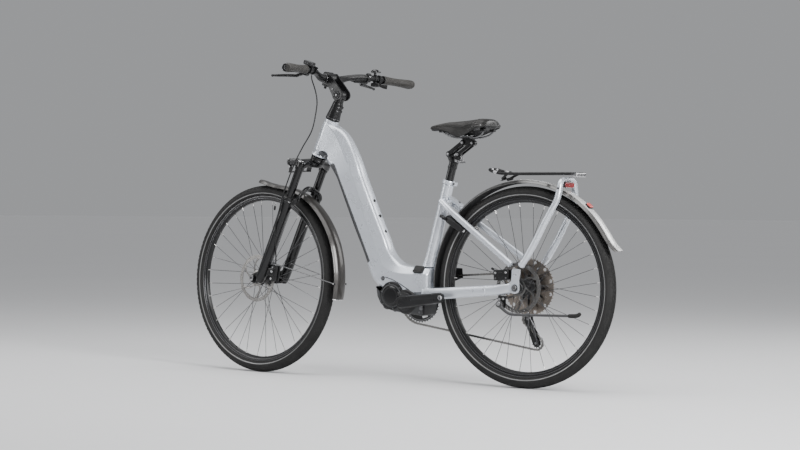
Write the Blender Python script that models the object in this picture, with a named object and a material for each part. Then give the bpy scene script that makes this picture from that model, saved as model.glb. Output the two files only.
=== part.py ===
"""Electric trekking bicycle with a mid motor, a low step-through frame, a rear carrier hoop, mudguards and a folded rear stand.

Metres, +Z up, +X forward, +Y to the rider's left. The floor is z = 0 under both tyres and the origin is below the middle
of the whole bicycle. All sizes are first worked out from the rear hub (x = 0 on its axis) and moved by OFFSET_X.
The steering assembly is built straight ahead and turned by STEER_REST about the steering axis.
"""

import math

import bmesh
import bpy
import numpy as np
from mathutils import Matrix, Vector

for old in list(bpy.data.objects):
    bpy.data.objects.remove(old, do_unlink=True)

# ---------------------------------------------------------------- driving dimensions
TYRE_R = 0.358
TYRE_HALF = 0.0248
RIM_R = 0.3167
RIM_INNER_R = 0.3000
RIM_HALF = 0.0135
WHEELBASE = 1.170
BB = (0.478, 0.293)
HEAD_ANGLE = math.radians(66.5)
RAKE = 0.055
LEG_OFFSET = 0.0150
LEG_HALF = 0.0665
STEER_REST = math.radians(-6.5)
SEAT_ANGLE = math.radians(75.3)
SEAT_REF = (0.3385, 0.680)
CRANK = 0.174
CRANK_REST = math.radians(173.0)
CHAINLINE = 0.053
RING_R = 0.0810
COG_R = 0.0487
COG_Y = 0.045
ROTOR_R = 0.090
FENDER_R = 0.384
BAR_HALF = 0.350
OFFSET_X = -0.5771
OFFSET_Y = -0.0019
GAP = 0.0003

TAN_H = math.tan(HEAD_ANGLE)
SIN_H, COS_H = math.sin(HEAD_ANGLE), math.cos(HEAD_ANGLE)
AXIS_X0 = WHEELBASE - RAKE / SIN_H
AXIS_DIR = Vector((-COS_H, 0.0, SIN_H))
AXIS_NORMAL = Vector((SIN_H, 0.0, COS_H))


def head_x(z):
    """x of the steering axis at height z."""
    return AXIS_X0 - (z - TYRE_R) / TAN_H


def seat_x(z):
    """x of the seat tube axis at height z."""
    return SEAT_REF[0] - (z - SEAT_REF[1]) / math.tan(SEAT_ANGLE)


SEAT_DIR = Vector((-math.cos(SEAT_ANGLE), 0.0, math.sin(SEAT_ANGLE)))
HUB_R = Vector((0.0, 0.0, TYRE_R))
HUB_F = Vector((WHEELBASE, 0.0, TYRE_R))
HEAD_PT = Vector((head_x(0.88), 0.0, 0.88))


# ---------------------------------------------------------------- materials
def paint(name, rgb, metallic=0.0, rough=0.5):
    m = bpy.data.materials.new(name)
    m.use_nodes = True
    b = m.node_tree.nodes["Principled BSDF"]
    b.inputs["Base Color"].default_value = (*rgb, 1.0)
    b.inputs["Metallic"].default_value = metallic
    b.inputs["Roughness"].default_value = rough
    m.diffuse_color = (*rgb, 1.0)
    return m


SILVER = ("silver", (0.78, 0.79, 0.82), 0.3, 0.3)
BLACK = ("black", (0.03, 0.03, 0.033), 0.0, 0.45)
RUBBER = ("rubber", (0.035, 0.034, 0.034), 0.0, 0.8)
GREY = ("grey", (0.12, 0.12, 0.125), 0.2, 0.5)
STEEL = ("steel", (0.6, 0.6, 0.62), 1.0, 0.3)
BRONZE = ("bronze", (0.45, 0.38, 0.33), 1.0, 0.35)
RED = ("red", (0.45, 0.02, 0.02), 0.0, 0.2)
BROWN = ("brown_grey", (0.14, 0.125, 0.115), 0.0, 0.4)

# ---------------------------------------------------------------- mesh helpers
steer_empty = bpy.data.objects.new("steering_pivot", None)
bpy.context.collection.objects.link(steer_empty)
steer_empty.location = HEAD_PT + Vector((OFFSET_X, OFFSET_Y, 0.0))
steer_empty.rotation_mode = "QUATERNION"
steer_empty.rotation_quaternion = Matrix.Rotation(STEER_REST, 3, AXIS_DIR).to_quaternion()


def raw(verts, faces):
    """A temporary mesh object in bicycle coordinates."""
    me = bpy.data.meshes.new("tmp")
    me.from_pydata([tuple(v) for v in verts], [], [tuple(f) for f in faces])
    me.validate()
    bm = bmesh.new()
    bm.from_mesh(me)
    bmesh.ops.recalc_face_normals(bm, faces=bm.faces)
    bm.to_mesh(me)
    bm.free()
    ob = bpy.data.objects.new("tmp", me)
    bpy.context.collection.objects.link(ob)
    return ob


def boolean(base, others, how):
    for other in others:
        m = base.modifiers.new("cut", "BOOLEAN")
        m.solver = "EXACT"
        m.operation = how
        m.use_self = False
        m.object = other
    bpy.context.view_layer.update()
    graph = bpy.context.evaluated_depsgraph_get()
    me = bpy.data.meshes.new_from_object(base.evaluated_get(graph))
    base.modifiers.clear()
    base.data = me
    for other in others:
        bpy.data.objects.remove(other, do_unlink=True)
    return base


def fuse(*parts):
    return boolean(parts[0], list(parts[1:]), "UNION")


def cut(base, *tools):
    return boolean(base, list(tools), "DIFFERENCE")


def joined(parts):
    """Several bodies that don't touch put in one mesh, to be fused with another in one step."""
    bm = bmesh.new()
    for part in parts:
        bm.from_mesh(part.data)
    me = bpy.data.meshes.new("tmp")
    bm.to_mesh(me)
    bm.free()
    for part in parts:
        bpy.data.objects.remove(part, do_unlink=True)
    ob = bpy.data.objects.new("tmp", me)
    bpy.context.collection.objects.link(ob)
    return ob


def finish(ob, name, colour, origin=None, steered=False, smooth=True):
    """Names the piece, moves its origin and places it, inside the steering assembly when it is steered."""
    origin = Vector(origin if origin is not None else (0.0, 0.0, 0.0))
    ob.name = name
    ob.data.name = name
    ob.data.transform(Matrix.Translation(-origin))
    if steered:
        ob.parent = steer_empty
        ob.location = origin - HEAD_PT
    else:
        ob.location = origin + Vector((OFFSET_X, OFFSET_Y, 0.0))
    ob.data.materials.clear()
    ob.data.materials.append(paint(name + "_" + colour[0], *colour[1:]))
    if smooth:
        ob.data.shade_smooth()
        ob.data.set_sharp_from_angle(angle=math.radians(35))
    return ob


def smooth_path(points, count):
    """Catmull-Rom through the points, resampled to count stations. Points may carry extra numbers."""
    p = np.array(points, float)
    q = np.vstack([2 * p[0] - p[1], p, 2 * p[-1] - p[-2]])
    out = []
    for i in range(1, len(q) - 2):
        for t in np.linspace(0, 1, 16, endpoint=False):
            a, b, c, d = q[i - 1], q[i], q[i + 1], q[i + 2]
            out.append(0.5 * (2 * b + (c - a) * t + (2 * a - 5 * b + 4 * c - d) * t**2 + (3 * b - a - 3 * c + d) * t**3))
    out.append(p[-1])
    out = np.array(out)
    s = np.concatenate([[0], np.cumsum(np.linalg.norm(np.diff(out[:, :3], axis=0), axis=1))])
    want = np.linspace(0, s[-1], count)
    return np.array([[np.interp(w, s, out[:, k]) for k in range(out.shape[1])] for w in want])


def sweep(points, section, side=None, ends=None):
    """A solid along a path. section(i, row) gives 2-D points (across, along the side axis); side fixes one axis."""
    pts = np.array([p[:3] for p in points], float)
    n = len(pts)
    tang = np.gradient(pts, axis=0)
    if ends:
        if ends[0] is not None:
            tang[0] = ends[0]
        if ends[1] is not None:
            tang[-1] = ends[1]
    tang /= np.linalg.norm(tang, axis=1)[:, None]
    verts, faces = [], []
    ref = None
    for i in range(n):
        t = tang[i]
        if side is not None:
            b = np.array(side, float) - np.dot(side, t) * t
        else:
            if ref is None:
                ref = np.array([0, 1.0, 0]) if abs(t[1]) < 0.8 else np.array([0, 0, 1.0])
            b = ref - np.dot(ref, t) * t
        b /= np.linalg.norm(b)
        ref = b
        a = np.cross(b, t)
        for u, v in section(i, points[i]):
            verts.append(pts[i] + a * u + b * v)
    k = len(verts) // n
    for i in range(n - 1):
        for j in range(k):
            j2 = (j + 1) % k
            faces.append((i * k + j, i * k + j2, (i + 1) * k + j2, (i + 1) * k + j))
    faces.append(tuple(range(k))[::-1])
    faces.append(tuple((n - 1) * k + j for j in range(k)))
    return raw(verts, faces)


def oval(a, b, n=12, e=2.0):
    out = []
    for i in range(n):
        t = 2 * math.pi * (i + 0.5) / n
        c, s = math.cos(t), math.sin(t)
        out.append((a * math.copysign(abs(c) ** (2 / e), c), b * math.copysign(abs(s) ** (2 / e), s)))
    return out


def tube(points, r, n=10, side=None, ends=None, b=None, e=2.0):
    """Round or oval tube; r may be a number or one per station."""
    rr = r if hasattr(r, "__len__") else [r] * len(points)
    bb = b if hasattr(b, "__len__") else ([b] * len(points) if b else rr)
    return sweep(points, lambda i, row: oval(rr[i], bb[i], n, e), side, ends)


def rod(p, q, r, n=8, r2=None):
    return tube([p, q], [r, r if r2 is None else r2], n)


def lathe(profile, centre, axis=(0, 1, 0), n=32, closed=False, start=0.0):
    """Revolves (radius, height) points about an axis through centre."""
    w = Vector(axis).normalized()
    u = Vector((0, 0, 1)) if abs(w.z) < 0.9 else Vector((1, 0, 0))
    u = (u - w * u.dot(w)).normalized()
    v = w.cross(u)
    centre = Vector(centre)
    verts, faces, rings = [], [], []
    for r, h in profile:
        if r < 1e-9:
            verts.append(centre + w * h)
            rings.append([len(verts) - 1])
        else:
            ring = []
            for i in range(n):
                t = 2 * math.pi * i / n + start
                verts.append(centre + w * h + (u * math.cos(t) + v * math.sin(t)) * r)
                ring.append(len(verts) - 1)
            rings.append(ring)
    pairs = list(zip(rings, rings[1:])) + ([(rings[-1], rings[0])] if closed else [])
    for a, b in pairs:
        for i in range(n):
            j = (i + 1) % n
            if len(a) == 1:
                faces.append((a[0], b[i], b[j]))
            elif len(b) == 1:
                faces.append((a[i], b[0], a[j]))
            else:
                faces.append((a[i], b[i], b[j], a[j]))
    if not closed:
        if len(rings[0]) > 1:
            faces.append(tuple(rings[0]))
        if len(rings[-1]) > 1:
            faces.append(tuple(rings[-1]))
    return raw(verts, faces)


def plate(poly, y0, y1):
    """A flat outline in the x-z plane given thickness along y."""
    k = len(poly)
    verts = [(x, y0, z) for x, z in poly] + [(x, y1, z) for x, z in poly]
    faces = [tuple(range(k)), tuple(range(k, 2 * k))[::-1]]
    faces += [(i, (i + 1) % k, k + (i + 1) % k, k + i) for i in range(k)]
    return raw(verts, faces)


def box(centre, size, u=(1, 0, 0), v=(0, 1, 0)):
    """A block with its first side along u and its second along v."""
    u = Vector(u).normalized()
    v = (Vector(v) - u * Vector(v).dot(u)).normalized()
    w = u.cross(v)
    c = Vector(centre)
    verts = []
    for sx in (-1, 1):
        for sy in (-1, 1):
            for sz in (-1, 1):
                verts.append(c + u * sx * size[0] / 2 + v * sy * size[1] / 2 + w * sz * size[2] / 2)
    faces = [(0, 1, 3, 2), (4, 6, 7, 5), (0, 4, 5, 1), (2, 3, 7, 6), (0, 2, 6, 4), (1, 5, 7, 3)]
    return raw(verts, faces)


def arc(cx, cz, r, a0, a1, n):
    return [(cx + r * math.cos(math.radians(a)), cz + r * math.sin(math.radians(a))) for a in np.linspace(a0, a1, n)]


# ---------------------------------------------------------------- frame: down tube, head tube, yoke
DT = [
    # x, z, half depth, half width
    (0.8774, 0.8930, 0.0650, 0.0265),
    (0.8480, 0.8800, 0.0660, 0.0300),
    (0.8200, 0.8600, 0.0645, 0.0330),
    (0.7900, 0.8210, 0.0595, 0.0370),
    (0.7618, 0.7745, 0.0540, 0.0400),
    (0.7450, 0.7365, 0.0520, 0.0410),
    (0.7118, 0.6621, 0.0522, 0.0415),
    (0.6769, 0.5842, 0.0523, 0.0420),
    (0.6378, 0.5032, 0.0520, 0.0430),
    (0.6150, 0.4550, 0.0510, 0.0440),
    (0.5850, 0.4110, 0.0545, 0.0455),
    (0.5480, 0.3840, 0.0550, 0.0470),
    (0.5050, 0.3720, 0.0540, 0.0475),
    (0.4550, 0.3680, 0.0535, 0.0475),
    (0.4200, 0.3675, 0.0535, 0.0470),
    (0.3905, 0.3672, 0.0535, 0.0430),
]
dt_rows = smooth_path([(x, 0.0, z, d, w) for x, z, d, w in DT], 20)
down = sweep(
    [tuple(r) for r in dt_rows],
    lambda i, row: oval(row[3], row[4], 16, 4.2),
    side=(0, 1, 0),
    ends=((-0.917, 0.0, -0.399), (-1.0, 0.0, 0.0)),
)
HEAD_LOW = Vector((head_x(0.828), 0.0, 0.828))
HEAD_TOP = Vector((head_x(0.962), 0.0, 0.962))
HEAD_LEN = (HEAD_TOP - HEAD_LOW).length
head = lathe([(0.0290, 0.0), (0.0290, 0.012), (0.0285, 0.030), (0.0292, 0.085), (0.0285, 0.112), (0.0268, 0.132), (0.0262, HEAD_LEN)], HEAD_LOW, AXIS_DIR, 20)
lip = plate([(0.6280, 0.3735), (0.6335, 0.3600), (0.6280, 0.3520), (0.6150, 0.3480), (0.6060, 0.3520), (0.6060, 0.3850)], -0.0360, 0.0360)
frame_body = fuse(down, head, lip)
bore = lathe([(0.0180, -0.02), (0.0180, HEAD_LEN + 0.02)], HEAD_LOW, AXIS_DIR, 20)
# battery bay on the front and lower side of the down tube
BAY_U = Vector((-0.4227, 0.0, -0.9063))
BAY_N = Vector((0.9063, 0.0, -0.4227))
BAY_TOP = Vector((0.8290, 0.0, 0.7950))
BAY_LEN = 0.405
BAY_SKIN = 0.0125
bay_mid = BAY_TOP + BAY_U * (BAY_LEN / 2)
bay = box(bay_mid + BAY_N * 0.0180, (BAY_LEN, 0.120, 0.036 + 2 * BAY_SKIN), BAY_U, (0, 1, 0))
pocket = box(bay_mid - BAY_N * 0.0450, (BAY_LEN - 0.012, 0.0600, 0.0680), BAY_U, (0, 1, 0))
# room for the drive unit under the tube
shell_cut = lathe([(0.0625, -0.08), (0.0625, 0.08)], (0.5430, 0.0, 0.2990), (0, 1, 0), 32)
shell_cut2 = box((0.5000, 0.0, 0.2600), (0.140, 0.16, 0.095))
# flat on the left shoulder for the charge port, and steps behind which the chainstays start
CAP_N = Vector((-0.10, 0.66, 0.745)).normalized()
CAP_U = (Vector((1, 0, 0)) - CAP_N * CAP_N.x).normalized()
CAP_V = CAP_N.cross(CAP_U)
CAP_C = Vector((0.4300, 0.0348, 0.4094))
port = box(CAP_C + CAP_N * 0.0200, (0.0416, 0.0336, 0.0400), CAP_U, CAP_V)
steps = [box((0.3900, 0.0460 * s, 0.3215), (0.0390, 0.0310, 0.0460)) for s in (1, -1)]
frame_body = cut(frame_body, bore, bay, pocket, shell_cut, shell_cut2, port, *steps)
finish(frame_body, "main_frame", SILVER)

# ---------------------------------------------------------------- seat tube
st_low, st_top = 0.4218, 0.7210
st_a = Vector((seat_x(st_low), 0, st_low))
seat_tube = tube([tuple(st_a - SEAT_DIR * 0.02), (seat_x(0.5), 0, 0.5), (seat_x(st_top), 0, st_top)], [0.0232, 0.0222, 0.0200], 20, side=(0, 1, 0))
flat = box((0.40, 0, st_low - 0.05), (0.2, 0.2, 0.1))
st_bore = rod((seat_x(0.56), 0, 0.56), (seat_x(0.80), 0, 0.80), 0.0161, 18)
seat_tube = cut(seat_tube, flat, st_bore)
finish(seat_tube, "seat_tube", SILVER)

# ---------------------------------------------------------------- chainstays with dropouts
DROP = [(-0.019, 0.350), (-0.012, 0.341), (0.0, 0.3375), (0.014, 0.340), (0.034, 0.343), (0.034, 0.372), (0.019, 0.386), (0.022, 0.416), (0.014, 0.4250), (-0.018, 0.4250), (-0.026, 0.414), (-0.020, 0.384)]


def chainstay(s):
    rows = smooth_path(
        [
            (0.4090, 0.0400 * s, 0.3210, 0.0218, 0.0085),
            (0.330, 0.0440 * s, 0.3270, 0.0210, 0.0085),
            (0.220, 0.0560 * s, 0.3370, 0.0200, 0.0088),
            (0.120, 0.0680 * s, 0.3450, 0.0190, 0.0090),
            (0.060, 0.0750 * s, 0.3510, 0.0180, 0.0088),
            (0.020, 0.0752 * s, 0.3560, 0.0165, 0.0080),
        ],
        9,
    )
    stay = sweep([tuple(r) for r in rows], lambda i, row: oval(row[3], row[4], 12, 2.6), side=(0, 1, 0), ends=((-1, 0, 0), (-1, 0, 0)))
    drop = plate(DROP, 0.0707 * s, 0.0793 * s)
    part = fuse(stay, drop)
    if s < 0:
        hanger = plate([(-0.016, 0.350), (0.016, 0.350), (0.020, 0.322), (0.008, 0.312), (-0.008, 0.314)], -0.0780, -0.0720)
        part = fuse(part, hanger)
    hole = rod((0, 0.060 * s, TYRE_R), (0, 0.090 * s, TYRE_R), 0.0066, 16)
    return cut(part, hole)


finish(chainstay(1), "chainstay_left", SILVER)
finish(chainstay(-1), "chainstay_right", SILVER)

# ---------------------------------------------------------------- seatstays with bridge
stays = []
for s in (1, -1):
    stays.append(tube([(0.3440, 0.0265 * s, 0.6630), (0.3000, 0.0395 * s, 0.6320), (0.2680, 0.0440 * s, 0.6090), (0.0200, 0.0700 * s, 0.4395)], 0.0118, 10, side=(0, 1, 0), b=0.0105))
bridge = rod((0.3180, -0.0340, 0.6570), (0.3180, 0.0340, 0.6570), 0.0090, 10)
tongue = box((0.2947, 0, 0.6580), (0.055, 0.026, 0.012), (0.842, 0, 0.539), (0, 1, 0))
stays_body = fuse(stays[0], stays[1], bridge, tongue)
clear_seat = rod((seat_x(0.45), 0, 0.45), (seat_x(0.78), 0, 0.78), 0.0216, 20)
stays_body = cut(stays_body, clear_seat)
finish(stays_body, "seatstays", SILVER)

# ---------------------------------------------------------------- carrier hoop
half = [(-0.0225, 0.0750, 0.4345, 0.0120), (-0.0480, 0.0758, 0.4690, 0.0120), (-0.0850, 0.0765, 0.5290, 0.0120), (-0.1190, 0.0755, 0.5910, 0.0118), (-0.1450, 0.0720, 0.6360, 0.0116), (-0.1600, 0.0640, 0.6700, 0.0114), (-0.1640, 0.0560, 0.7030, 0.0112), (-0.1645, 0.0500, 0.7240, 0.0105), (-0.1650, 0.0380, 0.7365, 0.0090), (-0.1652, 0.0180, 0.7400, 0.0080)]
hoop_pts = half + [(x, -y, z, r) for x, y, z, r in reversed(half)]
hoop_rows = smooth_path(hoop_pts, 28)
hoop = tube([tuple(r[:3]) for r in hoop_rows], [r[3] for r in hoop_rows], 8)
finish(hoop, "carrier_hoop", SILVER)

# ---------------------------------------------------------------- carrier platform
RAIL_Z = 0.7600
rails = []
ring = [(0.060, 0.040, RAIL_Z), (0.100, 0.040, RAIL_Z + 0.004), (0.128, 0.036, RAIL_Z + 0.011), (0.136, 0.022, RAIL_Z + 0.015)]
front_loop = [(-0.205, 0.043, RAIL_Z), (-0.10, 0.043, RAIL_Z)] + ring
loop = front_loop + [(x, -y, z) for x, y, z in reversed(front_loop)]
rails.append(tube([tuple(r) for r in smooth_path(loop, 26)], 0.0052, 6))
for x in (-0.198, -0.095, 0.045):
    rails.append(box((x, 0, RAIL_Z), (0.016, 0.088, 0.006)))
rails.append(box((-0.077, 0, RAIL_Z), (0.250, 0.018, 0.0058)))
for s in (1, -1):
    rails.append(rod((0.052, 0.040 * s, RAIL_Z), (0.085, 0.026 * s, 0.7420), 0.0045, 6))
rack = fuse(*rails)
rear_clip = box((-0.2110, 0, RAIL_Z - 0.0045), (0.022, 0.070, 0.0160))
rack = fuse(rack, rear_clip)
finish(rack, "carrier_platform", BLACK)


# ---------------------------------------------------------------- mudguards
def mudguard(centre, rows, thickness, wrap=0.010, n=5):
    """rows: angle, crown radius, half width. A curved shell with turned-down sides."""
    c = Vector(centre)
    verts, faces = [], []
    k = 2 * n
    for a, r, w in rows:
        t = math.radians(a)
        out = Vector((math.cos(t), 0, math.sin(t)))
        sec = []
        for j in range(n):
            f = -1 + 2 * j / (n - 1)
            sec.append((f * w, r - wrap * abs(f) ** 2.4))
        for y, rr in sec:
            verts.append(c + out * rr + Vector((0, y, 0)))
        for y, rr in reversed(sec):
            verts.append(c + out * (rr - thickness) + Vector((0, y, 0)))
    m = len(rows)
    for i in range(m - 1):
        for j in range(k):
            j2 = (j + 1) % k
            faces.append((i * k + j, i * k + j2, (i + 1) * k + j2, (i + 1) * k + j))
    for i in (0, m - 1):
        for j in range(n - 1):
            a, b, cc, d = i * k + j, i * k + j + 1, i * k + k - 2 - j, i * k + k - 1 - j
            faces.append((a, b, cc, d))
    return raw(verts, faces)


def curve_rows(keys, count):
    k = np.array(keys, float)
    out = []
    for a in np.linspace(k[0, 0], k[-1, 0], count):
        out.append((a, np.interp(a, k[:, 0], k[:, 1]), np.interp(a, k[:, 0], k[:, 2])))
    return out


rear_guard = mudguard(HUB_R, curve_rows([(-2, 0.384, 0.0260), (20, 0.383, 0.0275), (50, 0.383, 0.0310), (145, 0.383, 0.0315), (153, 0.386, 0.0320), (159, 0.398, 0.0330)], 21), 0.0026, 0.012)
reflector = box(HUB_R + Vector((math.cos(math.radians(131)), 0, math.sin(math.radians(131)))) * 0.3855, (0.010, 0.024, 0.022), (math.cos(math.radians(131)), 0, math.sin(math.radians(131))), (0, 1, 0))
rear_guard = fuse(rear_guard, reflector)
finish(rear_guard, "rear_mudguard", SILVER)

# rear light under the hoop
light = tube([(-0.1785, 0, 0.7200), (-0.1735, 0, 0.7200), (-0.1585, 0, 0.7210)], [0.0092, 0.0106, 0.0102], 14, side=(0, 1, 0), b=[0.0265, 0.0285, 0.0275], e=3.4)
finish(light, "rear_light", RED)

# ---------------------------------------------------------------- motor
mot = lathe([(0.0, -0.046), (0.050, -0.046), (0.0565, -0.041), (0.0565, 0.046), (0.050, 0.052), (0.046, 0.0545), (0.043, 0.0580), (0.034, 0.0610), (0.0, 0.0610)], (0.5430, 0.0, 0.3030), (0, 1, 0), 24)
mot2 = lathe([(0.0, -0.046), (0.042, -0.046), (0.046, -0.042), (0.046, 0.047), (0.040, 0.0530), (0.030, 0.0560), (0.024, 0.0620), (0.0, 0.0620)], (BB[0], 0.0, BB[1]), (0, 1, 0), 20)
skid = plate([(0.6225, 0.3460), (0.6203, 0.3387), (0.6156, 0.3093), (0.6020, 0.2840), (0.5840, 0.2699), (0.5440, 0.2600), (0.4954, 0.2525), (0.4516, 0.2490), (0.4167, 0.2440), (0.4060, 0.2480), (0.4030, 0.2880), (0.4300, 0.2960), (0.5900, 0.3000), (0.6040, 0.3300), (0.6085, 0.3460)], -0.040, 0.040)
motor = fuse(mot, mot2, skid)
spindle_bore = rod((BB[0], -0.1, BB[1]), (BB[0], 0.1, BB[1]), 0.0130, 20)
frame_space = sweep(
    [tuple(r) for r in dt_rows[11:]],
    lambda i, row: oval(row[3] + 0.0008, row[4] + 0.0008, 16, 4.2),
    side=(0, 1, 0),
    ends=(None, (-1.0, 0.0, 0.0)),
)
keep = lathe([(0.0620, -0.09), (0.0620, 0.09)], (0.5430, 0.0, 0.2990), (0, 1, 0), 32)
keep2 = box((0.5000, 0.0, 0.2600), (0.139, 0.18, 0.0942))
frame_space = cut(frame_space, keep, keep2)
lip_space = plate([(0.6285, 0.3735), (0.6340, 0.3600), (0.6283, 0.3515), (0.6150, 0.3474), (0.6055, 0.3515), (0.6055, 0.3850)], -0.0364, 0.0364)
motor = cut(motor, spindle_bore, frame_space, lip_space)
finish(motor, "motor_unit", BLACK)

# ---------------------------------------------------------------- battery with its cover
batt = box(bay_mid + BAY_N * 0.0180, (BAY_LEN - 0.0030, 0.120, 0.036 + 2 * BAY_SKIN - 0.0012), BAY_U, (0, 1, 0))
skin = sweep([tuple(r) for r in dt_rows], lambda i, row: oval(row[3] - 0.0002, row[4] - 0.0002, 16, 4.2), side=(0, 1, 0), ends=((-0.917, 0.0, -0.399), (-1.0, 0.0, 0.0)))
batt = boolean(batt, [skin], "INTERSECT")
pack = box(bay_mid + BAY_U * 0.0050 - BAY_N * 0.0405, (BAY_LEN - 0.028, 0.0560, 0.0580), BAY_U, (0, 1, 0))
batt = fuse(batt, pack)
BATT_PIVOT = BAY_TOP + BAY_U * (BAY_LEN - 0.001) + BAY_N * 0.012
finish(batt, "battery", BLACK, BATT_PIVOT)

# charge port cap
cap = box(CAP_C + CAP_N * 0.0033, (0.0410, 0.0330, 0.0060), CAP_U, CAP_V)
CAP_PIVOT = CAP_C + CAP_N * 0.0055 + CAP_U * 0.0195
finish(cap, "charge_port_cap", RUBBER, CAP_PIVOT)

# seat clamp
cl_a, cl_b = Vector((seat_x(0.7218), 0, 0.7218)), Vector((seat_x(0.7218), 0, 0.7218)) + SEAT_DIR * 0.015
clamp = lathe([(0.0164, 0.0), (0.0235, 0.0), (0.0235, 0.0150), (0.0164, 0.0150)], cl_a, SEAT_DIR, 24, closed=True)
lug = box(cl_a + SEAT_DIR * 0.0075 + Vector((-0.0255, 0, -0.0065)), (0.012, 0.018, 0.0145), (1, 0, 0.25), (0, 1, 0))
clamp = fuse(clamp, lug)
finish(clamp, "seat_clamp", SILVER)

# rear axle
axle = lathe([(0.0, 0.0810), (0.0058, 0.0810), (0.0058, -0.0830), (0.0, -0.0830)], HUB_R, (0, 1, 0), 16)
axle_head = lathe([(0.0, 0.0797), (0.0095, 0.0797), (0.0095, 0.0840), (0.0, 0.0840)], HUB_R, (0, 1, 0), 16)
axle = fuse(axle, axle_head)
finish(axle, "rear_axle", BLACK)

# rear brake caliper over the rear disc
ROT_Y = 0.0520
cal = box((0.0640, 0.0520, 0.4020), (0.062, 0.0320, 0.0380), (1, 0, -0.06), (0, 1, 0))
banjo = rod((0.090, 0.050, 0.415), (0.112, 0.050, 0.424), 0.0060, 10)
slot = lathe([(0.0, -0.0021), (0.0918, -0.0021), (0.0918, 0.0021), (0.0, 0.0021)], (0.0, ROT_Y, TYRE_R), (0, 1, 0), 48)
cal = cut(fuse(cal, banjo), slot)
finish(cal, "rear_caliper", BLACK)

# chain guard
gy0, gy1 = -0.0640, -0.0600
guard_out = arc(BB[0], BB[1], 0.1000, 20, 92, 9) + [(0.40, 0.4060), (0.335, 0.4180), (0.305, 0.4165)]
guard_in = [(0.302, 0.3820), (0.335, 0.3700), (0.385, 0.3500)] + arc(BB[0], BB[1], 0.0660, 118, 28, 8)
guard = plate(guard_out + guard_in, gy0, gy1)
lip_out = arc(BB[0], BB[1], 0.1000, 22, 92, 9) + [(0.40, 0.4058), (0.335, 0.4176)]
lip_in = [(x - 0.0004, z - 0.0030) for x, z in reversed(lip_out[9:])] + arc(BB[0], BB[1], 0.0970, 92, 22, 9)
lip = plate(lip_out + lip_in, gy0 + 0.001, -0.0495)
guard = fuse(guard, lip)
finish(guard, "chain_guard", BLACK)

# ---------------------------------------------------------------- derailleur
HANG = Vector((0.006, -0.0815, 0.3180))
GUIDE = Vector((0.0140, -COG_Y, 0.2440))
TENSION = Vector((-0.0200, -COG_Y, 0.1590))
PULLEY_R = 0.0195
body = fuse(
    rod((HANG.x, -0.0784, HANG.z), (HANG.x, -0.0925, HANG.z), 0.0110, 12),
    tube([(HANG.x, -0.0870, HANG.z), (0.020, -0.0790, 0.290), (0.024, -0.0700, 0.2640)], [0.0115, 0.0135, 0.0120], 10, b=[0.006, 0.0075, 0.007]),
    rod((0.0220, -0.0785, 0.2600), (0.0220, -0.0555, 0.2600), 0.0125, 12),
)
finish(body, "derailleur_body", BLACK)


def capsule(p, q, r0, r1, y0, y1):
    d = (q - p).normalized()
    a = math.degrees(math.atan2(d.z, d.x))
    return plate(arc(p.x, p.z, r0, a + 90, a + 270, 8) + arc(q.x, q.z, r1, a - 90, a + 90, 8), y0, y1)


outer = capsule(GUIDE, TENSION, 0.0130, 0.0120, -0.0538, -0.0510)
inner = capsule(GUIDE, TENSION, 0.0130, 0.0120, -0.0390, -0.0364)
post_a = rod((GUIDE.x, -0.0530, GUIDE.z), (GUIDE.x, -0.0370, GUIDE.z), 0.0030, 8)
post_b = rod((TENSION.x, -0.0530, TENSION.z), (TENSION.x, -0.0370, TENSION.z), 0.0030, 8)
cage = fuse(outer, post_a, post_b, inner)
CAGE_PIVOT = Vector((0.0220, -0.0550, 0.2600))
finish(cage, "derailleur_cage", BLACK, CAGE_PIVOT)


def pulley(c):
    return lathe([(0.0034, -0.0046), (0.0110, -0.0046), (PULLEY_R, -0.0012), (PULLEY_R, 0.0012), (0.0110, 0.0046), (0.0034, 0.0046)], c, (0, 1, 0), 18, closed=True)


finish(pulley(GUIDE), "guide_pulley", GREY, GUIDE)
finish(pulley(TENSION), "tension_pulley", GREY, TENSION)


# ---------------------------------------------------------------- chain loop
def tangent_points(c1, r1, c2, r2):
    """Outer or crossed tangent between two circles in the x-z plane: signed radii give the side."""
    d = Vector((c2[0] - c1[0], c2[1] - c1[1]))
    length = d.length
    base = math.atan2(d.y, d.x)
    off = math.acos((r1 - r2) / length)
    return [((c1[0] + r1 * math.cos(base + s * off), c1[1] + r1 * math.sin(base + s * off)), (c2[0] + r2 * math.cos(base + s * off), c2[1] + r2 * math.sin(base + s * off))) for s in (1, -1)]


CH = 0.0042
ring_c, cog_c = (BB[0], BB[1]), (0.0, TYRE_R)
guide_c, tens_c = (GUIDE.x, GUIDE.z), (TENSION.x, TENSION.z)
PR = PULLEY_R + CH + 0.0006
RR = RING_R + CH + 0.0006
CR = COG_R + CH + 0.0006


def wrap(c, r, p, q, ccw, n):
    a0 = math.atan2(p[1] - c[1], p[0] - c[0])
    a1 = math.atan2(q[1] - c[1], q[0] - c[0])
    if ccw:
        while a1 < a0:
            a1 += 2 * math.pi
    else:
        while a1 > a0:
            a1 -= 2 * math.pi
    return [(c[0] + abs(r) * math.cos(a), c[1] + abs(r) * math.sin(a)) for a in np.linspace(a0, a1, n)]


def straight(p, q, n):
    return [(p[0] + (q[0] - p[0]) * t, p[1] + (q[1] - p[1]) * t) for t in np.linspace(0, 1, n + 2)[1:-1]]


# the loop seen from the left, going anticlockwise: over the top rearward, round the cog, down the cage, forward below
t_top = [t for t in tangent_points(ring_c, RR, cog_c, CR) if t[0][1] > ring_c[1]][0]
t_cog = [t for t in tangent_points(cog_c, CR, guide_c, -PR)][:]
t_cage = [t for t in tangent_points(guide_c, -PR, tens_c, PR)][:]
t_low = [t for t in tangent_points(tens_c, PR, ring_c, RR) if t[1][1] < ring_c[1]][0]
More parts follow.
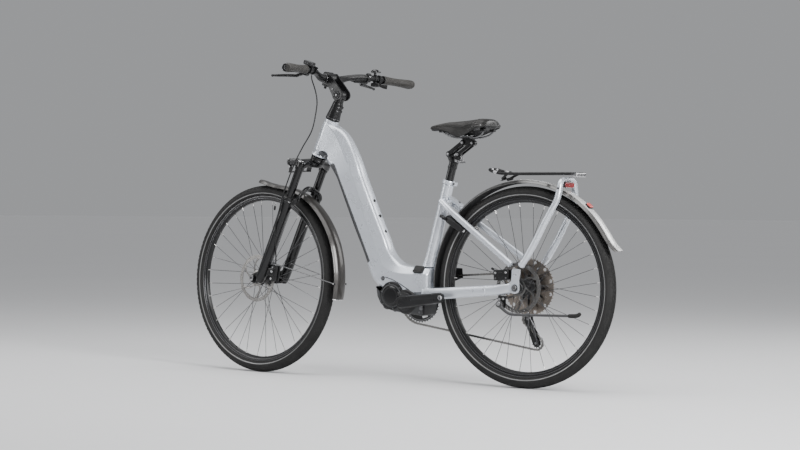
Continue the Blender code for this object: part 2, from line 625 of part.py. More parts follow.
# the run from the back of the cog goes down to the front of the guide pulley, then to the back of the tension pulley
t_cog = max(t_cog, key=lambda t: t[1][0])
t_cage = max(t_cage, key=lambda t: t[0][0])
chain2d = []
chain2d += wrap(ring_c, RR, t_low[1], t_top[0], True, 16)
chain2d += straight(t_top[0], t_top[1], 8)
chain2d += wrap(cog_c, CR, t_top[1], t_cog[0], True, 14)
chain2d += wrap(guide_c, PR, t_cog[1], t_cage[0], False, 7)
chain2d += wrap(tens_c, PR, t_cage[1], t_low[0], True, 9)
chain2d += straight(t_low[0], t_low[1], 8)


def chain_y(x):
    return -(COG_Y + (CHAINLINE - COG_Y) * min(max((x - 0.03) / 0.40, 0.0), 1.0))


def chain_solid(points, hw, hh):
    pts = np.array([(x, chain_y(x), z) for x, z in points])
    n = len(pts)
    verts, faces = [], []
    for i in range(n):
        t = pts[(i + 1) % n] - pts[i - 1]
        t[1] = 0
        t /= np.linalg.norm(t)
        a = np.array([-t[2], 0, t[0]])
        for u, v in ((-hh, -hw), (hh, -hw), (hh, hw), (-hh, hw)):
            verts.append(pts[i] + a * u + np.array([0, v, 0]))
    for i in range(n):
        for j in range(4):
            faces.append((i * 4 + j, i * 4 + (j + 1) % 4, ((i + 1) % n) * 4 + (j + 1) % 4, ((i + 1) % n) * 4 + j))
    return raw(verts, faces)


finish(chain_solid(chain2d, 0.0026, 0.0038), "chain", GREY)

# ---------------------------------------------------------------- ring lock under the seatstays
lock_pts = [(0.2330, -0.0470, 0.5545), (0.2700, -0.0470, 0.5765), (0.2990, -0.0440, 0.5930), (0.3110, -0.0300, 0.5995), (0.3140, 0.0, 0.6010), (0.3110, 0.0300, 0.5995), (0.2990, 0.0440, 0.5930), (0.2700, 0.0470, 0.5765), (0.2330, 0.0470, 0.5545)]
lock_rows = smooth_path(lock_pts, 17)
lock_w = [0.0085, 0.0105, 0.0115, 0.0115, 0.0110, 0.0105, 0.0095, 0.0090, 0.0090, 0.0090, 0.0095, 0.0105, 0.0110, 0.0115, 0.0115, 0.0105, 0.0085]
lock = sweep([tuple(r) for r in lock_rows], lambda i, row: oval(lock_w[i], 0.0075, 8, 3.0))
lever = box((0.3150, 0.0530, 0.6020), (0.026, 0.012, 0.011), (0.86, 0, 0.5), (0, 1, 0))
lock = fuse(lock, lever)
finish(lock, "frame_lock", BLACK)

# ---------------------------------------------------------------- rear stand
KP = Vector((0.0480, 0.0890, 0.2960))
STAND_AXIS = Vector((0.0, 0.942, 0.334)).normalized()
mount = fuse(
    plate([(0.0340, 0.3290), (0.0660, 0.3260), (0.0640, 0.2990), (0.0570, 0.2830), (0.0390, 0.2830), (0.0330, 0.2990)], 0.0800, 0.0840),
    box((0.0500, 0.0740, 0.3270), (0.030, 0.016, 0.0040)),
    rod(tuple(KP - STAND_AXIS * 0.0075), tuple(KP + STAND_AXIS * 0.0035), 0.0100, 14),
)
finish(mount, "stand_mount", BLACK)
LEG = [tuple(KP + STAND_AXIS * 0.0115), (0.030, 0.1045, 0.2830), (0.004, 0.1060, 0.2690), (-0.030, 0.1060, 0.2665), (-0.120, 0.1060, 0.2680), (-0.210, 0.1060, 0.2695), (-0.262, 0.1060, 0.2710), (-0.2790, 0.1060, 0.2800)]
leg = tube([tuple(r) for r in smooth_path(LEG, 14)], 0.0072, 8)
knuckle = rod(tuple(KP + STAND_AXIS * 0.0040), tuple(KP + STAND_AXIS * 0.0190), 0.0125, 14)
leg = fuse(leg, knuckle)
finish(leg, "stand_leg", GREY, KP)


# ---------------------------------------------------------------- cranks and chainring
def arm(s):
    a = CRANK_REST if s > 0 else CRANK_REST - math.pi
    c, sn = math.cos(a), math.sin(a)
    rows = []
    for t, y, hw, ht in ((-0.021, 0.0745, 0.0130, 0.0062), (-0.012, 0.0745, 0.0215, 0.0075), (0.010, 0.0745, 0.0235, 0.0078), (0.050, 0.0765, 0.0225, 0.0075), (0.110, 0.0800, 0.0208, 0.0070), (0.155, 0.0828, 0.0195, 0.0066), (CRANK, 0.0832, 0.0180, 0.0064), (CRANK + 0.0125, 0.0834, 0.0110, 0.0056)):
        rows.append((BB[0] + c * t, y * s, BB[1] + sn * t, hw, ht))
    ob = sweep([tuple(r) for r in smooth_path(rows, 10)], lambda i, row: oval(row[3], row[4], 10, 3.0), side=(0, 1, 0))
    hole = rod((BB[0] + c * CRANK, 0.05 * s, BB[1] + sn * CRANK), (BB[0] + c * CRANK, 0.11 * s, BB[1] + sn * CRANK), 0.0062, 14)
    return cut(ob, hole)


BB3 = Vector((BB[0], 0.0, BB[1]))
finish(arm(1), "crank_arm_left", BLACK, BB3)
right = arm(-1)
spindle = rod((BB[0], -0.0740, BB[1]), (BB[0], 0.0660, BB[1]), 0.0105, 16)
spider = lathe([(0.0, -0.0560), (0.040, -0.0560), (0.040, -0.0590), (0.018, -0.0680), (0.0, -0.0680)], (BB[0], 0.0, BB[1]), (0, 1, 0), 20)
right = fuse(right, spindle, spider)
finish(right, "crank_arm_right", BLACK, BB3)


def toothed(c, teeth, r_out, r_root, y0, y1, bore):
    poly = []
    for i in range(teeth):
        for f, r in ((0.0, r_root), (0.5, r_out)):
            a = 2 * math.pi * (i + f) / teeth
            poly.append((c[0] + r * math.cos(a), c[1] + r * math.sin(a)))
    ob = plate(poly, y0, y1)
    return cut(ob, rod((c[0], y0 - 0.01, c[1]), (c[0], y1 + 0.01, c[1]), bore, 24))


finish(toothed(ring_c, 40, RING_R, RING_R - 0.0045, -0.0545, -0.0515, 0.0145), "chainring", BLACK, BB3)

# ---------------------------------------------------------------- cassette
cogs = [(0.1035, -0.0240), (0.0870, -0.0290), (0.0720, -0.0340), (0.0580, -0.0390), (COG_R, -0.0450), (0.0390, -0.0510), (0.0300, -0.0570), (0.0225, -0.0625)]
clean = [(0.0070, -0.0222)]
for r, y in cogs:
    if r == COG_R:
        clean.append((r - 0.0017, -0.0402))
    clean += [(r, y + 0.0014), (r, y - 0.0010)]
clean += [(0.0150, -0.0660), (0.0070, -0.0660)]
finish(lathe(clean, HUB_R, (0, 1, 0), 18, closed=True), "cassette", BRONZE, HUB_R)


# ---------------------------------------------------------------- wheels
def wheel_hub(c, profile, flange_l, flange_r, r_fl, n_sp, axis_r):
    """Hub shell with crossed spokes, 36 in all, as one piece. Heads sit on both faces of each flange."""
    shell = lathe(profile, c, (0, 1, 0), 16, closed=True)
    spokes = []
    for k in range(n_sp):
        left = k % 2 == 0
        fy = flange_l if left else flange_r
        j = k // 2
        lead = 1 if j % 2 == 0 else -1
        rim_a = 2 * math.pi * k / n_sp + math.radians(5)
        hub_a = rim_a + lead * math.radians(62)
        head_y = fy + (0.0030 if lead > 0 else -0.0030)
        h = Vector(c) + Vector((math.cos(hub_a) * (r_fl - 0.0035), head_y * 1.0, math.sin(hub_a) * (r_fl - 0.0035)))
        q = Vector(c) + Vector((math.cos(rim_a) * (RIM_INNER_R - 0.0016), 0.0035 * (1 if left else -1), math.sin(rim_a) * (RIM_INNER_R - 0.0016)))
        spokes.append(rod(tuple(h), tuple(q), 0.0012, 3))
    return fuse(shell, joined(spokes))


rear_hub_profile = [
    (0.0068, -0.0214), (0.0290, -0.0210), (0.0290, -0.0120), (0.0180, -0.0080), (0.0180, 0.0270),
    (0.0290, 0.0300), (0.0290, 0.0380), (0.0200, 0.0420), (0.0200, 0.0505), (0.0168, 0.0505), (0.0168, 0.0600), (0.0068, 0.0640),
]
finish(wheel_hub(HUB_R, rear_hub_profile, 0.0340, -0.0165, 0.0290, 36, 0.0068), "rear_hub_spokes", BLACK, HUB_R)
front_hub_profile = [
    (0.0068, -0.0480), (0.0140, -0.0480), (0.0150, -0.0380), (0.0270, -0.0360), (0.0270, -0.0280), (0.0150, -0.0240), (0.0150, 0.0130),
    (0.0270, 0.0150), (0.0270, 0.0230), (0.0200, 0.0270), (0.0200, 0.0380), (0.0168, 0.0380), (0.0168, 0.0440), (0.0068, 0.0480),
]
finish(wheel_hub(HUB_F, front_hub_profile, 0.0190, -0.0320, 0.0270, 36, 0.0068), "front_hub_spokes", BLACK, HUB_F, steered=True)

RIM_PROFILE = [(RIM_INNER_R, -0.0060), (0.3070, -0.0125), (RIM_R, -RIM_HALF), (RIM_R, -0.0112), (0.3090, -0.0090), (0.3090, 0.0090), (RIM_R, 0.0112), (RIM_R, RIM_HALF), (0.3070, 0.0125), (RIM_INNER_R, 0.0060)]
TYRE_PROFILE = [(0.3172, -0.0125), (0.3240, -0.0215), (0.3335, -TYRE_HALF), (0.3470, -0.0195), (0.3558, -0.0080), (TYRE_R, 0.0), (0.3558, 0.0080), (0.3470, 0.0195), (0.3335, TYRE_HALF), (0.3240, 0.0215), (0.3172, 0.0125)]
for side_name, c, st in (("rear", HUB_R, False), ("front", HUB_F, True)):
    finish(lathe(RIM_PROFILE, c, (0, 1, 0), 36, closed=True), side_name + "_rim", BLACK, c, st)
    finish(lathe(TYRE_PROFILE, c, (0, 1, 0), 36, closed=True), side_name + "_tyre", RUBBER, c, st)


def rotor(c, y0, y1):
    out = lathe([(0.0765, y0), (ROTOR_R, y0), (ROTOR_R, y1), (0.0765, y1)], c, (0, 1, 0), 28, closed=True)
    mid = lathe([(0.0174, y0), (0.0300, y0), (0.0300, y1), (0.0174, y1)], c, (0, 1, 0), 14, closed=True)
    arms = []
    for k in range(6):
        a = math.radians(60 * k)
        b = a + math.radians(34)
        p = Vector((c[0] + 0.028 * math.cos(a), 0, c[2] + 0.028 * math.sin(a)))
        q = Vector((c[0] + 0.0780 * math.cos(b), 0, c[2] + 0.0780 * math.sin(b)))
        d = (q - p).normalized()
        w = Vector((-d.z, 0, d.x)) * 0.0032
        arms.append(plate([((p - w).x, (p - w).z), ((q - w).x, (q - w).z), ((q + w).x, (q + w).z), ((p + w).x, (p + w).z)], y0, y1))
    return fuse(out, joined(arms), mid)


finish(rotor(HUB_R, 0.0510, 0.0530), "rear_rotor", STEEL, HUB_R)
finish(rotor(HUB_F, 0.0384, 0.0404), "front_rotor", STEEL, HUB_F, steered=True)


# ---------------------------------------------------------------- fork: steerer, crown and stanchions
def on_leg(z, s, extra=0.0):
    """Point of a fork leg axis at height z."""
    return Vector((head_x(z) + (LEG_OFFSET + extra) / SIN_H, LEG_HALF * s, z))


ST_TOP = Vector((head_x(0.988), 0, 0.988))
steerer = rod(tuple(Vector((head_x(0.800), 0, 0.800))), tuple(ST_TOP), 0.0165, 18)
CROWN_Z = 0.7900
crown_pts = []
for y, up, fwd, hx, hz in ((-0.0845, -0.006, LEG_OFFSET, 0.0160, 0.0150), (-0.0665, -0.004, LEG_OFFSET, 0.0200, 0.0170), (-0.038, 0.004, 0.012, 0.0200, 0.0135), (0.0, 0.008, 0.006, 0.0270, 0.0135), (0.038, 0.004, 0.012, 0.0200, 0.0135), (0.0665, -0.004, LEG_OFFSET, 0.0200, 0.0170), (0.0845, -0.006, LEG_OFFSET, 0.0160, 0.0150)):
    p = Vector((head_x(CROWN_Z), 0, CROWN_Z)) + AXIS_NORMAL * fwd + AXIS_DIR * up
    crown_pts.append((p.x, y, p.z, hx, hz))


def slab(rows, e=3.0, n=12):
    """A bar along y with sections laid out in the steering axis frame."""
    verts, faces = [], []
    for x, y, z, hx, hz in rows:
        for u, v in oval(hx, hz, n, e):
            verts.append(Vector((x, y, z)) + AXIS_NORMAL * u + AXIS_DIR * v)
    m = len(rows)
    for i in range(m - 1):
        for j in range(n):
            j2 = (j + 1) % n
            faces.append((i * n + j, i * n + j2, (i + 1) * n + j2, (i + 1) * n + j))
    faces.append(tuple(range(n)))
    faces.append(tuple((m - 1) * n + j for j in range(n)))
    return raw(verts, faces)


crown = slab(crown_pts)
race = lathe([(0.0, 0.0), (0.0285, 0.0), (0.0285, 0.0170), (0.0200, 0.0200), (0.0, 0.0200)], Vector((head_x(0.8075), 0, 0.8075)), AXIS_DIR, 18)
legs = [rod(tuple(on_leg(0.790, s)), tuple(on_leg(0.560, s)), 0.0150, 14) for s in (1, -1)]
fork = fuse(crown, steerer, race, legs[0], legs[1])
finish(fork, "fork_upper", BLACK, HEAD_PT, steered=True)

# headset top cover and stem base, one above the other round the steerer
SB_LOW = Vector((head_x(0.9636), 0, 0.9636))
PIV = Vector((0.8090, 0.0, 1.0530))
sb = lathe([(0.0168, 0.0), (0.0268, 0.0), (0.0274, 0.0070), (0.0266, 0.0110), (0.0240, 0.0280), (0.0212, 0.0480), (0.0196, 0.0660), (0.0168, 0.0720)], SB_LOW, AXIS_DIR, 18, closed=True)
fork_end = rod((PIV.x, -0.0184, PIV.z), (PIV.x, 0.0184, PIV.z), 0.0180, 18)
tang_b = rod(tuple(SB_LOW + AXIS_DIR * 0.038), tuple(SB_LOW + AXIS_DIR * 0.088), 0.0180, 16)
sb = fuse(sb, tang_b, fork_end)
pin_hole = rod((PIV.x, -0.03, PIV.z), (PIV.x, 0.03, PIV.z), 0.0062, 12)
above = rod((PIV.x, 0.0186, PIV.z), (PIV.x, 0.06, PIV.z), 0.0240, 18)
above2 = rod((PIV.x, -0.0186, PIV.z), (PIV.x, -0.06, PIV.z), 0.0240, 18)
room = rod(tuple(ST_TOP - AXIS_DIR * 0.03), tuple(ST_TOP + AXIS_DIR * 0.002), 0.0168, 16)
sb = cut(sb, pin_hole, above, above2, room)
finish(sb, "stem_base", BLACK, HEAD_PT, steered=True)

# stem arm: two cheeks joined by the bar clamp, a web and the pin
BARC = Vector((0.8660, 0.0, 1.1170))
ARM_DIR = (BARC - PIV).normalized()
CHEEK = [(0.8500, 1.1375), (0.7860, 1.0680), (0.7805, 1.0560), (0.7835, 1.0440), (0.7930, 1.0360), (0.8060, 1.0330), (0.8190, 1.0350), (0.8280, 1.0420), (0.8330, 1.0550), (0.8520, 1.0850), (0.8700, 1.0960), (0.8780, 1.1200), (0.8640, 1.1380)]
cheeks = joined([plate(CHEEK, 0.0190, 0.0252), plate(CHEEK, -0.0252, -0.0190)])
barrel = rod((BARC.x, -0.0262, BARC.z), (BARC.x, 0.0262, BARC.z), 0.0222, 18)
web = box(PIV + ARM_DIR * 0.0420 + Vector((0.0035, 0, -0.0030)), (0.0260, 0.0440, 0.0100), tuple(ARM_DIR), (0, 1, 0))
lug = box((0.8800, 0.0, 1.0960), (0.0300, 0.0300, 0.0140), (0.95, 0, 0.28), (0, 1, 0))
pin = rod((PIV.x, -0.0275, PIV.z), (PIV.x, 0.0275, PIV.z), 0.0058, 12)
bosses = joined([rod((PIV.x, 0.0240 * s, PIV.z), (PIV.x, 0.0278 * s, PIV.z), 0.0155, 16) for s in (1, -1)])
stem = fuse(cheeks, barrel, web, lug, pin, bosses)
bar_hole = rod((BARC.x, -0.05, BARC.z), (BARC.x, 0.05, BARC.z), 0.0167, 16)
stem = cut(stem, bar_hole)
finish(stem, "stem_arm", BLACK, PIV, steered=True)

# handlebar
half_bar = [(0.8660, 0.0000, 1.1170, 0.0158), (0.8660, 0.0300, 1.1170, 0.0158), (0.8650, 0.0520, 1.1178, 0.0146), (0.8540, 0.0850, 1.1270, 0.0116), (0.8340, 0.1200, 1.1335, 0.0112), (0.8160, 0.1500, 1.1345, 0.0111), (0.7985, 0.1900, 1.1325, 0.0111), (0.7885, 0.2400, 1.1293, 0.0111), (0.7735, BAR_HALF - 0.002, 1.1235, 0.0111)]
bar_rows = smooth_path([(x, -y, z, r) for x, y, z, r in reversed(half_bar)] + half_bar[1:], 29)
bar = sweep([tuple(r) for r in bar_rows], lambda i, row: oval(row[3], row[3], 10))
finish(bar, "handlebar", BLACK, BARC, steered=True)


bar_half_rows = np.array(sorted(((abs(r[1]), r[0], r[2]) for r in bar_rows if r[1] > -1e-6)))


def bar_point(y):
    a = abs(y)
    return Vector((np.interp(a, bar_half_rows[:, 0], bar_half_rows[:, 1]), y, np.interp(a, bar_half_rows[:, 0], bar_half_rows[:, 2])))


def bar_dir(y):
    return (bar_point(y + 0.008) - bar_point(y - 0.008)).normalized()


def grip(s):
    p0, p1 = bar_point(0.2195 * s), bar_point(0.3475 * s)
    d = (p1 - p0).normalized()
    rows = []
    for f, ra, rb, back in ((0.0, 0.0160, 0.0165, 0.0), (0.30, 0.0152, 0.0168, 0.0), (0.60, 0.0158, 0.0190, 0.0020), (0.85, 0.0172, 0.0235, 0.0060), (1.0, 0.0168, 0.0225, 0.0060), (1.035, 0.0120, 0.0170, 0.0050)):
        p = p0 + (p1 - p0) * f + Vector((-back, 0, 0))
        rows.append((p.x, p.y, p.z, ra, rb))
    ob = sweep([tuple(r) for r in rows], lambda i, row: oval(row[4], row[3], 12), side=(0, 0, 1))
    inner_c = rod(tuple(p0 - d * 0.02), tuple(bar_point(0.3480 * s) + d * 0.0010), 0.0126, 12)
    return cut(ob, inner_c)


finish(grip(1), "grip_left", RUBBER, bar_point(0.27), steered=True)
finish(grip(-1), "grip_right", RUBBER, bar_point(-0.27), steered=True)


def on_bar_ring(y, r_out, length):
    """A split clamp ring round the bar."""
    p, d = bar_point(y), bar_dir(y)
    return lathe([(0.0132, -length / 2), (r_out, -length / 2), (r_out, length / 2), (0.0132, length / 2)], p, d, 14, closed=True)


BRAKE_Y = 0.158


def brake_frame(s):
    """Place on the bar, forward-down direction square to it, and the direction towards the stem."""
    p, d = bar_point(BRAKE_Y * s), bar_dir(BRAKE_Y * s)
    fwd = Vector((0.955, 0.0, -0.296))
    fwd = (fwd - d * fwd.dot(d)).normalized()
    return p, fwd, d * (-s)


def master(s):
    p, fwd, along = brake_frame(s)
    ring_ob = on_bar_ring(BRAKE_Y * s, 0.0180, 0.014)
    start = p + fwd * 0.0300
    body_ob = tube([tuple(start - along * 0.006), tuple(start + along * 0.026 + fwd * 0.002), tuple(start + along * 0.046 + fwd * 0.006)], [0.0100, 0.0105, 0.0085], 10)
    pivot_block = box(start + fwd * 0.0130 - along * 0.004, (0.022, 0.020, 0.012), fwd, along)
    neck = box(p + fwd * 0.0210, (0.016, 0.012, 0.012), fwd, along)
    return fuse(ring_ob, body_ob, pivot_block, neck)


def lever_parts(s):
    p, fwd, along = brake_frame(s)
    pivot = p + fwd * 0.0610 - along * 0.002
    pts = [pivot + along * 0.004]
    for x, y, z in ((0.8765, 0.1900, 1.1130), (0.8800, 0.2300, 1.1100), (0.8850, 0.2620, 1.1070), (0.8930, 0.2860, 1.1050)):
        pts.append(Vector((x, y * s, z)))
    return pivot, pts, fwd.cross(along).normalized()


for s, nm in ((1, "left"), (-1, "right")):
    finish(master(s), "brake_master_" + nm, BLACK, bar_point(BRAKE_Y * s), steered=True)
    pivot, pts, up = lever_parts(s)
    lever_ob = tube([tuple(p) for p in pts], [0.0052, 0.0048, 0.0042, 0.0042, 0.0036], 8, side=tuple(up), b=[0.0052, 0.0060, 0.0056, 0.0050, 0.0040], e=2.6)
    finish(lever_ob, "brake_lever_" + nm, BLACK, pivot, steered=True)

# shifter with its trigger, hung below the bar on the right
y_sh = -0.2010
p_sh = bar_point(y_sh)
sh = fuse(
    on_bar_ring(y_sh, 0.0160, 0.010),
    box(p_sh + Vector((0.006, 0.008, -0.0220)), (0.034, 0.034, 0.0150), (0.94, 0.34, 0), (-0.34, 0.94, 0)),
    tube([tuple(p_sh + Vector((-0.006, -0.006, -0.0250))), tuple(p_sh + Vector((-0.026, -0.020, -0.0290)))], [0.0060, 0.0085], 8, b=[0.0030, 0.0030]),
)
finish(sh, "shifter", BLACK, p_sh, steered=True)

# bell
y_b = -0.1840
p_b = bar_point(y_b)
bell = fuse(
    on_bar_ring(y_b, 0.0150, 0.009),
    rod(tuple(p_b + Vector((0, 0, 0.0125))), tuple(p_b + Vector((0, 0, 0.0240))), 0.0050, 10),
    lathe([(0.0, 0.0), (0.0165, 0.0), (0.0165, 0.0050), (0.0130, 0.0100), (0.0060, 0.0125), (0.0, 0.0130)], p_b + Vector((0, 0, 0.0225)), (0, 0, 1), 16),
)
finish(bell, "bell", STEEL, p_b, steered=True)

# remote with its small screen on the left
y_r = 0.1950
p_r = bar_point(y_r)
remote = fuse(
    on_bar_ring(y_r, 0.0160, 0.013),
    box(p_r + Vector((-0.004, 0.002, 0.0220)), (0.036, 0.032, 0.0160), (0.94, 0, 0.34), (0, 1, 0)),
)
finish(remote, "remote", BLACK, p_r, steered=True)

# headlight on its bracket
HLZ = 0.8060
hl = lathe([(0.0, 0.0), (0.0060, 0.0), (0.0125, 0.0140), (0.0138, 0.0200), (0.0142, 0.0590), (0.0128, 0.0630), (0.0, 0.0630)], (0.9980, 0.0, HLZ), (1, 0, 0), 16)
hl_br = fuse(
    box((1.0520, 0.0, 0.7800), (0.0050, 0.0140, 0.0290)),
    box((1.0040, 0.0, 0.7690), (0.1030, 0.0180, 0.0050), (1, 0, -0.03), (0, 1, 0)),
    box((0.9560, 0.0, 0.7790), (0.0060, 0.0220, 0.0240), (0.917, 0, 0.399), (0, 1, 0)),
)
hl = fuse(hl, hl_br)
finish(hl, "headlight", BLACK, (1.0000, 0.0, HLZ), steered=True)

# ---------------------------------------------------------------- fork lowers
LOW_TOP = 0.6680
lows = []
for s in (1, -1):
    a = on_leg(LOW_TOP, s)
    lows.append(tube([tuple(a), tuple(a - AXIS_DIR * 0.012), tuple(a - AXIS_DIR * 0.022), tuple(on_leg(0.45, s)), tuple(on_leg(0.375, s)), tuple(on_leg(0.345, s))], [0.0222, 0.0222, 0.0198, 0.0198, 0.0190, 0.0140], 12, side=(0, 1, 0)))
    lows.append(plate([(1.1000, 0.4050), (1.1400, 0.3880), (1.1750, 0.3745), (1.1860, 0.3640), (1.1870, 0.3520), (1.1790, 0.3425), (1.1640, 0.3385), (1.1300, 0.3410), (1.1120, 0.3500)], (0.0545 if s > 0 else -0.0640), (0.0640 if s > 0 else -0.0545)))
    lows.append(rod((WHEELBASE, 0.0500 * s, TYRE_R), (WHEELBASE, 0.0672 * s, TYRE_R), 0.0145, 14))
arch_pts = []
for y, r, a in ((-0.0665, 0.3330, 122.0), (-0.0650, 0.3620, 125.2), (-0.0530, 0.3880, 124.8), (-0.0300, 0.4015, 123.2), (0.0, 0.4055, 121.8), (0.0300, 0.4015, 123.2), (0.0530, 0.3880, 124.8), (0.0650, 0.3620, 125.2), (0.0665, 0.3330, 122.0)):
    t = math.radians(a)
    arch_pts.append((WHEELBASE + r * math.cos(t), y, TYRE_R + r * math.sin(t)))
arch_rows = smooth_path(arch_pts, 15)
arch = tube([tuple(r) for r in arch_rows], 0.0060, 8, side=(0.52, 0.0, -0.85), b=0.0105, e=3.0)
tabs = box((1.0880, 0.0648, 0.3850), (0.0600, 0.0098, 0.0300), (1, 0, 0), (0, 1, 0))
lower = fuse(lows[0], lows[1], lows[2], lows[3], lows[4], lows[5], arch, tabs)
bores = [rod(tuple(on_leg(0.700, s)), tuple(on_leg(0.500, s)), 0.0156, 14) for s in (1, -1)]
ax_hole = rod((WHEELBASE, -0.09, TYRE_R), (WHEELBASE, 0.09, TYRE_R), 0.0062, 16)
lower = cut(lower, bores[0], bores[1], ax_hole)
finish(lower, "fork_lowers", BLACK, HUB_F, steered=True)

fcal = box((1.0780, 0.0428, 0.3800), (0.0620, 0.0310, 0.0360), (-0.15, 0, 0.99), (0, 1, 0))
fslot = box((1.1195, 0.0394, 0.3800), (0.100, 0.0044, 0.1000), (-0.15, 0, 0.99), (0, 1, 0))


def leg_space():
    return joined([tube([tuple(on_leg(0.60, s)), tuple(on_leg(0.45, s)), tuple(on_leg(0.375, s)), tuple(on_leg(0.345, s))], [0.0202, 0.0202, 0.0194, 0.0144], 12, side=(0, 1, 0)) for s in (1, -1)])


fcal = cut(fcal, fslot, leg_space())
finish(fcal, "front_caliper", BLACK, HUB_F, steered=True)

faxle = lathe([(0.0, -0.0720), (0.0056, -0.0720), (0.0056, 0.0690), (0.0110, 0.0690), (0.0110, 0.0740), (0.0, 0.0740)], HUB_F, (0, 1, 0), 16)
finish(faxle, "front_axle", BLACK, HUB_F, steered=True)

front_guard = mudguard(HUB_F, curve_rows([(85.5, 0.3835, 0.0250), (89, 0.3776, 0.0265), (93, 0.3705, 0.0275), (100, 0.3665, 0.0285), (108, 0.3720, 0.0290), (115, 0.3805, 0.0295), (122, 0.3860, 0.0300), (131, 0.3905, 0.0305), (145, 0.3960, 0.0310), (160, 0.4000, 0.0315), (190.5, 0.4005, 0.0320)], 17), 0.0026, 0.0120)
gstays = []
for s in (1, -1):
    t = math.radians(181.5)
    tip = Vector((WHEELBASE + 0.3900 * math.cos(t), 0.0305 * s, TYRE_R + 0.3900 * math.sin(t)))
    gstays.append(rod((1.0860, 0.0560 * s, 0.4200), tuple(tip), 0.0017, 6))
guard_f = fuse(front_guard, *gstays)
guard_f = cut(guard_f, leg_space())
finish(guard_f, "front_mudguard", BROWN, HUB_F, steered=True)

# ---------------------------------------------------------------- front brake hose, held from the master to the caliper
hose_pts = [(0.8690, 0.1010, 1.1215), (0.8850, 0.0800, 1.1080), (0.8960, 0.0560, 1.0880), (0.8985, 0.0420, 1.0656), (0.8950, 0.0370, 1.0358), (0.8955, 0.0380, 0.9981), (0.9030, 0.0500, 0.9219), (0.9290, 0.0720, 0.8538), (0.9420, 0.0895, 0.8075), (0.9640, 0.0935, 0.7582), (0.9920, 0.0935, 0.6941), (1.0080, 0.0930, 0.6500), (1.0220, 0.0920, 0.6000), (1.0340, 0.0905, 0.5600), (1.0400, 0.0870, 0.5200), (1.0490, 0.0720, 0.4800), (1.0585, 0.0580, 0.4500), (1.0650, 0.0500, 0.4270), (1.0665, 0.0485, 0.4125)]
cu = bpy.data.curves.new("front_brake_hose", "CURVE")
cu.dimensions = "3D"
cu.bevel_depth = 0.0024
cu.bevel_resolution = 2
cu.use_fill_caps = True
sp = cu.splines.new("POLY")
rows = smooth_path(hose_pts, 56)
sp.points.add(len(rows) - 1)
for i, r in enumerate(rows):
    v = Vector(r[:3]) - HEAD_PT
    sp.points[i].co = (v.x, v.y, v.z, 1.0)
hose = bpy.data.objects.new("front_brake_hose", cu)
bpy.context.collection.objects.link(hose)
hose.parent = steer_empty
cu.materials.append(paint("front_brake_hose_black", *BLACK[1:]))

# ---------------------------------------------------------------- seatpost with its linkage, saddle clamp and saddle
A1 = Vector((0.3230, 0, 0.8310))
A2 = Vector((0.2820, 0, 0.8290))
LINK = Vector((-0.0600, 0, 0.0410))
B1, B2 = A1 + LINK, A2 + LINK
post = rod((seat_x(0.600), 0, 0.600), (seat_x(0.8000), 0, 0.8000), 0.0155, 18)
post_head = fuse(
    tube([(seat_x(0.780), 0, 0.780), (seat_x(0.800), 0, 0.800), tuple(A1)], [0.0160, 0.0150, 0.0110], 10, side=(0, 1, 0), b=[0.0150, 0.0100, 0.0085], e=3.0),
    tube([(seat_x(0.785), 0, 0.785), tuple(A2)], [0.0140, 0.0100], 10, side=(0, 1, 0), b=[0.0120, 0.0085], e=3.0),
    rod((A1.x, -0.0085, A1.z), (A1.x, 0.0085, A1.z), 0.0115, 14),
    rod((A2.x, -0.0085, A2.z), (A2.x, 0.0085, A2.z), 0.0105, 14),
    box((0.2790, 0, 0.8040), (0.0340, 0.0280, 0.0100), (0.98, 0, 0.18), (0, 1, 0)),
)
seatpost = fuse(post, post_head)
seatpost = cut(seatpost, rod((A1.x, -0.02, A1.z), (A1.x, 0.02, A1.z), 0.0045, 10), rod((A2.x, -0.02, A2.z), (A2.x, 0.02, A2.z), 0.0045, 10))
finish(seatpost, "seatpost", BLACK, Vector((seat_x(0.70), 0, 0.70)))


def link(a, b, r):
    """Two side cheeks joined by the lower pin."""
    parts = []
    for s in (1, -1):
        parts.append(capsule(a, b, r, r, 0.0090 * s if s > 0 else -0.0145, 0.0145 * s if s > 0 else -0.0090))
    parts.append(rod((a.x, -0.0150, a.z), (a.x, 0.0150, a.z), 0.0042, 10))
    return fuse(*parts)


finish(link(A1, B1, 0.0072), "post_link_front", BLACK, A1)
finish(link(A2, B2, 0.0065), "post_link_rear", BLACK, A2)

cl_parts = [
    rod((B1.x, -0.0085, B1.z), (B1.x, 0.0085, B1.z), 0.0115, 14),
    rod((B2.x, -0.0085, B2.z), (B2.x, 0.0085, B2.z), 0.0105, 14),
    tube([tuple(B1), tuple(B2)], [0.0095, 0.0095], 8, side=(0, 1, 0), b=[0.0080, 0.0080], e=3.0),
    box((0.2430, 0, 0.8810), (0.046, 0.0170, 0.0190), (1, 0, 0.0), (0, 1, 0)),
    box((0.2400, 0, 0.8900), (0.034, 0.0540, 0.0090), (1, 0, 0.0), (0, 1, 0)),
]
saddle_clamp = fuse(*cl_parts)
rail_l = []
for s in (1, -1):
    pts = [(0.3480, 0.0110 * s, 0.9120), (0.3280, 0.0160 * s, 0.9020), (0.2900, 0.0210 * s, 0.8900), (0.2000, 0.0225 * s, 0.8900), (0.1740, 0.0290 * s, 0.8980), (0.1580, 0.0340 * s, 0.9120)]
    rail_l.append(tube([tuple(r) for r in smooth_path(pts, 10)], 0.0035, 6))
saddle_clamp = fuse(saddle_clamp, rail_l[0], rail_l[1])
finish(saddle_clamp, "saddle_clamp", BLACK, B1)

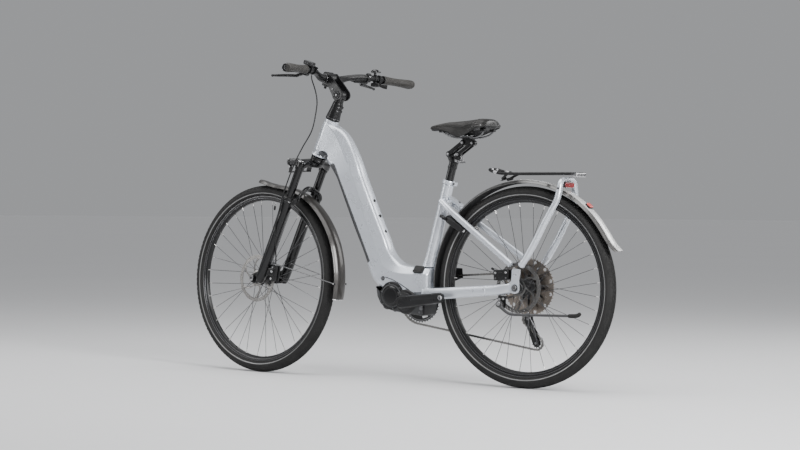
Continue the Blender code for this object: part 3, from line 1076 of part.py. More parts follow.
SADDLE = [
    # x, half width, top z, edge z, bottom z
    (0.4000, 0.0110, 0.9290, 0.9235, 0.9185),
    (0.3920, 0.0175, 0.9340, 0.9230, 0.9150),
    (0.3617, 0.0215, 0.9405, 0.9210, 0.9150),
    (0.3230, 0.0280, 0.9470, 0.9130, 0.9165),
    (0.2900, 0.0380, 0.9485, 0.9010, 0.9165),
    (0.2600, 0.0500, 0.9495, 0.8935, 0.9160),
    (0.2300, 0.0610, 0.9510, 0.8970, 0.9165),
    (0.2000, 0.0710, 0.9535, 0.9090, 0.9170),
    (0.1700, 0.0770, 0.9560, 0.9210, 0.9180),
    (0.1520, 0.0660, 0.9550, 0.9250, 0.9190),
    (0.1440, 0.0470, 0.9500, 0.9280, 0.9210),
]
verts, faces = [], []
for x, w, zt, ze, zb in SADDLE:
    ring_pts = []
    for j in range(9):
        t = math.pi * j / 8
        ring_pts.append((w * math.cos(t), ze + (zt - ze) * math.sin(t) ** 0.8))
    for yb in (-0.66 * w, 0.0, 0.66 * w):
        ring_pts.append((yb, zb))
    for y, z in ring_pts:
        verts.append((x, y, z))
k = 12
for i in range(len(SADDLE) - 1):
    for j in range(k):
        j2 = (j + 1) % k
        faces.append((i * k + j, i * k + j2, (i + 1) * k + j2, (i + 1) * k + j))
faces.append(tuple(range(k)))
faces.append(tuple((len(SADDLE) - 1) * k + j for j in range(k)))
saddle = raw(verts, faces)
finish(saddle, "saddle", RUBBER)
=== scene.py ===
import math

import bmesh
import bpy
import numpy as np
from mathutils import Matrix, Vector


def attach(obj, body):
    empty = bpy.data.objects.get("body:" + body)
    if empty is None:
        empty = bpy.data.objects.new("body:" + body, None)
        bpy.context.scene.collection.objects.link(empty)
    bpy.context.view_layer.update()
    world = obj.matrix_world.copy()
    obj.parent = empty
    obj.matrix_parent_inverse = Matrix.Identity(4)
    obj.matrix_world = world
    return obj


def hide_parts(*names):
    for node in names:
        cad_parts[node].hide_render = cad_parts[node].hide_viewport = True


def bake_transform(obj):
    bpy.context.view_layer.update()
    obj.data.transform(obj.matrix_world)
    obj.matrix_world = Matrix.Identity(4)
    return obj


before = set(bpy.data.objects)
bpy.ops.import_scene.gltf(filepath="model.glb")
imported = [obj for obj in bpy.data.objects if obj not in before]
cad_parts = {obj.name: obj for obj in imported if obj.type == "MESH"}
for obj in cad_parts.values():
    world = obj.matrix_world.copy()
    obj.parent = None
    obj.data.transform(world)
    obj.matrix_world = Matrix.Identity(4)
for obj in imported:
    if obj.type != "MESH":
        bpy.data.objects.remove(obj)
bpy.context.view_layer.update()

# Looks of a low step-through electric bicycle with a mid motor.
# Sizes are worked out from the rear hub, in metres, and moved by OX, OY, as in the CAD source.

OX, OY = -0.5771, -0.0019
TYRE_R, TYRE_HALF = 0.358, 0.0248
RIM_R, RIM_INNER_R, RIM_HALF = 0.3167, 0.3000, 0.0135
WHEELBASE = 1.170
BB = (0.478, 0.293)
HEAD_ANGLE = math.radians(66.5)
RAKE = 0.055
LEG_OFFSET, LEG_HALF = 0.0150, 0.0665
STEER_REST = math.radians(-6.5)
SEAT_ANGLE = math.radians(75.3)
SEAT_REF = (0.3385, 0.680)
CRANK = 0.174
CRANK_REST = math.radians(173.0)
CHAINLINE = 0.053
RING_R = 0.0810
COG_R, COG_Y = 0.0487, 0.045
ROTOR_R = 0.090
BAR_HALF = 0.350
SIN_H, COS_H = math.sin(HEAD_ANGLE), math.cos(HEAD_ANGLE)
TAN_H = math.tan(HEAD_ANGLE)
AXIS_X0 = WHEELBASE - RAKE / SIN_H
AXIS_DIR = np.array((-COS_H, 0.0, SIN_H))
AXIS_NORMAL = np.array((SIN_H, 0.0, COS_H))


def A(*p):
    return np.array(p, float)


def head_x(z):
    return AXIS_X0 - (z - TYRE_R) / TAN_H


def seat_x(z):
    return SEAT_REF[0] - (z - SEAT_REF[1]) / math.tan(SEAT_ANGLE)


SEAT_DIR = A(-math.cos(SEAT_ANGLE), 0.0, math.sin(SEAT_ANGLE))
HUB_R = A(0.0, 0.0, TYRE_R)
HUB_F = A(WHEELBASE, 0.0, TYRE_R)
HEAD_PT = A(head_x(0.88), 0.0, 0.88)
STEER = np.array(Matrix.Rotation(STEER_REST, 3, Vector(AXIS_DIR)))
SHIFT = A(OX, OY, 0.0)


def placed(v, steered):
    """Points of the bicycle's own layout in the row frame."""
    v = np.asarray(v, float)
    if steered:
        v = (v - HEAD_PT) @ STEER.T + HEAD_PT
    return v + SHIFT


def unit(v):
    v = np.asarray(v, float)
    return v / np.linalg.norm(v)


# ------------------------------------------------------------------ shapes
def smooth_path(points, count):
    """A smooth line through the points, in count even steps. Points may carry extra numbers."""
    p = np.array(points, float)
    q = np.vstack([2 * p[0] - p[1], p, 2 * p[-1] - p[-2]])
    out = []
    for i in range(1, len(q) - 2):
        for t in np.linspace(0, 1, 24, endpoint=False):
            a, b, c, d = q[i - 1], q[i], q[i + 1], q[i + 2]
            out.append(0.5 * (2 * b + (c - a) * t + (2 * a - 5 * b + 4 * c - d) * t**2 + (3 * b - a - 3 * c + d) * t**3))
    out.append(p[-1])
    out = np.array(out)
    s = np.concatenate([[0], np.cumsum(np.linalg.norm(np.diff(out[:, :3], axis=0), axis=1))])
    want = np.linspace(0, s[-1], count)
    return np.array([[np.interp(w, s, out[:, k]) for k in range(out.shape[1])] for w in want])


def oval(a, b, n=24, e=2.0):
    out = []
    for i in range(n):
        t = 2 * math.pi * (i + 0.5) / n
        c, s = math.cos(t), math.sin(t)
        out.append((a * math.copysign(abs(c) ** (2 / e), c), b * math.copysign(abs(s) ** (2 / e), s)))
    return out


def sweep(points, section, side=None, ends=None, cap=True, loop=False):
    """A skin along a path; section(i, row) gives 2-D points across it. side fixes the second axis."""
    pts = np.array([p[:3] for p in points], float)
    n = len(pts)
    if loop:
        tang = np.roll(pts, -1, axis=0) - np.roll(pts, 1, axis=0)
    else:
        tang = np.gradient(pts, axis=0)
    if ends:
        if ends[0] is not None:
            tang[0] = ends[0]
        if ends[1] is not None:
            tang[-1] = ends[1]
    tang = tang / np.linalg.norm(tang, axis=1)[:, None]
    verts, ref = [], None
    for i in range(n):
        t = tang[i]
        if side is not None:
            b = np.array(side, float) - np.dot(side, t) * t
        else:
            if ref is None:
                ref = A(0, 1, 0) if abs(t[1]) < 0.8 else A(0, 0, 1)
            b = ref - np.dot(ref, t) * t
        b = b / np.linalg.norm(b)
        ref = b
        a = np.cross(b, t)
        for u, v in section(i, points[i]):
            verts.append(pts[i] + a * u + b * v)
    k = len(verts) // n
    faces = []
    for i in range(n if loop else n - 1):
        i2 = (i + 1) % n
        for j in range(k):
            j2 = (j + 1) % k
            faces.append((i * k + j, i * k + j2, i2 * k + j2, i2 * k + j))
    if cap and not loop:
        faces.append(tuple(range(k))[::-1])
        faces.append(tuple((n - 1) * k + j for j in range(k)))
    return np.array(verts), faces


def tube(points, r, n=24, side=None, ends=None, b=None, e=2.0, tip=0.0, cap=True):
    """A round or oval rod; r and b are numbers or one per point, and tip rounds the rims of both ends."""
    points = np.array([p[:3] for p in points], float)
    r = np.array(r if hasattr(r, "__len__") else [r] * len(points), float)
    bb = r.copy() if b is None else np.array(b if hasattr(b, "__len__") else [b] * len(points), float)
    if tip:
        rows = [(points[i], r[i], bb[i]) for i in range(len(points))]
        out = []
        for which in (0, -1):
            p, ra, rb = rows[which]
            q = rows[1 if which == 0 else -2][0]
            d = unit(q - p)
            extra = []
            for s in (0.0, 0.14, 0.42):
                cut = tip - math.sqrt(max(tip**2 - (tip * (1 - s)) ** 2, 0))
                extra.append((p + d * tip * s, ra - cut, rb - cut))
            extra.append((p + d * tip, ra, rb))
            out.append(extra)
        rows = out[0] + rows[1:-1] + out[1][::-1]
        points, r, bb = np.array([x[0] for x in rows]), np.array([x[1] for x in rows]), np.array([x[2] for x in rows])
    return sweep(points, lambda i, row: oval(r[i], bb[i], n, e), side, ends, cap)


def rod(p, q, r, n=20, r2=None, tip=0.0):
    return tube([p, q], [r, r if r2 is None else r2], n, tip=tip)


def lathe(profile, centre, axis=(0, 1, 0), n=48, closed=False, start=0.0):
    """Turns (radius, height) points about an axis. A third number gives that ring's corners, as on a hexagon socket."""
    w = unit(axis)
    u = A(0, 0, 1) if abs(w[2]) < 0.9 else A(1, 0, 0)
    u = unit(u - w * u.dot(w))
    v = np.cross(w, u)
    centre = np.array(centre, float)
    verts, faces, rings = [], [], []
    for row in profile:
        r, h = row[0], row[1]
        if r < 1e-9:
            verts.append(centre + w * h)
            rings.append([len(verts) - 1])
            continue
        ring = []
        for i in range(n):
            t = 2 * math.pi * i / n + start
            rr = r
            if len(row) > 2:
                step = 2 * math.pi / row[2]
                rr = r * math.cos(step / 2) / math.cos((t % step) - step / 2)
            verts.append(centre + w * h + (u * math.cos(t) + v * math.sin(t)) * rr)
            ring.append(len(verts) - 1)
        rings.append(ring)
    for a, b in list(zip(rings, rings[1:])) + ([(rings[-1], rings[0])] if closed else []):
        for i in range(n):
            j = (i + 1) % n
            if len(a) == 1:
                faces.append((a[0], b[i], b[j]))
            elif len(b) == 1:
                faces.append((a[i], b[0], a[j]))
            else:
                faces.append((a[i], b[i], b[j], a[j]))
    if not closed:
        for ring in (rings[0], rings[-1]):
            if len(ring) > 1:
                faces.append(tuple(ring))
    return np.array(verts), faces


def fillet(poly, r, closed=True, k=3):
    """An outline with rounded corners; r is one radius or one per corner."""
    poly = [np.array(p[:2], float) for p in poly]
    m, out = len(poly), []
    rs = r if hasattr(r, "__len__") else [r] * m
    for i, p in enumerate(poly):
        if (not closed and i in (0, m - 1)) or rs[i] <= 0:
            out.append(tuple(p))
            continue
        a, b = poly[i - 1] - p, poly[(i + 1) % m] - p
        la, lb = np.linalg.norm(a), np.linalg.norm(b)
        if la < 1e-7 or lb < 1e-7:
            continue
        a, b = a / la, b / lb
        ang = math.acos(max(-1, min(1, float(a @ b))))
        if ang > math.radians(177):
            out.append(tuple(p))
            continue
        t = min(rs[i] / max(math.tan(ang / 2), 1e-6), 0.47 * la, 0.47 * lb)
        for s in np.linspace(0, 1, k + 1):
            out.append(tuple((1 - s) ** 2 * (p + a * t) + 2 * s * (1 - s) * p + s**2 * (p + b * t)))
    return out


def turned(profile, r, centre, axis=(0, 1, 0), n=48, closed=False, k=2):
    """A lathe piece whose profile has rounded corners."""
    return lathe(fillet(profile, r, closed, k), centre, axis, n, closed)


def prism(poly, w0, w1, b=0.0, origin=(0, 0, 0), u=(1, 0, 0), v=(0, 0, 1), w=(0, 1, 0)):
    """A flat outline with thickness along w, from w0 to w1, its rims rounded by b."""
    p = np.array([q[:2] for q in poly], float)
    if b > 0:
        e1, e2 = p - np.roll(p, 1, axis=0), np.roll(p, -1, axis=0) - p
        e1 /= np.maximum(np.linalg.norm(e1, axis=1), 1e-9)[:, None]
        e2 /= np.maximum(np.linalg.norm(e2, axis=1), 1e-9)[:, None]
        n1, n2 = np.stack([e1[:, 1], -e1[:, 0]], 1), np.stack([e2[:, 1], -e2[:, 0]], 1)
        nn = n1 + n2
        nn /= np.maximum((nn * nn).sum(1), 0.35)[:, None] / 2
        area = 0.5 * (p[:, 0] * np.roll(p[:, 1], -1) - p[:, 1] * np.roll(p[:, 0], -1)).sum()
        nn *= 1 if area > 0 else -1
        levels = [(0, b), (0.29 * b, 0.29 * b), (b, 0)]
        rows = [(w0 + t, p - nn * ins) for t, ins in levels] + [(w1 - t, p - nn * ins) for t, ins in reversed(levels)]
    else:
        rows = [(w0, p), (w1, p)]
    o, u, v, w = (np.array(x, float) for x in (origin, u, v, w))
    verts = np.vstack([o + q[:, :1] * u + q[:, 1:] * v + t * w for t, q in rows])
    k, m = len(p), len(rows)
    faces = [tuple(range(k))[::-1], tuple((m - 1) * k + j for j in range(k))]
    for i in range(m - 1):
        for j in range(k):
            j2 = (j + 1) % k
            faces.append((i * k + j, i * k + j2, (i + 1) * k + j2, (i + 1) * k + j))
    return verts, faces


def holed(outer, holes, w0, w1, origin=(0, 0, 0), u=(1, 0, 0), v=(0, 0, 1), w=(0, 1, 0)):
    """A flat plate with holes through it."""
    bm = bmesh.new()
    for loop in [outer] + list(holes):
        vs = [bm.verts.new((float(x), float(y), 0.0)) for x, y in loop]
        for i in range(len(vs)):
            bm.edges.new((vs[i], vs[(i + 1) % len(vs)]))
    bmesh.ops.triangle_fill(bm, use_beauty=True, use_dissolve=False, edges=bm.edges[:], normal=(0, 0, 1))
    new = bmesh.ops.extrude_face_region(bm, geom=bm.faces[:])["geom"]
    for g in new:
        if isinstance(g, bmesh.types.BMVert):
            g.co.z = 1.0
    bm.verts.ensure_lookup_table()
    flat = np.array([q.co for q in bm.verts], float)
    faces = [tuple(q.index for q in f.verts) for f in bm.faces]
    bm.verts.index_update()
    faces = [tuple(q.index for q in f.verts) for f in bm.faces]
    bm.free()
    o, u, v, w = (np.array(x, float) for x in (origin, u, v, w))
    t = w0 + (w1 - w0) * flat[:, 2:]
    return o + flat[:, :1] * u + flat[:, 1:2] * v + t * w, faces


def block(centre, size, u=(1, 0, 0), v=(0, 1, 0), b=0.0, seg=2):
    """A box with rounded edges, its first side along u and its second along v."""
    u = unit(u)
    v = np.array(v, float)
    v = unit(v - u * v.dot(u))
    w = np.cross(u, v)
    c = np.array(centre, float)
    verts = [c + u * sx * size[0] / 2 + v * sy * size[1] / 2 + w * sz * size[2] / 2 for sx in (-1, 1) for sy in (-1, 1) for sz in (-1, 1)]
    mesh = np.array(verts), [(0, 1, 3, 2), (4, 6, 7, 5), (0, 4, 5, 1), (2, 3, 7, 6), (0, 2, 6, 4), (1, 5, 7, 3)]
    return bevelled(mesh, b, seg, 20) if b else mesh


def bevelled(mesh, width, seg=2, angle=35):
    verts, faces = mesh
    bm = bmesh.new()
    vs = [bm.verts.new(p) for p in verts]
    for f in faces:
        try:
            bm.faces.new([vs[i] for i in f])
        except ValueError:
            pass
    bmesh.ops.recalc_face_normals(bm, faces=bm.faces[:])
    edges = [e for e in bm.edges if len(e.link_faces) == 2 and e.calc_face_angle(0) > math.radians(angle)]
    bmesh.ops.bevel(bm, geom=edges, offset=width, segments=seg, profile=0.5, affect="EDGES", clamp_overlap=True)
    bm.verts.index_update()
    out = np.array([q.co for q in bm.verts], float), [tuple(q.index for q in f.verts) for f in bm.faces]
    bm.free()
    return out


def merge(*meshes):
    verts, faces, k = [], [], 0
    for v, f in meshes:
        verts.append(np.asarray(v))
        faces += [tuple(i + k for i in q) for q in f]
        k += len(v)
    return np.vstack(verts), faces


def ball(c, r, n=16, squash=(1, 1, 1)):
    v, f = lathe([(r * math.sin(t) if 0 < i < n // 2 else 0.0, -r * math.cos(t)) for i, t in enumerate(np.linspace(0, math.pi, n // 2 + 1))], (0, 0, 0), (0, 0, 1), n)
    return v * np.array(squash) + np.array(c, float), f


def bolt(c, axis, r=0.004, h=0.004, n=24):
    """A cap screw with a hexagon socket; c is where its head sits."""
    s = r * 0.52
    return lathe([(0.0, -0.001), (r, -0.001), (r, 0.78 * h), (0.94 * r, 0.93 * h), (0.84 * r, h), (s * 1.25, h), (s * 1.12, 0.97 * h, 6), (s * 1.1, 0.35 * h, 6), (0.0, 0.33 * h)], c, axis, n)


def ring_of(c, axis, big, small, n=48, k=10):
    """A round ring."""
    return lathe([(big + small * math.cos(t), small * math.sin(t)) for t in np.linspace(0, 2 * math.pi, k, endpoint=False)], c, axis, n, closed=True)


def around(mesh, c, axis, angles):
    """Copies of a mesh turned about an axis."""
    v, f = mesh
    c = Vector([float(x) for x in c])
    out = []
    for a in angles:
        m = np.array(Matrix.Translation(c) @ Matrix.Rotation(a, 4, Vector([float(x) for x in axis])) @ Matrix.Translation(-c))
        out.append((v @ m[:3, :3].T + m[:3, 3], f))
    return merge(*out)


def arc(cx, cz, r, a0, a1, n):
    return [(cx + r * math.cos(math.radians(a)), cz + r * math.sin(math.radians(a))) for a in np.linspace(a0, a1, n)]


def circle(cx, cz, r, n=16, start=0.0):
    return [(cx + r * math.cos(2 * math.pi * i / n + start), cz + r * math.sin(2 * math.pi * i / n + start)) for i in range(n)]


def capsule2(p, q, r0, r1, n=12):
    a = math.degrees(math.atan2(q[1] - p[1], q[0] - p[0]))
    return arc(p[0], p[1], r0, a + 90, a + 270, n) + arc(q[0], q[1], r1, a - 90, a + 90, n)


def mirror_y(mesh):
    v, f = mesh
    v = np.array(v)
    v[:, 1] *= -1
    return v, f


class Piece:
    """Collects shapes in the bicycle's layout and makes one object of them."""

    def __init__(self, name, body, steered=False):
        self.name, self.body, self.steered = name, body, steered
        self.v, self.f, self.mi, self.mats, self.count = [], [], [], [], 0

    def add(self, mesh, mat, bevel=0.0, seg=2, angle=35):
        v, f = bevelled(mesh, bevel, seg, angle) if bevel else mesh
        if mat not in self.mats:
            self.mats.append(mat)
        k = self.mats.index(mat)
        self.v.append(np.asarray(v, float))
        self.f += [tuple(i + self.count for i in q) for q in f]
        self.mi += [k] * len(f)
        self.count += len(v)
        return self

    def make(self, replaces=(), angle=38, weighted=True, sub=0):
        me = bpy.data.meshes.new(self.name)
        me.from_pydata(placed(np.vstack(self.v), self.steered).tolist(), [], self.f)
        me.polygons.foreach_set("material_index", self.mi)
        for m in self.mats:
            me.materials.append(m)
        me.validate()
        bm = bmesh.new()
        bm.from_mesh(me)
        bmesh.ops.recalc_face_normals(bm, faces=bm.faces[:])
        bm.to_mesh(me)
        bm.free()
        me.shade_smooth()
        me.set_sharp_from_angle(angle=math.radians(angle))
        ob = bpy.data.objects.new(self.name, me)
        bpy.context.scene.collection.objects.link(ob)
        if sub:
            s = ob.modifiers.new("round", "SUBSURF")
            s.levels = s.render_levels = sub
        if weighted:
            w = ob.modifiers.new("flats", "WEIGHTED_NORMAL")
            w.keep_sharp = True
        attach(ob, self.body)
        if replaces:
            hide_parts(*replaces)
        return ob


# ------------------------------------------------------------------ materials
class Look:
    """One Principled material with its colour, roughness and bump from noise in object space."""

    def __init__(self, name, rgb, rough, metallic=0.0, **sockets):
        self.m = bpy.data.materials.new(name)
        self.m.use_nodes = True
        self.t = self.m.node_tree
        self.b = self.t.nodes["Principled BSDF"]
        self.rgb, self.rough = rgb, rough
        self.b.inputs["Base Color"].default_value = (*rgb, 1)
        self.b.inputs["Roughness"].default_value = rough
        self.b.inputs["Metallic"].default_value = metallic
        for k, v in sockets.items():
            self.b.inputs[k.replace("_", " ")].default_value = v
        self.co = self.t.nodes.new("ShaderNodeTexCoord").outputs["Object"]
        self.height = None

    def put(self, value, socket):
        if isinstance(value, bpy.types.NodeSocket):
            self.t.links.new(value, socket)
        elif hasattr(value, "__len__") and len(value) == 3 and hasattr(socket.default_value, "__len__") and len(socket.default_value) == 4:
            socket.default_value = (*value, 1)
        else:
            socket.default_value = value

    def noise(self, scale, detail=2.0, rough=0.5, vec=None, stretch=None):
        n = self.t.nodes.new("ShaderNodeTexNoise")
        n.inputs["Scale"].default_value = scale
        n.inputs["Detail"].default_value = detail
        n.inputs["Roughness"].default_value = rough
        src = vec if vec is not None else self.co
        if stretch:
            src = self.vec("MULTIPLY", src, stretch)
        self.t.links.new(src, n.inputs["Vector"])
        return n.outputs["Fac"]

    def cells(self, scale, feature="F1", out="Distance", rand=1.0, stretch=None):
        n = self.t.nodes.new("ShaderNodeTexVoronoi")
        n.feature = feature
        n.inputs["Scale"].default_value = scale
        n.inputs["Randomness"].default_value = rand
        self.t.links.new(self.vec("MULTIPLY", self.co, stretch) if stretch else self.co, n.inputs["Vector"])
        return n.outputs[out]

    def vec(self, op, a, b=(0, 0, 0)):
        n = self.t.nodes.new("ShaderNodeVectorMath")
        n.operation = op
        self.put(a, n.inputs[0])
        self.put(b, n.inputs[1])
        return n.outputs["Value"] if op in ("DISTANCE", "LENGTH", "DOT_PRODUCT") else n.outputs["Vector"]

    def math(self, op, a, b=0.0):
        n = self.t.nodes.new("ShaderNodeMath")
        n.operation = op
        self.put(a, n.inputs[0])
        self.put(b, n.inputs[1])
        return n.outputs[0]

    def ranged(self, value, a, b, c, d):
        n = self.t.nodes.new("ShaderNodeMapRange")
        self.put(value, n.inputs["Value"])
        for k, x in zip(("From Min", "From Max", "To Min", "To Max"), (a, b, c, d)):
            n.inputs[k].default_value = x
        return n.outputs["Result"]

    def mix(self, fac, a, b):
        n = self.t.nodes.new("ShaderNodeMix")
        n.data_type = "RGBA"
        self.put(fac, n.inputs[0])
        self.put(a, n.inputs[6])
        self.put(b, n.inputs[7])
        return n.outputs[2]

    def colour(self, value):
        self.put(value, self.b.inputs["Base Color"])

    def blotchy(self, scale=9.0, dark=0.86, light=1.1, fine=160.0):
        """Slow and fine changes of brightness."""
        low = tuple(c * dark for c in self.rgb)
        high = tuple(min(c * light, 1) for c in self.rgb)
        slow = self.ranged(self.noise(scale, 3), 0.3, 0.7, 0, 1)
        quick = self.ranged(self.noise(fine, 2), 0.3, 0.7, 0, 1)
        f = self.math("ADD", self.math("MULTIPLY", slow, 0.6), self.math("MULTIPLY", quick, 0.4))
        c = self.mix(f, low, high)
        self.colour(c)
        return c

    def rough_by(self, scale=30.0, amount=0.06, detail=3):
        self.put(self.ranged(self.noise(scale, detail), 0.3, 0.7, max(self.rough - amount, 0.02), self.rough + amount), self.b.inputs["Roughness"])

    def bump(self, height, strength=0.2, distance=0.0003):
        n = self.t.nodes.new("ShaderNodeBump")
        n.inputs["Strength"].default_value = strength
        n.inputs["Distance"].default_value = distance
        self.put(height, n.inputs["Height"])
        if self.height is not None:
            self.t.links.new(self.height, n.inputs["Normal"])
        self.height = n.outputs["Normal"]
        self.t.links.new(self.height, self.b.inputs["Normal"])


def flaked(name, rgb, rough, metallic, coat, flake=2600.0, amount=0.05, **more):
    """Metallic lacquer: fine flakes under a clear coat with a faint orange-peel surface."""
    k = Look(name, rgb, rough, metallic, Coat_Weight=coat, Coat_Roughness=0.06, **more)
    grain = k.cells(flake, out="Color")
    g = k.vec("DOT_PRODUCT", grain, (0.33, 0.33, 0.33))
    slow = k.noise(3.0, 2)
    f = k.math("ADD", k.math("MULTIPLY", g, 0.75), k.math("MULTIPLY", slow, 0.25))
    k.colour(k.mix(f, tuple(c * (1 - amount) for c in rgb), tuple(min(c * (1 + amount), 1) for c in rgb)))
    k.rough_by(22.0, 0.03)
    k.bump(k.noise(420.0, 1), 0.014, 0.0002)
    return k.m


def satin(name, rgb, rough, metallic=0.0, grain=1500.0, bump=0.06, **more):
    """Anodised or powder-coated metal with a very fine grain."""
    k = Look(name, rgb, rough, metallic, **more)
    k.blotchy(14.0, 0.82, 1.16, 420.0)
    k.rough_by(40.0, 0.06)
    k.bump(k.noise(grain, 2), bump, 0.0002)
    return k.m


def moulded(name, rgb, rough, grain=1100.0, bump=0.22, **more):
    """Moulded plastic or rubber with a pebbled skin."""
    k = Look(name, rgb, rough, 0.0, **more)
    k.blotchy(11.0, 0.84, 1.14, 300.0)
    k.rough_by(26.0, 0.07)
    k.bump(k.cells(grain), bump, 0.00025)
    return k.m


def brushed(name, rgb, rough, centre=None, lines=2400.0, metallic=1.0, bump=0.08):
    """Ground metal: rings about a hub when centre is given, or plain fine grain."""
    k = Look(name, rgb, rough, metallic)
    if centre is not None:
        far = k.vec("DISTANCE", k.co, tuple(float(x) for x in centre))
        n = k.t.nodes.new("ShaderNodeTexNoise")
        n.noise_dimensions = "1D"
        n.inputs["Scale"].default_value = lines
        n.inputs["Detail"].default_value = 2
        k.t.links.new(far, n.inputs["W"])
        stripe = n.outputs["Fac"]
    else:
        stripe = k.noise(lines / 2, 3)
    slow = k.noise(30.0, 3)
    f = k.math("ADD", k.math("MULTIPLY", stripe, 0.5), k.math("MULTIPLY", slow, 0.5))
    k.colour(k.mix(f, tuple(c * 0.78 for c in rgb), tuple(min(c * 1.15, 1) for c in rgb)))
    k.put(k.ranged(f, 0.3, 0.7, rough - 0.06, rough + 0.09), k.b.inputs["Roughness"])
    k.bump(stripe, bump, 0.00015)
    return k.m


SILVER = flaked("pearl_silver", (0.56, 0.59, 0.64), 0.29, 0.55, 0.85, amount=0.04)
# dark silver for the hollow under the head and the pressed line over the motor: painted shade
SILVER_PAINTED_SHADE = flaked("pearl_silver_painted_shade", (0.062, 0.065, 0.072), 0.42, 0.3, 0.3)
SILVER_IN = flaked("pearl_silver_inside", (0.42, 0.44, 0.48), 0.45, 0.3, 0.3)
GUARD_F = flaked("mudguard_grey_front", (0.040, 0.0375, 0.0355), 0.32, 0.45, 0.3, amount=0.06)
# near-white grey for the rear guard's top, standing for its bright reflection: painted highlight
GUARD_R_PAINTED_HIGHLIGHT = flaked("mudguard_rear_painted_highlight", (0.78, 0.78, 0.775), 0.26, 0.5, 0.5, amount=0.02)
GUARD_B = flaked("mudguard_grey_edge", (0.095, 0.093, 0.091), 0.32, 0.6, 0.3, amount=0.05)
GUARD_IN = moulded("mudguard_inside", (0.012, 0.012, 0.0125), 0.7, Specular_IOR_Level=0.3)
BLACK_MET = satin("black_anodised", (0.0055, 0.0055, 0.006), 0.32, 0.0, Specular_IOR_Level=0.36)
BLACK_GLOSS = satin("black_lacquer", (0.004, 0.004, 0.0044), 0.20, 0.0, 900.0, 0.03, Coat_Weight=0.25, Coat_Roughness=0.08, Specular_IOR_Level=0.3)
BLACK_SATIN = satin("black_powder_coat", (0.0065, 0.0065, 0.007), 0.40, 0.0, 1300.0, 0.12, Specular_IOR_Level=0.32)
PLASTIC = moulded("black_moulded_plastic", (0.0075, 0.0075, 0.008), 0.46, Specular_IOR_Level=0.32)
PLASTIC_GREY = moulded("grey_moulded_plastic", (0.045, 0.046, 0.048), 0.42, 1300.0, 0.14, Specular_IOR_Level=0.4)
BATTERY = moulded("battery_cover_grey", (0.040, 0.041, 0.044), 0.38, 1500.0, 0.12)
RUBBER = moulded("soft_rubber", (0.010, 0.0098, 0.0095), 0.70, 800.0, 0.25, Specular_IOR_Level=0.3)
GRIP = moulded("grip_rubber", (0.026, 0.0245, 0.0225), 0.58, 1000.0, 0.4, Specular_IOR_Level=0.4)
STEEL = brushed("bright_steel", (0.56, 0.56, 0.57), 0.26)
STEEL_DARK = brushed("dark_steel", (0.20, 0.20, 0.205), 0.34)
SPOKE = brushed("spoke_steel", (0.12, 0.12, 0.125), 0.26, bump=0.03)
NIPPLE = brushed("nipple_brass_plated", (0.66, 0.65, 0.64), 0.30, bump=0.03)
CHAIN = brushed("chain_plate_steel", (0.22, 0.215, 0.205), 0.33)
BRONZE = brushed("bronze_coated_steel", (0.28, 0.243, 0.21), 0.28, placed(HUB_R, False), 2600.0)
# the rear disc is a darker copy of the front disc's steel: painted shade
DISC_R_PAINTED_SHADE = brushed("disc_steel_rear_painted_shade", (0.15, 0.147, 0.143), 0.30, placed(HUB_R, False), 3000.0)
DISC_F = brushed("disc_steel_front", (0.24, 0.232, 0.224), 0.27, placed(HUB_F, True), 3000.0)
RIM_EDGE = brushed("rim_edge", (0.20, 0.20, 0.21), 0.3)
STAND_GREY = satin("stand_grey", (0.060, 0.060, 0.062), 0.34, 0.5)
REFLEX = satin("reflective_band", (0.20, 0.20, 0.20), 0.38, 0.3, 2000.0, 0.15)
CABLE = moulded("hose_skin", (0.008, 0.008, 0.0085), 0.40, 1600.0, 0.08, Specular_IOR_Level=0.35)

k = Look("lens_red", (0.30, 0.008, 0.012), 0.10, 0.0, Coat_Weight=1.0, Coat_Roughness=0.04, Specular_IOR_Level=0.6)
k.colour(k.mix(k.ranged(k.cells(420.0, rand=0.15), 0.2, 0.6, 0, 1), (0.07, 0.002, 0.003), (0.21, 0.007, 0.009)))
k.rough_by(60.0, 0.03)
k.bump(k.cells(420.0, rand=0.15), 0.5, 0.0006)
LENS_RED = k.m
k = Look("reflector_red", (0.62, 0.05, 0.05), 0.14, 0.0, Coat_Weight=1.0, Coat_Roughness=0.05)
k.colour(k.mix(k.ranged(k.cells(520.0, rand=0.0), 0.2, 0.6, 0, 1), (0.30, 0.015, 0.015), (0.62, 0.08, 0.07)))
k.rough_by(60.0, 0.03)
k.bump(k.cells(520.0, rand=0.0), 0.6, 0.0006)
REFLECTOR = k.m
k = Look("lens_clear", (0.70, 0.72, 0.74), 0.08, 0.0, Coat_Weight=1.0, Coat_Roughness=0.03)
k.colour(k.mix(k.ranged(k.cells(300.0, rand=0.1), 0.1, 0.7, 0, 1), (0.45, 0.47, 0.5), (0.86, 0.87, 0.88)))
k.rough_by(50.0, 0.03)
k.bump(k.cells(300.0, rand=0.1), 0.4, 0.0008)
LENS_CLEAR = k.m
k = Look("screen_glass", (0.006, 0.007, 0.009), 0.08, 0.0, Coat_Weight=1.0, Coat_Roughness=0.02)
k.blotchy(30.0, 0.8, 1.3, 200.0)
k.rough_by(70.0, 0.03)
GLASS = k.m

# tyre: fine moulding lines round the sidewall, dusty tread
def tyre_look(name, centre):
    k = Look(name, (0.0105, 0.0102, 0.010), 0.70, 0.0, Specular_IOR_Level=0.34)
    k.blotchy(16.0, 0.78, 1.2, 240.0)
    k.rough_by(20.0, 0.08)
    far = k.vec("DISTANCE", k.co, tuple(float(x) for x in centre))
    wave = k.math("SINE", k.math("MULTIPLY", far, 3600.0))
    k.bump(wave, 0.10, 0.0002)
    k.bump(k.noise(900.0, 3), 0.22, 0.0003)
    return k.m


TYRE_LOOK_R = tyre_look("tyre_rubber_rear", placed(HUB_R, False))
TYRE_LOOK_F = tyre_look("tyre_rubber_front", placed(HUB_F, True))

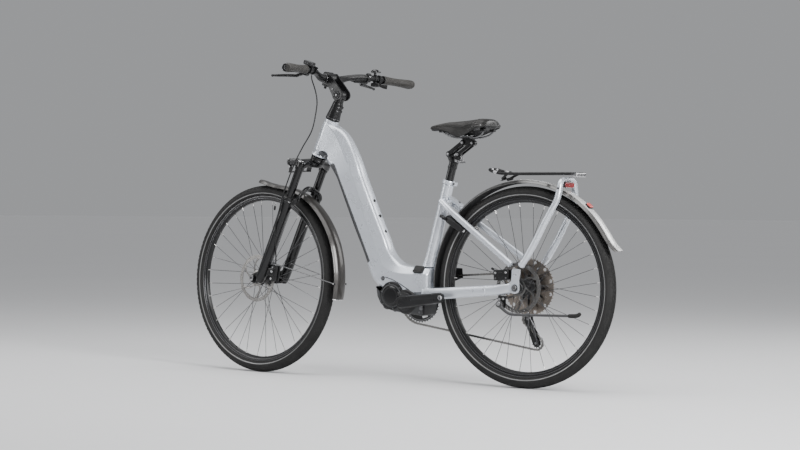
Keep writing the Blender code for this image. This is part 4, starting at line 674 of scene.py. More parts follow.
# saddle cover: pebbled grain with creases between the pebbles
k = Look("saddle_cover", (0.012, 0.011, 0.0105), 0.46, 0.0, Specular_IOR_Level=0.28)
pebble = k.cells(950.0, rand=0.9)
k.colour(k.mix(k.ranged(pebble, 0.1, 0.75, 0, 1), (0.021, 0.019, 0.0175), (0.010, 0.0092, 0.0086)))
k.put(k.ranged(k.noise(24.0, 3), 0.3, 0.7, 0.40, 0.52), k.b.inputs["Roughness"])
k.bump(pebble, 0.45, -0.0004)
k.bump(k.noise(90.0, 3), 0.12, 0.0006)
LEATHER = k.m
k = Look("saddle_gloss_panel", (0.010, 0.0096, 0.0092), 0.30, 0.0, Coat_Weight=0.2, Coat_Roughness=0.15, Specular_IOR_Level=0.35)
k.blotchy(20.0, 0.85, 1.15, 260.0)
k.rough_by(30.0, 0.05)
k.bump(k.cells(1300.0), 0.16, 0.0002)
GLOSSY = k.m
THREAD = moulded("seam_thread", (0.022, 0.021, 0.020), 0.7, 2200.0, 0.3)


def carve(base, tools, how="DIFFERENCE"):
    """Cuts or joins closed shapes."""
    def temp(mesh):
        me = bpy.data.meshes.new("tool")
        me.from_pydata([tuple(p) for p in mesh[0]], [], [tuple(f) for f in mesh[1]])
        me.validate()
        bm = bmesh.new()
        bm.from_mesh(me)
        bmesh.ops.recalc_face_normals(bm, faces=bm.faces[:])
        bm.to_mesh(me)
        bm.free()
        ob = bpy.data.objects.new("tool", me)
        bpy.context.scene.collection.objects.link(ob)
        return ob

    main, rest = temp(base), [temp(t) for t in tools]
    for other in rest:
        m = main.modifiers.new("cut", "BOOLEAN")
        m.solver, m.operation, m.object = "EXACT", how, other
    bpy.context.view_layer.update()
    me = bpy.data.meshes.new_from_object(main.evaluated_get(bpy.context.evaluated_depsgraph_get()))
    verts = np.zeros(len(me.vertices) * 3)
    me.vertices.foreach_get("co", verts)
    faces = [tuple(p.vertices) for p in me.polygons]
    for ob in [main] + rest:
        bpy.data.objects.remove(ob, do_unlink=True)
    bpy.data.meshes.remove(me)
    return verts.reshape(-1, 3), faces


def bead(points, r=0.0014, n=10, loop=True, lumps=0.18):
    """A weld bead: a thin rope with small even scales."""
    pts = np.array(points, float)
    count = max(int(np.linalg.norm(np.diff(np.vstack([pts, pts[:1]]) if loop else pts, axis=0), axis=1).sum() / 0.0011), 24)
    rows = np.vstack([pts, pts[:2]]) if loop else pts
    rows = smooth_path(rows, count + 1)
    if loop:
        rows = rows[:-1]
    return sweep([tuple(p) for p in rows], lambda i, row: oval(r * (1 + lumps * math.sin(i * 2.1)), r * (1 + lumps * math.sin(i * 2.1)), n), loop=loop)


def section_ring(c, along, side, a, b, e=2.0, n=28, grow=0.0004):
    """Points round a tube's skin at c."""
    t = unit(along)
    s = unit(np.array(side, float) - np.dot(side, t) * t)
    u = np.cross(s, t)
    return [np.array(c, float) + u * x + s * y for x, y in oval(a + grow, b + grow, n, e)]


# ------------------------------------------------------------------ wheels
def wheel_tyre(side):
    front = side == "front"
    c = HUB_F if front else HUB_R
    look = TYRE_LOOK_F if front else TYRE_LOOK_R
    keys = [(0.3172, -0.0125), (0.3200, -0.0170), (0.3240, -0.0212), (0.3290, -0.0238), (0.3340, -0.0246), (0.3400, -0.0232), (0.3470, -0.0190), (0.3530, -0.0125), (0.3560, -0.0060), (0.35685, 0.0)]
    keys += [(r, -h) for r, h in reversed(keys[:-1])]
    rows = smooth_path([(r, h, 0.0) for r, h in keys], 45)
    profile = [(r, h) for r, h, _ in rows] + [(0.3160, 0.0085), (0.3160, -0.0085)]
    p = Piece(side + "_tyre_carcass", side + "_wheel", front)
    p.add(lathe(profile, c, (0, 1, 0), 160, closed=True), look)
    ys, rs = rows[:, 1], rows[:, 0]
    order = np.argsort(ys)
    # the outer half of the section, where each y has one radius
    top = rows[rows[:, 0] > 0.3335]
    top = top[np.argsort(top[:, 1])]

    def skin(y, lift):
        r = np.interp(y, top[:, 1], top[:, 0])
        dy = 0.0006
        slope = (np.interp(y + dy, top[:, 1], top[:, 0]) - np.interp(y - dy, top[:, 1], top[:, 0])) / (2 * dy)
        n = unit((1.0, -slope))
        return r + n[0] * lift, y + n[1] * lift

    def lug(a0, a1, y0, y1, skew, height):
        vs = []
        for lift, ins in ((-0.0006, 0.0), (height * 0.75, 0.05), (height, 0.12)):
            for ia, iy in ((0, 0), (1, 0), (1, 1), (0, 1)):
                y = y0 + (y1 - y0) * (ins if iy == 0 else 1 - ins)
                a = a0 + (a1 - a0) * (ins if ia == 0 else 1 - ins) + skew * abs(y)
                r, yy = skin(y, lift)
                vs.append((r * math.cos(a), yy, r * math.sin(a)))
        fs = [(0, 3, 2, 1), (8, 9, 10, 11)]
        for k in (0, 4):
            fs += [(k + j, k + (j + 1) % 4, k + 4 + (j + 1) % 4, k + 4 + j) for j in range(4)]
        return np.array(vs) + c, fs

    n = 116
    step = 2 * math.pi / n
    parts = []
    for i in range(n):
        a = i * step
        for s in (1, -1):
            half = 0.5 * step if s < 0 else 0.0
            parts.append(lug(a + half, a + half + 0.78 * step, s * 0.0006, s * 0.0056, -9.0, 0.0011))
            parts.append(lug(a + half + 0.3 * step, a + half + 0.98 * step, s * 0.0072, s * 0.0122, -6.0, 0.0012))
            parts.append(lug(a + half, a + half + 0.55 * step, s * 0.0138, s * 0.0182, 0.0, 0.0011))
            if i % 2 == 0:
                parts.append(lug(a + half + 0.1 * step, a + half + 0.9 * step, s * 0.0190, s * 0.0212, 0.0, 0.0008))
    p.add(merge(*parts), look)
    for s in (1, -1):
        band = []
        for r in np.linspace(0.3262, 0.3296, 5):
            h = np.interp(r, rows[: len(rows) // 3, 0], -rows[: len(rows) // 3, 1])
            band.append((r, h))
        outer = [(r + 0.0000, s * (h + 0.00035)) for r, h in band]
        inner = [(r, s * (h - 0.0006)) for r, h in reversed(band)]
        p.add(lathe(outer + inner, c, (0, 1, 0), 160, closed=True), REFLEX)
        for r in (0.3228, 0.3358):
            h = np.interp(r, rows[: len(rows) // 3, 0], -rows[: len(rows) // 3, 1])
            p.add(ring_of(c + A(0, s * (h - 0.0001), 0), (0, 1, 0), r, 0.0005, 160, 6), look)
    return p.make([side + "_tyre"], weighted=False)


def wheel_rim(side):
    front = side == "front"
    c = HUB_F if front else HUB_R
    p = Piece(side + "_rim_hoop", side + "_wheel", front)
    prof = [(0.2996, -0.0050), (0.3020, -0.0088), (0.3075, -0.0122), (0.3120, -0.0133), (0.3169, -0.0134), (0.3169, -0.0114), (0.3092, -0.0096), (0.3092, 0.0096), (0.3169, 0.0114), (0.3169, 0.0134), (0.3120, 0.0133), (0.3075, 0.0122), (0.3020, 0.0088), (0.2996, 0.0050)]
    p.add(turned(prof, 0.0012, c, (0, 1, 0), 160, closed=True), BLACK_MET)
    for s in (1, -1):
        p.add(ring_of(c + A(0, s * 0.0131, 0), (0, 1, 0), 0.3163, 0.0007, 160, 6), RIM_EDGE)
        p.add(ring_of(c + A(0, s * 0.0124, 0), (0, 1, 0), 0.3083, 0.0004, 160, 6), RIM_EDGE)
    eyelets = []
    for k in range(36):
        a = 2 * math.pi * k / 36 + math.radians(5)
        d = A(math.cos(a), 0, math.sin(a))
        y = 0.0035 * (1 if k % 2 == 0 else -1)
        eyelets.append(turned([(0.0, 0.0004), (0.0034, 0.0002), (0.0034, -0.0007), (0.0, -0.0009)], 0.0002, c + d * 0.2996 + A(0, y, 0), d, 12))
    p.add(merge(*eyelets), BLACK_SATIN)
    # valve with its cap
    a = math.radians(99.0 if front else 109.0)
    d = A(math.cos(a), 0, math.sin(a))
    v = c + d * 0.3000
    p.add(lathe([(0.0, 0.002), (0.0042, 0.002), (0.0042, -0.001), (0.0030, -0.0015), (0.0030, -0.018), (0.0, -0.018)], v, d, 16), STEEL)
    p.add(turned([(0.0, -0.016), (0.0037, -0.016), (0.0040, -0.030), (0.0028, -0.0335), (0.0, -0.034)], 0.0006, v, d, 14), PLASTIC)
    return p.make([side + "_rim"])


def wheel_hub(side):
    front = side == "front"
    c = HUB_F if front else HUB_R
    p = Piece(side + "_hub_with_spokes", side + "_wheel", front)
    if front:
        prof = [(0.0068, -0.0480), (0.0132, -0.0480), (0.0146, -0.0400), (0.0150, -0.0375), (0.0262, -0.0352), (0.0270, -0.0335), (0.0270, -0.0300), (0.0262, -0.0284), (0.0150, -0.0250), (0.0132, -0.0180), (0.0132, 0.0060), (0.0150, 0.0138), (0.0262, 0.0160), (0.0270, 0.0175), (0.0270, 0.0212), (0.0262, 0.0228), (0.0205, 0.0262), (0.0205, 0.0378), (0.0170, 0.0382), (0.0168, 0.0440), (0.0110, 0.0470), (0.0068, 0.0480)]
        fl, fr, rf, lock = 0.0190, -0.0320, 0.0270, 0.0404
    else:
        prof = [(0.0068, -0.0214), (0.0290, -0.0212), (0.0290, -0.0122), (0.0230, -0.0096), (0.0172, -0.0070), (0.0165, 0.0000), (0.0172, 0.0250), (0.0230, 0.0286), (0.0285, 0.0304), (0.0290, 0.0318), (0.0290, 0.0364), (0.0282, 0.0380), (0.0200, 0.0418), (0.0200, 0.0505), (0.0168, 0.0509), (0.0168, 0.0590), (0.0110, 0.0620), (0.0068, 0.0640)]
        fl, fr, rf, lock = 0.0340, -0.0165, 0.0290, 0.0530
    p.add(turned(prof, 0.0012, c, (0, 1, 0), 64, closed=True), BLACK_MET)
    # lock ring of the brake disc, with its notches
    ring = []
    for i in range(96):
        a = 2 * math.pi * i / 96
        r = 0.0202 if (i // 3) % 2 else 0.0216
        ring.append((r * math.cos(a), r * math.sin(a)))
    p.add(prism(ring, lock - 0.0004, lock + 0.0028, 0.0005, c), BLACK_SATIN)
    p.add(turned([(0.0168, lock + 0.0022), (0.0206, lock + 0.0022), (0.0196, lock + 0.0044), (0.0168, lock + 0.0044)], 0.0006, c, (0, 1, 0), 48, closed=True), STEEL_DARK)
    for y in (fl, fr):
        for s in (1, -1):
            p.add(ring_of(c + A(0, y + s * 0.0026, 0), (0, 1, 0), rf - 0.0012, 0.0006, 64, 6), BLACK_SATIN)
    wires, nipples, heads = [], [], []
    for k in range(36):
        left = k % 2 == 0
        fy = fl if left else fr
        lead = 1 if (k // 2) % 2 == 0 else -1
        ra = 2 * math.pi * k / 36 + math.radians(5)
        ha = ra + lead * math.radians(62)
        y = fy + (0.0030 if lead > 0 else -0.0030)
        h = c + A(math.cos(ha) * (rf - 0.0035), y, math.sin(ha) * (rf - 0.0035))
        q = c + A(math.cos(ra) * (RIM_INNER_R - 0.0012), 0.0035 * (1 if left else -1), math.sin(ra) * (RIM_INNER_R - 0.0012))
        d = unit(q - h)
        inward = A(0, -1 if lead > 0 else 1, 0)
        wires.append(tube([h + inward * 0.0034, h + inward * 0.0010, h + d * 0.0022, h + d * 0.010, q - d * 0.004], [0.00112, 0.00115, 0.00115, 0.00102, 0.00100], 8))
        heads.append(ball(h + inward * 0.0042, 0.0019, 8, (1, 0.6, 1)))
        nipples.append(lathe([(0.0, -0.0135), (0.0013, -0.0135), (0.0019, -0.0125), (0.0019, -0.0030), (0.0024, -0.0010), (0.0024, 0.0012), (0.0, 0.0015)], q, d, 10))
    p.add(merge(*wires), SPOKE)
    p.add(merge(*heads), SPOKE)
    p.add(merge(*nipples), NIPPLE)
    return p.make([side + "_hub_spokes"])


def wheel_disc(side):
    front = side == "front"
    c = HUB_F if front else HUB_R
    y0, y1 = (0.0384, 0.0404) if front else (0.0510, 0.0530)
    look = DISC_F if front else DISC_R_PAINTED_SHADE
    p = Piece(side + "_brake_disc", side + "_wheel", front)
    outer = [((ROTOR_R - 0.0006 + 0.0006 * math.cos(12 * t)) * math.cos(t), (ROTOR_R - 0.0006 + 0.0006 * math.cos(12 * t)) * math.sin(t)) for t in np.linspace(0, 2 * math.pi, 144, endpoint=False)]
    inner = [((0.0762 - 0.0012 * math.cos(6 * t)) * math.cos(t), (0.0762 - 0.0012 * math.cos(6 * t)) * math.sin(t)) for t in np.linspace(0, 2 * math.pi, 96, endpoint=False)]
    holes = [inner]
    for i in range(36):
        t = 2 * math.pi * i / 36
        for j, (r, size) in enumerate(((0.0866, 0.0016), (0.0830, 0.0019), (0.0795, 0.0014))):
            tt = t + math.radians(2.6) * j
            holes.append(circle(r * math.cos(tt), r * math.sin(tt), size, 8))
    p.add(holed(outer, holes, y0, y1, c), look)
    arms = []
    for k in range(6):
        a0 = math.radians(60 * k)
        mid = [((0.0255 + 0.0525 * t), a0 + math.radians(34) * t**1.15, 0.0046 - 0.0026 * math.sin(math.pi * min(t * 1.05, 1))) for t in np.linspace(0, 1, 14)]
        pts = [A(r * math.cos(a), r * math.sin(a)) for r, a, w in mid]
        tan = np.gradient(np.array(pts), axis=0)
        left_, right_ = [], []
        for (r, a, w), q, t in zip(mid, pts, tan):
            t = t / np.linalg.norm(t)
            nrm = A(-t[1], t[0])
            left_.append(tuple(q + nrm * w))
            right_.append(tuple(q - nrm * w))
        arms.append(prism(left_ + right_[::-1], y0 + 0.0001, y1 - 0.0001, 0.0002, c))
    p.add(merge(*arms), look)
    p.add(turned([(0.0174, y0 - 0.0002), (0.0296, y0 - 0.0002), (0.0296, y1 + 0.0002), (0.0174, y1 + 0.0002)], 0.0004, c, (0, 1, 0), 64, closed=True), look)
    rivets = [turned([(0.0, y1 - 0.0002), (0.0022, y1 - 0.0002), (0.0022, y1 + 0.0006), (0.0, y1 + 0.0008)], 0.0003, c + A(0.0262 * math.cos(math.radians(60 * k + 6)), 0, 0.0262 * math.sin(math.radians(60 * k + 6))), (0, 1, 0), 12) for k in range(6)]
    p.add(merge(*rivets), STEEL_DARK)
    return p.make([side + "_rotor"], weighted=False)


for side_name in ("rear", "front"):
    wheel_tyre(side_name)
    wheel_rim(side_name)
    wheel_hub(side_name)
    wheel_disc(side_name)


# ------------------------------------------------------------------ sprockets, chainring and chain
def tooth_outline(n, r_out, depth=0.0042, flat=0.16):
    out = []
    for i in range(n):
        for f, r in ((-0.40, r_out - depth * 0.86), (-0.28, r_out - depth), (0.0, r_out - depth * 1.04), (0.28, r_out - depth), (0.40, r_out - depth * 0.86), (0.5 - flat, r_out - 0.0006), (0.5, r_out), (0.5 + flat, r_out - 0.0006)):
            if f > 0.58:
                f = 0.58
            a = 2 * math.pi * (i + f) / n
            out.append((r * math.cos(a), r * math.sin(a)))
    return out


def slots(count, r0, r1, width, k=5, turn=0.0):
    """Rounded windows between two radii."""
    out = []
    for i in range(count):
        a = 2 * math.pi * i / count + turn
        half0, half1 = width / r0, width / r1
        pts = [(r0, a - half0), (r0, a + half0), (r1, a + half1), (r1, a - half1)]
        poly = [(r * math.cos(t), r * math.sin(t)) for r, t in pts]
        out.append(fillet(poly, 0.0028, True, 3))
    return out


cogs = [(0.1035, -0.0240, 51), (0.0870, -0.0290, 43), (0.0720, -0.0340, 36), (0.0580, -0.0390, 29), (COG_R, -0.0450, 24), (0.0390, -0.0510, 19), (0.0300, -0.0570, 15), (0.0225, -0.0625, 11)]
p = Piece("cassette_sprockets", "sprockets")
for i, (r, y, n) in enumerate(cogs):
    holes = [circle(0, 0, 0.0165 if r > 0.026 else 0.0130, 32)]
    if r > 0.085:
        holes += slots(12, 0.032, r - 0.0250, 0.0066, turn=i * 0.13) + [circle((r - 0.0140) * math.cos(t + i * 0.13 + 0.26), (r - 0.0140) * math.sin(t + i * 0.13 + 0.26), 0.0066, 12) for t in np.linspace(0, 2 * math.pi, 12, endpoint=False)]
    elif r > 0.05:
        holes += slots(8, 0.026, r - 0.013, 0.0046, turn=i * 0.2)
    p.add(holed(tooth_outline(n, r), holes, y - 0.0009, y + 0.0009, HUB_R), BRONZE if i < 2 else STEEL_DARK)
for r0, r1, y0, y1 in ((0.0130, 0.0180, -0.0655, -0.0225), (0.020, 0.030, -0.0400, -0.0228)):
    p.add(turned([(r0, y1), (r1, y1), (r1, y0), (r0, y0)], 0.0008, HUB_R, (0, 1, 0), 48, closed=True), BLACK_MET)
for i in range(5):
    a = 2 * math.pi * i / 5
    d = A(math.cos(a), 0, math.sin(a))
    p.add(block(HUB_R + d * 0.040 + A(0, -0.0315, 0), (0.046, 0.0090, 0.0068), d, (0, 1, 0), 0.0010), BLACK_MET)
p.add(turned([(0.0072, -0.0655), (0.0150, -0.0655), (0.0150, -0.0672), (0.0110, -0.0680), (0.0072, -0.0680)], 0.0005, HUB_R, (0, 1, 0), 36, closed=True), STEEL_DARK)
p.make(["cassette"], weighted=False)

BB3 = A(BB[0], 0, BB[1])
p = Piece("chainring_forty_teeth", "crank")
holes = [circle(0, 0, 0.0290, 40)] + slots(5, 0.0380, 0.0655, 0.0125, turn=math.radians(36)) + [circle(0.0500 * math.cos(t), 0.0500 * math.sin(t), 0.0036, 12) for t in np.linspace(0, 2 * math.pi, 5, endpoint=False)]
p.add(holed(tooth_outline(40, RING_R), holes, -0.0540, -0.0520, BB3), BLACK_MET)
p.add(turned([(0.0700, -0.0546), (0.0735, -0.0546), (0.0735, -0.0514), (0.0700, -0.0514)], 0.0005, BB3, (0, 1, 0), 96, closed=True), STEEL_DARK)
for i in range(5):
    a = 2 * math.pi * i / 5
    p.add(bolt(BB3 + A(0.0500 * math.cos(a), -0.0600, 0.0500 * math.sin(a)), (0, -1, 0), 0.0045, 0.0022), STEEL)
p.make(["chainring"], weighted=False)

PULLEY_R = 0.0195
HANG = A(0.006, -0.0815, 0.3180)
GUIDE, TENSION = A(0.0140, -COG_Y, 0.2440), A(-0.0200, -COG_Y, 0.1590)
CH = 0.0042
ring_c, cog_c, guide_c, tens_c = (BB[0], BB[1]), (0.0, TYRE_R), (GUIDE[0], GUIDE[2]), (TENSION[0], TENSION[2])
PR, RR, CR = PULLEY_R + CH + 0.0006, RING_R + CH + 0.0006, COG_R + CH + 0.0006


def tangent_points(c1, r1, c2, r2):
    dx, dy = c2[0] - c1[0], c2[1] - c1[1]
    base, off = math.atan2(dy, dx), math.acos((r1 - r2) / math.hypot(dx, dy))
    return [((c1[0] + r1 * math.cos(base + s * off), c1[1] + r1 * math.sin(base + s * off)), (c2[0] + r2 * math.cos(base + s * off), c2[1] + r2 * math.sin(base + s * off))) for s in (1, -1)]


def wrap(c, r, p, q, ccw, n):
    a0, a1 = math.atan2(p[1] - c[1], p[0] - c[0]), math.atan2(q[1] - c[1], q[0] - c[0])
    while ccw and a1 < a0:
        a1 += 2 * math.pi
    while not ccw and a1 > a0:
        a1 -= 2 * math.pi
    return [(c[0] + abs(r) * math.cos(a), c[1] + abs(r) * math.sin(a)) for a in np.linspace(a0, a1, n)]


t_top = [t for t in tangent_points(ring_c, RR, cog_c, CR) if t[0][1] > ring_c[1]][0]
t_cog = max(tangent_points(cog_c, CR, guide_c, -PR), key=lambda t: t[1][0])
t_cage = max(tangent_points(guide_c, -PR, tens_c, PR), key=lambda t: t[0][0])
t_low = [t for t in tangent_points(tens_c, PR, ring_c, RR) if t[1][1] < ring_c[1]][0]
loop2 = wrap(ring_c, RR, t_low[1], t_top[0], True, 60) + wrap(cog_c, CR, t_top[1], t_cog[0], True, 50) + wrap(guide_c, PR, t_cog[1], t_cage[0], False, 26) + wrap(tens_c, PR, t_cage[1], t_low[0], True, 34)
loop2 = np.array(loop2 + [loop2[0]])
run = np.concatenate([[0], np.cumsum(np.linalg.norm(np.diff(loop2, axis=0), axis=1))])


def chain_y(x):
    return -(COG_Y + (CHAINLINE - COG_Y) * min(max((x - 0.03) / 0.40, 0.0), 1.0))


links = 2 * round(run[-1] / 0.0127 / 2)
joints_at = [A(np.interp(s, run, loop2[:, 0]), 0, np.interp(s, run, loop2[:, 1])) for s in np.linspace(0, run[-1], links, endpoint=False)]
for q in joints_at:
    q[1] = chain_y(q[0])
p = Piece("chain_links", "frame")
plates, pins = [], []
for i, a in enumerate(joints_at):
    b = joints_at[(i + 1) % links]
    u = unit(b - a)
    v = np.cross(A(0, 1, 0), u)
    v = unit(v)
    w = np.cross(u, v)
    long = np.linalg.norm(b - a)
    out = i % 2
    half = [(-0.0040, 0.0), (-0.0029, 0.0029), (0.0, 0.0040), (0.0030, 0.0036), (long / 2, 0.0026), (long - 0.0030, 0.0036), (long, 0.0040), (long + 0.0029, 0.0029), (long + 0.0040, 0.0)]
    poly = half + [(x, -z) for x, z in reversed(half[1:-1])]
    y = 0.0026 if out else 0.0016
    for s in (1, -1):
        plates.append(prism(poly, s * y, s * (y + 0.0009), 0.0, a, u, v, w))
    pins.append(rod(a - w * 0.0016, a + w * 0.0016, 0.0037, 12))
    pins.append(rod(a - w * 0.0037, a + w * 0.0037, 0.0016, 10))
p.add(merge(*plates), CHAIN)
p.add(merge(*pins), STEEL_DARK)
p.make(["chain"], weighted=False)


def jockey(name, c, body, node):
    p = Piece(name, body)
    holes = [circle(0, 0, 0.0050, 20)] + [circle(0.0105 * math.cos(t), 0.0105 * math.sin(t), 0.0021, 10) for t in np.linspace(0, 2 * math.pi, 5, endpoint=False)]
    p.add(holed(tooth_outline(10, PULLEY_R, 0.0044, 0.13), holes, -0.0016, 0.0016, c), PLASTIC)
    p.add(turned([(0.0034, -0.0044), (0.0072, -0.0044), (0.0082, -0.0018), (0.0082, 0.0018), (0.0072, 0.0044), (0.0034, 0.0044)], 0.0005, c, (0, 1, 0), 32, closed=True), STEEL_DARK)
    p.make([node], weighted=False)


jockey("guide_pulley_wheel", GUIDE, "guide_wheel", "guide_pulley")
jockey("tension_pulley_wheel", TENSION, "tension_wheel", "tension_pulley")


# ------------------------------------------------------------------ frame: down tube with head tube
DT = [
    (0.8774, 0.8930, 0.0650, 0.0290), (0.8480, 0.8800, 0.0660, 0.0310), (0.8200, 0.8600, 0.0645, 0.0330), (0.7900, 0.8210, 0.0595, 0.0370),
    (0.7618, 0.7745, 0.0540, 0.0400), (0.7450, 0.7365, 0.0520, 0.0410), (0.7118, 0.6621, 0.0522, 0.0415), (0.6769, 0.5842, 0.0523, 0.0420),
    (0.6378, 0.5032, 0.0520, 0.0430), (0.6160, 0.4540, 0.0520, 0.0440), (0.5885, 0.4085, 0.0590, 0.0455), (0.5495, 0.3812, 0.0583, 0.0470),
    (0.5050, 0.3720, 0.0540, 0.0475), (0.4550, 0.3680, 0.0535, 0.0475), (0.4200, 0.3675, 0.0535, 0.0470), (0.3990, 0.3672, 0.0533, 0.0450),
]
dt_rows = [tuple(r) for r in smooth_path([(x, 0.0, z, d, w) for x, z, d, w in DT], 92)]
dt_rows = [r for r in dt_rows if r[0] > 0.4165]
# the round nose in front of the steering axis
NOSE = [(0.8774 + 0.917 * e, 0.0, 0.8930 + 0.399 * e, 0.0650 - 0.0020 * (e / 0.029) ** 4, math.sqrt(0.0290**2 - e**2)) for e in (0.0284, 0.0276, 0.0262, 0.0238, 0.0205, 0.0165, 0.0120, 0.0075, 0.0035)]
dt_rows = NOSE + dt_rows
for dx, s in ((0.0, 1.0), (0.0050, 0.990), (0.0098, 0.965), (0.0140, 0.930), (0.0178, 0.885), (0.0210, 0.830), (0.0236, 0.760), (0.0250, 0.700)):
    dt_rows.append((0.4150 - dx, 0.0, 0.3672, 0.0534 * (1 - 0.06 * (dx / 0.025) ** 4), 0.0466 * s))


def soft(poly, radii, k=4):
    """An outline with the same number of points at every corner."""
    p = [np.array(q, float) for q in poly]
    out = []
    for i, q in enumerate(p):
        a, b = p[i - 1] - q, p[(i + 1) % len(p)] - q
        la, lb = np.linalg.norm(a), np.linalg.norm(b)
        t = min(radii[i], 0.48 * la, 0.48 * lb)
        for s in np.linspace(0, 1, k + 1):
            out.append(tuple((1 - s) ** 2 * (q + a / la * t) + 2 * s * (1 - s) * q + s**2 * (q + b / lb * t)))
    return out


def main_section(grow=0.0):
    m = len(dt_rows)

    def section(i, row):
        f = max(i - len(NOSE), 0) / (m - 1 - len(NOSE))
        d, w = row[3] + grow, row[4] + grow
        crease = np.interp(f, [0, 0.07, 0.13, 0.25, 0.38, 0.45, 0.69, 0.77, 0.90, 1], [0.93, 0.57, 0.43, 0.45, 0.40, 0.24, 0.19, 0.38, 0.52, 0.50])
        half_ = [(-d, 0.66 * w), (-0.80 * d, w), (crease * d, w), (0.985 * d, 0.58 * w)]
        poly = [(-1.015 * d, 0.0)] + half_ + [(1.02 * d, 0.0)] + [(u, -v) for u, v in reversed(half_)]
        r = [0.008, 0.012, 0.011, 0.003, 0.012]
        return soft(poly, r + [0.012] + r[:0:-1])

    return section


END_DIRS = ((-0.917, 0.0, -0.399), (-1.0, 0.0, 0.0))
HEAD_LOW = A(head_x(0.828), 0.0, 0.828)
HEAD_TOP = A(head_x(0.962), 0.0, 0.962)
HEAD_LEN = float(np.linalg.norm(HEAD_TOP - HEAD_LOW))
tube_skin = sweep(dt_rows, main_section(), (0, 1, 0), END_DIRS)
head_rows = [(0.0290, 0.0), (0.0290, 0.0046), (0.0280, 0.0070), (0.0268, 0.0110), (0.0262, 0.020), (0.0262, 0.1200), (0.0262, 0.1385), (0.0270, 0.1400), (0.0270, HEAD_LEN - 0.0008), (0.0264, HEAD_LEN)]
head_skin = lathe(head_rows, HEAD_LOW, AXIS_DIR, 72)
body_skin = carve(tube_skin, [head_skin], "UNION")
BAY_U, BAY_N, BAY_TOP = A(-0.4227, 0, -0.9063), A(0.9063, 0, -0.4227), A(0.8290, 0, 0.7950)
BAY_LEN = 0.405
YAX = A(0, 1, 0)
bay_outline = fillet([(0.0, -0.0195), (BAY_LEN, -0.0195), (BAY_LEN, 0.060), (0.0, 0.060)], [0.016, 0.007, 0, 0], True, 6)
CAP_N = unit((-0.10, 0.66, 0.745))
CAP_U = unit(A(1, 0, 0) - CAP_N * CAP_N[0])
CAP_V = np.cross(CAP_N, CAP_U)
CAP_C = A(0.4300, 0.0348, 0.4094)
bay_mid = BAY_TOP + BAY_U * (BAY_LEN / 2)
CREASE = smooth_path([(0.5712, 0.0460, 0.3808), (0.5401, 0.0470, 0.3724), (0.5048, 0.0474, 0.3570), (0.4783, 0.0474, 0.3431), (0.4607, 0.0474, 0.3327), (0.4454, 0.0473, 0.3205)], 40)
body_skin = carve(body_skin, [
    lathe([(0.0180, -0.02), (0.0180, HEAD_LEN + 0.02)], HEAD_LOW, AXIS_DIR, 40),
    prism(bay_outline, -0.08, 0.08, 0, BAY_TOP, BAY_U, BAY_N, YAX),
    block(bay_mid - BAY_N * 0.0450, (BAY_LEN - 0.012, 0.0600, 0.0680), BAY_U, YAX),
    lathe([(0.0530, -0.08), (0.0530, 0.08)], (0.5395, 0.0, 0.3125), YAX, 96),
    block((0.5000, 0.0, 0.2600), (0.140, 0.16, 0.095)),
    prism(fillet([(-0.0208, -0.0168), (0.0208, -0.0168), (0.0208, 0.0168), (-0.0208, 0.0168)], 0.005, True, 5), 0.0, 0.04, 0, CAP_C, CAP_U, CAP_V, CAP_N),
    ball((0.8745, 0.0415, 0.8260), 1.0, 64, (0.0345, 0.0212, 0.0240)),
    block(HEAD_LOW - AXIS_DIR * 0.0300 + AXIS_NORMAL * 0.0020, (0.0960, 0.0900, 0.0600), AXIS_NORMAL, YAX),
    tube(CREASE, 0.0018, 12),
])
p = Piece("main_frame_shell", "frame")
p.add(body_skin, SILVER)
# the hollow under the head and the pressed line over the motor get the dark silver: painted shade
p.mats.append(SILVER_PAINTED_SHADE)
for i, q in enumerate(p.f):
    c = np.mean([body_skin[0][j] for j in q], axis=0)
    e_ = ((c[0] - 0.8745) / 0.0345) ** 2 + ((c[1] - 0.0415) / 0.0212) ** 2 + ((c[2] - 0.8260) / 0.0240) ** 2
    if (0.95 < e_ < 1.002 and c[1] > 0.018) or (c[1] > 0.040 and np.linalg.norm(CREASE - c, axis=1).min() < 0.0026 and len(q) < 8):
        p.mi[i] = len(p.mats) - 1
# recess edge, a collar at the head's foot, threaded bosses and a ring at the head's top
p.add(ring_of(HEAD_LOW + AXIS_DIR * 0.1362, AXIS_DIR, 0.0262, 0.0007, 72, 8), SILVER)
p.add(turned([(0.0185, 0.0), (0.0300, 0.0), (0.0318, 0.0008), (0.0318, 0.0044), (0.0302, 0.0056), (0.0185, 0.0062)], 0.0004, HEAD_LOW, AXIS_DIR, 72, closed=True), SILVER)
for x, z in ((0.6534, 0.6599), (0.6273, 0.6038), (0.6023, 0.5468)):
    n_ = unit(A(-0.915, 0, 0.403))
    q = A(x, 0, z)
    p.add(turned([(0.0, 0.0030), (0.0026, 0.0030), (0.0026, 0.0038), (0.0056, 0.0034), (0.0064, 0.0010), (0.0064, -0.0040), (0.0, -0.0040)], 0.0006, q, n_, 28), PLASTIC)
q = A(0.5806, 0.0455, 0.3756)
p.add(turned([(0.0, -0.004), (0.0088, -0.004), (0.0088, 0.0006), (0.0070, 0.0018), (0.0, 0.0018)], 0.0006, q, YAX, 36), BLACK_SATIN)
p.add(bolt(q + A(0, 0.0016, 0), YAX, 0.0050, 0.0018), STEEL_DARK)
p.add(lathe([(0.0185, 0.0), (0.0240, 0.0), (0.0240, 0.0010), (0.0185, 0.0010)], HEAD_TOP - AXIS_DIR * 0.0006, AXIS_DIR, 48, closed=True), BLACK_SATIN)
p.make(["main_frame"], angle=30)

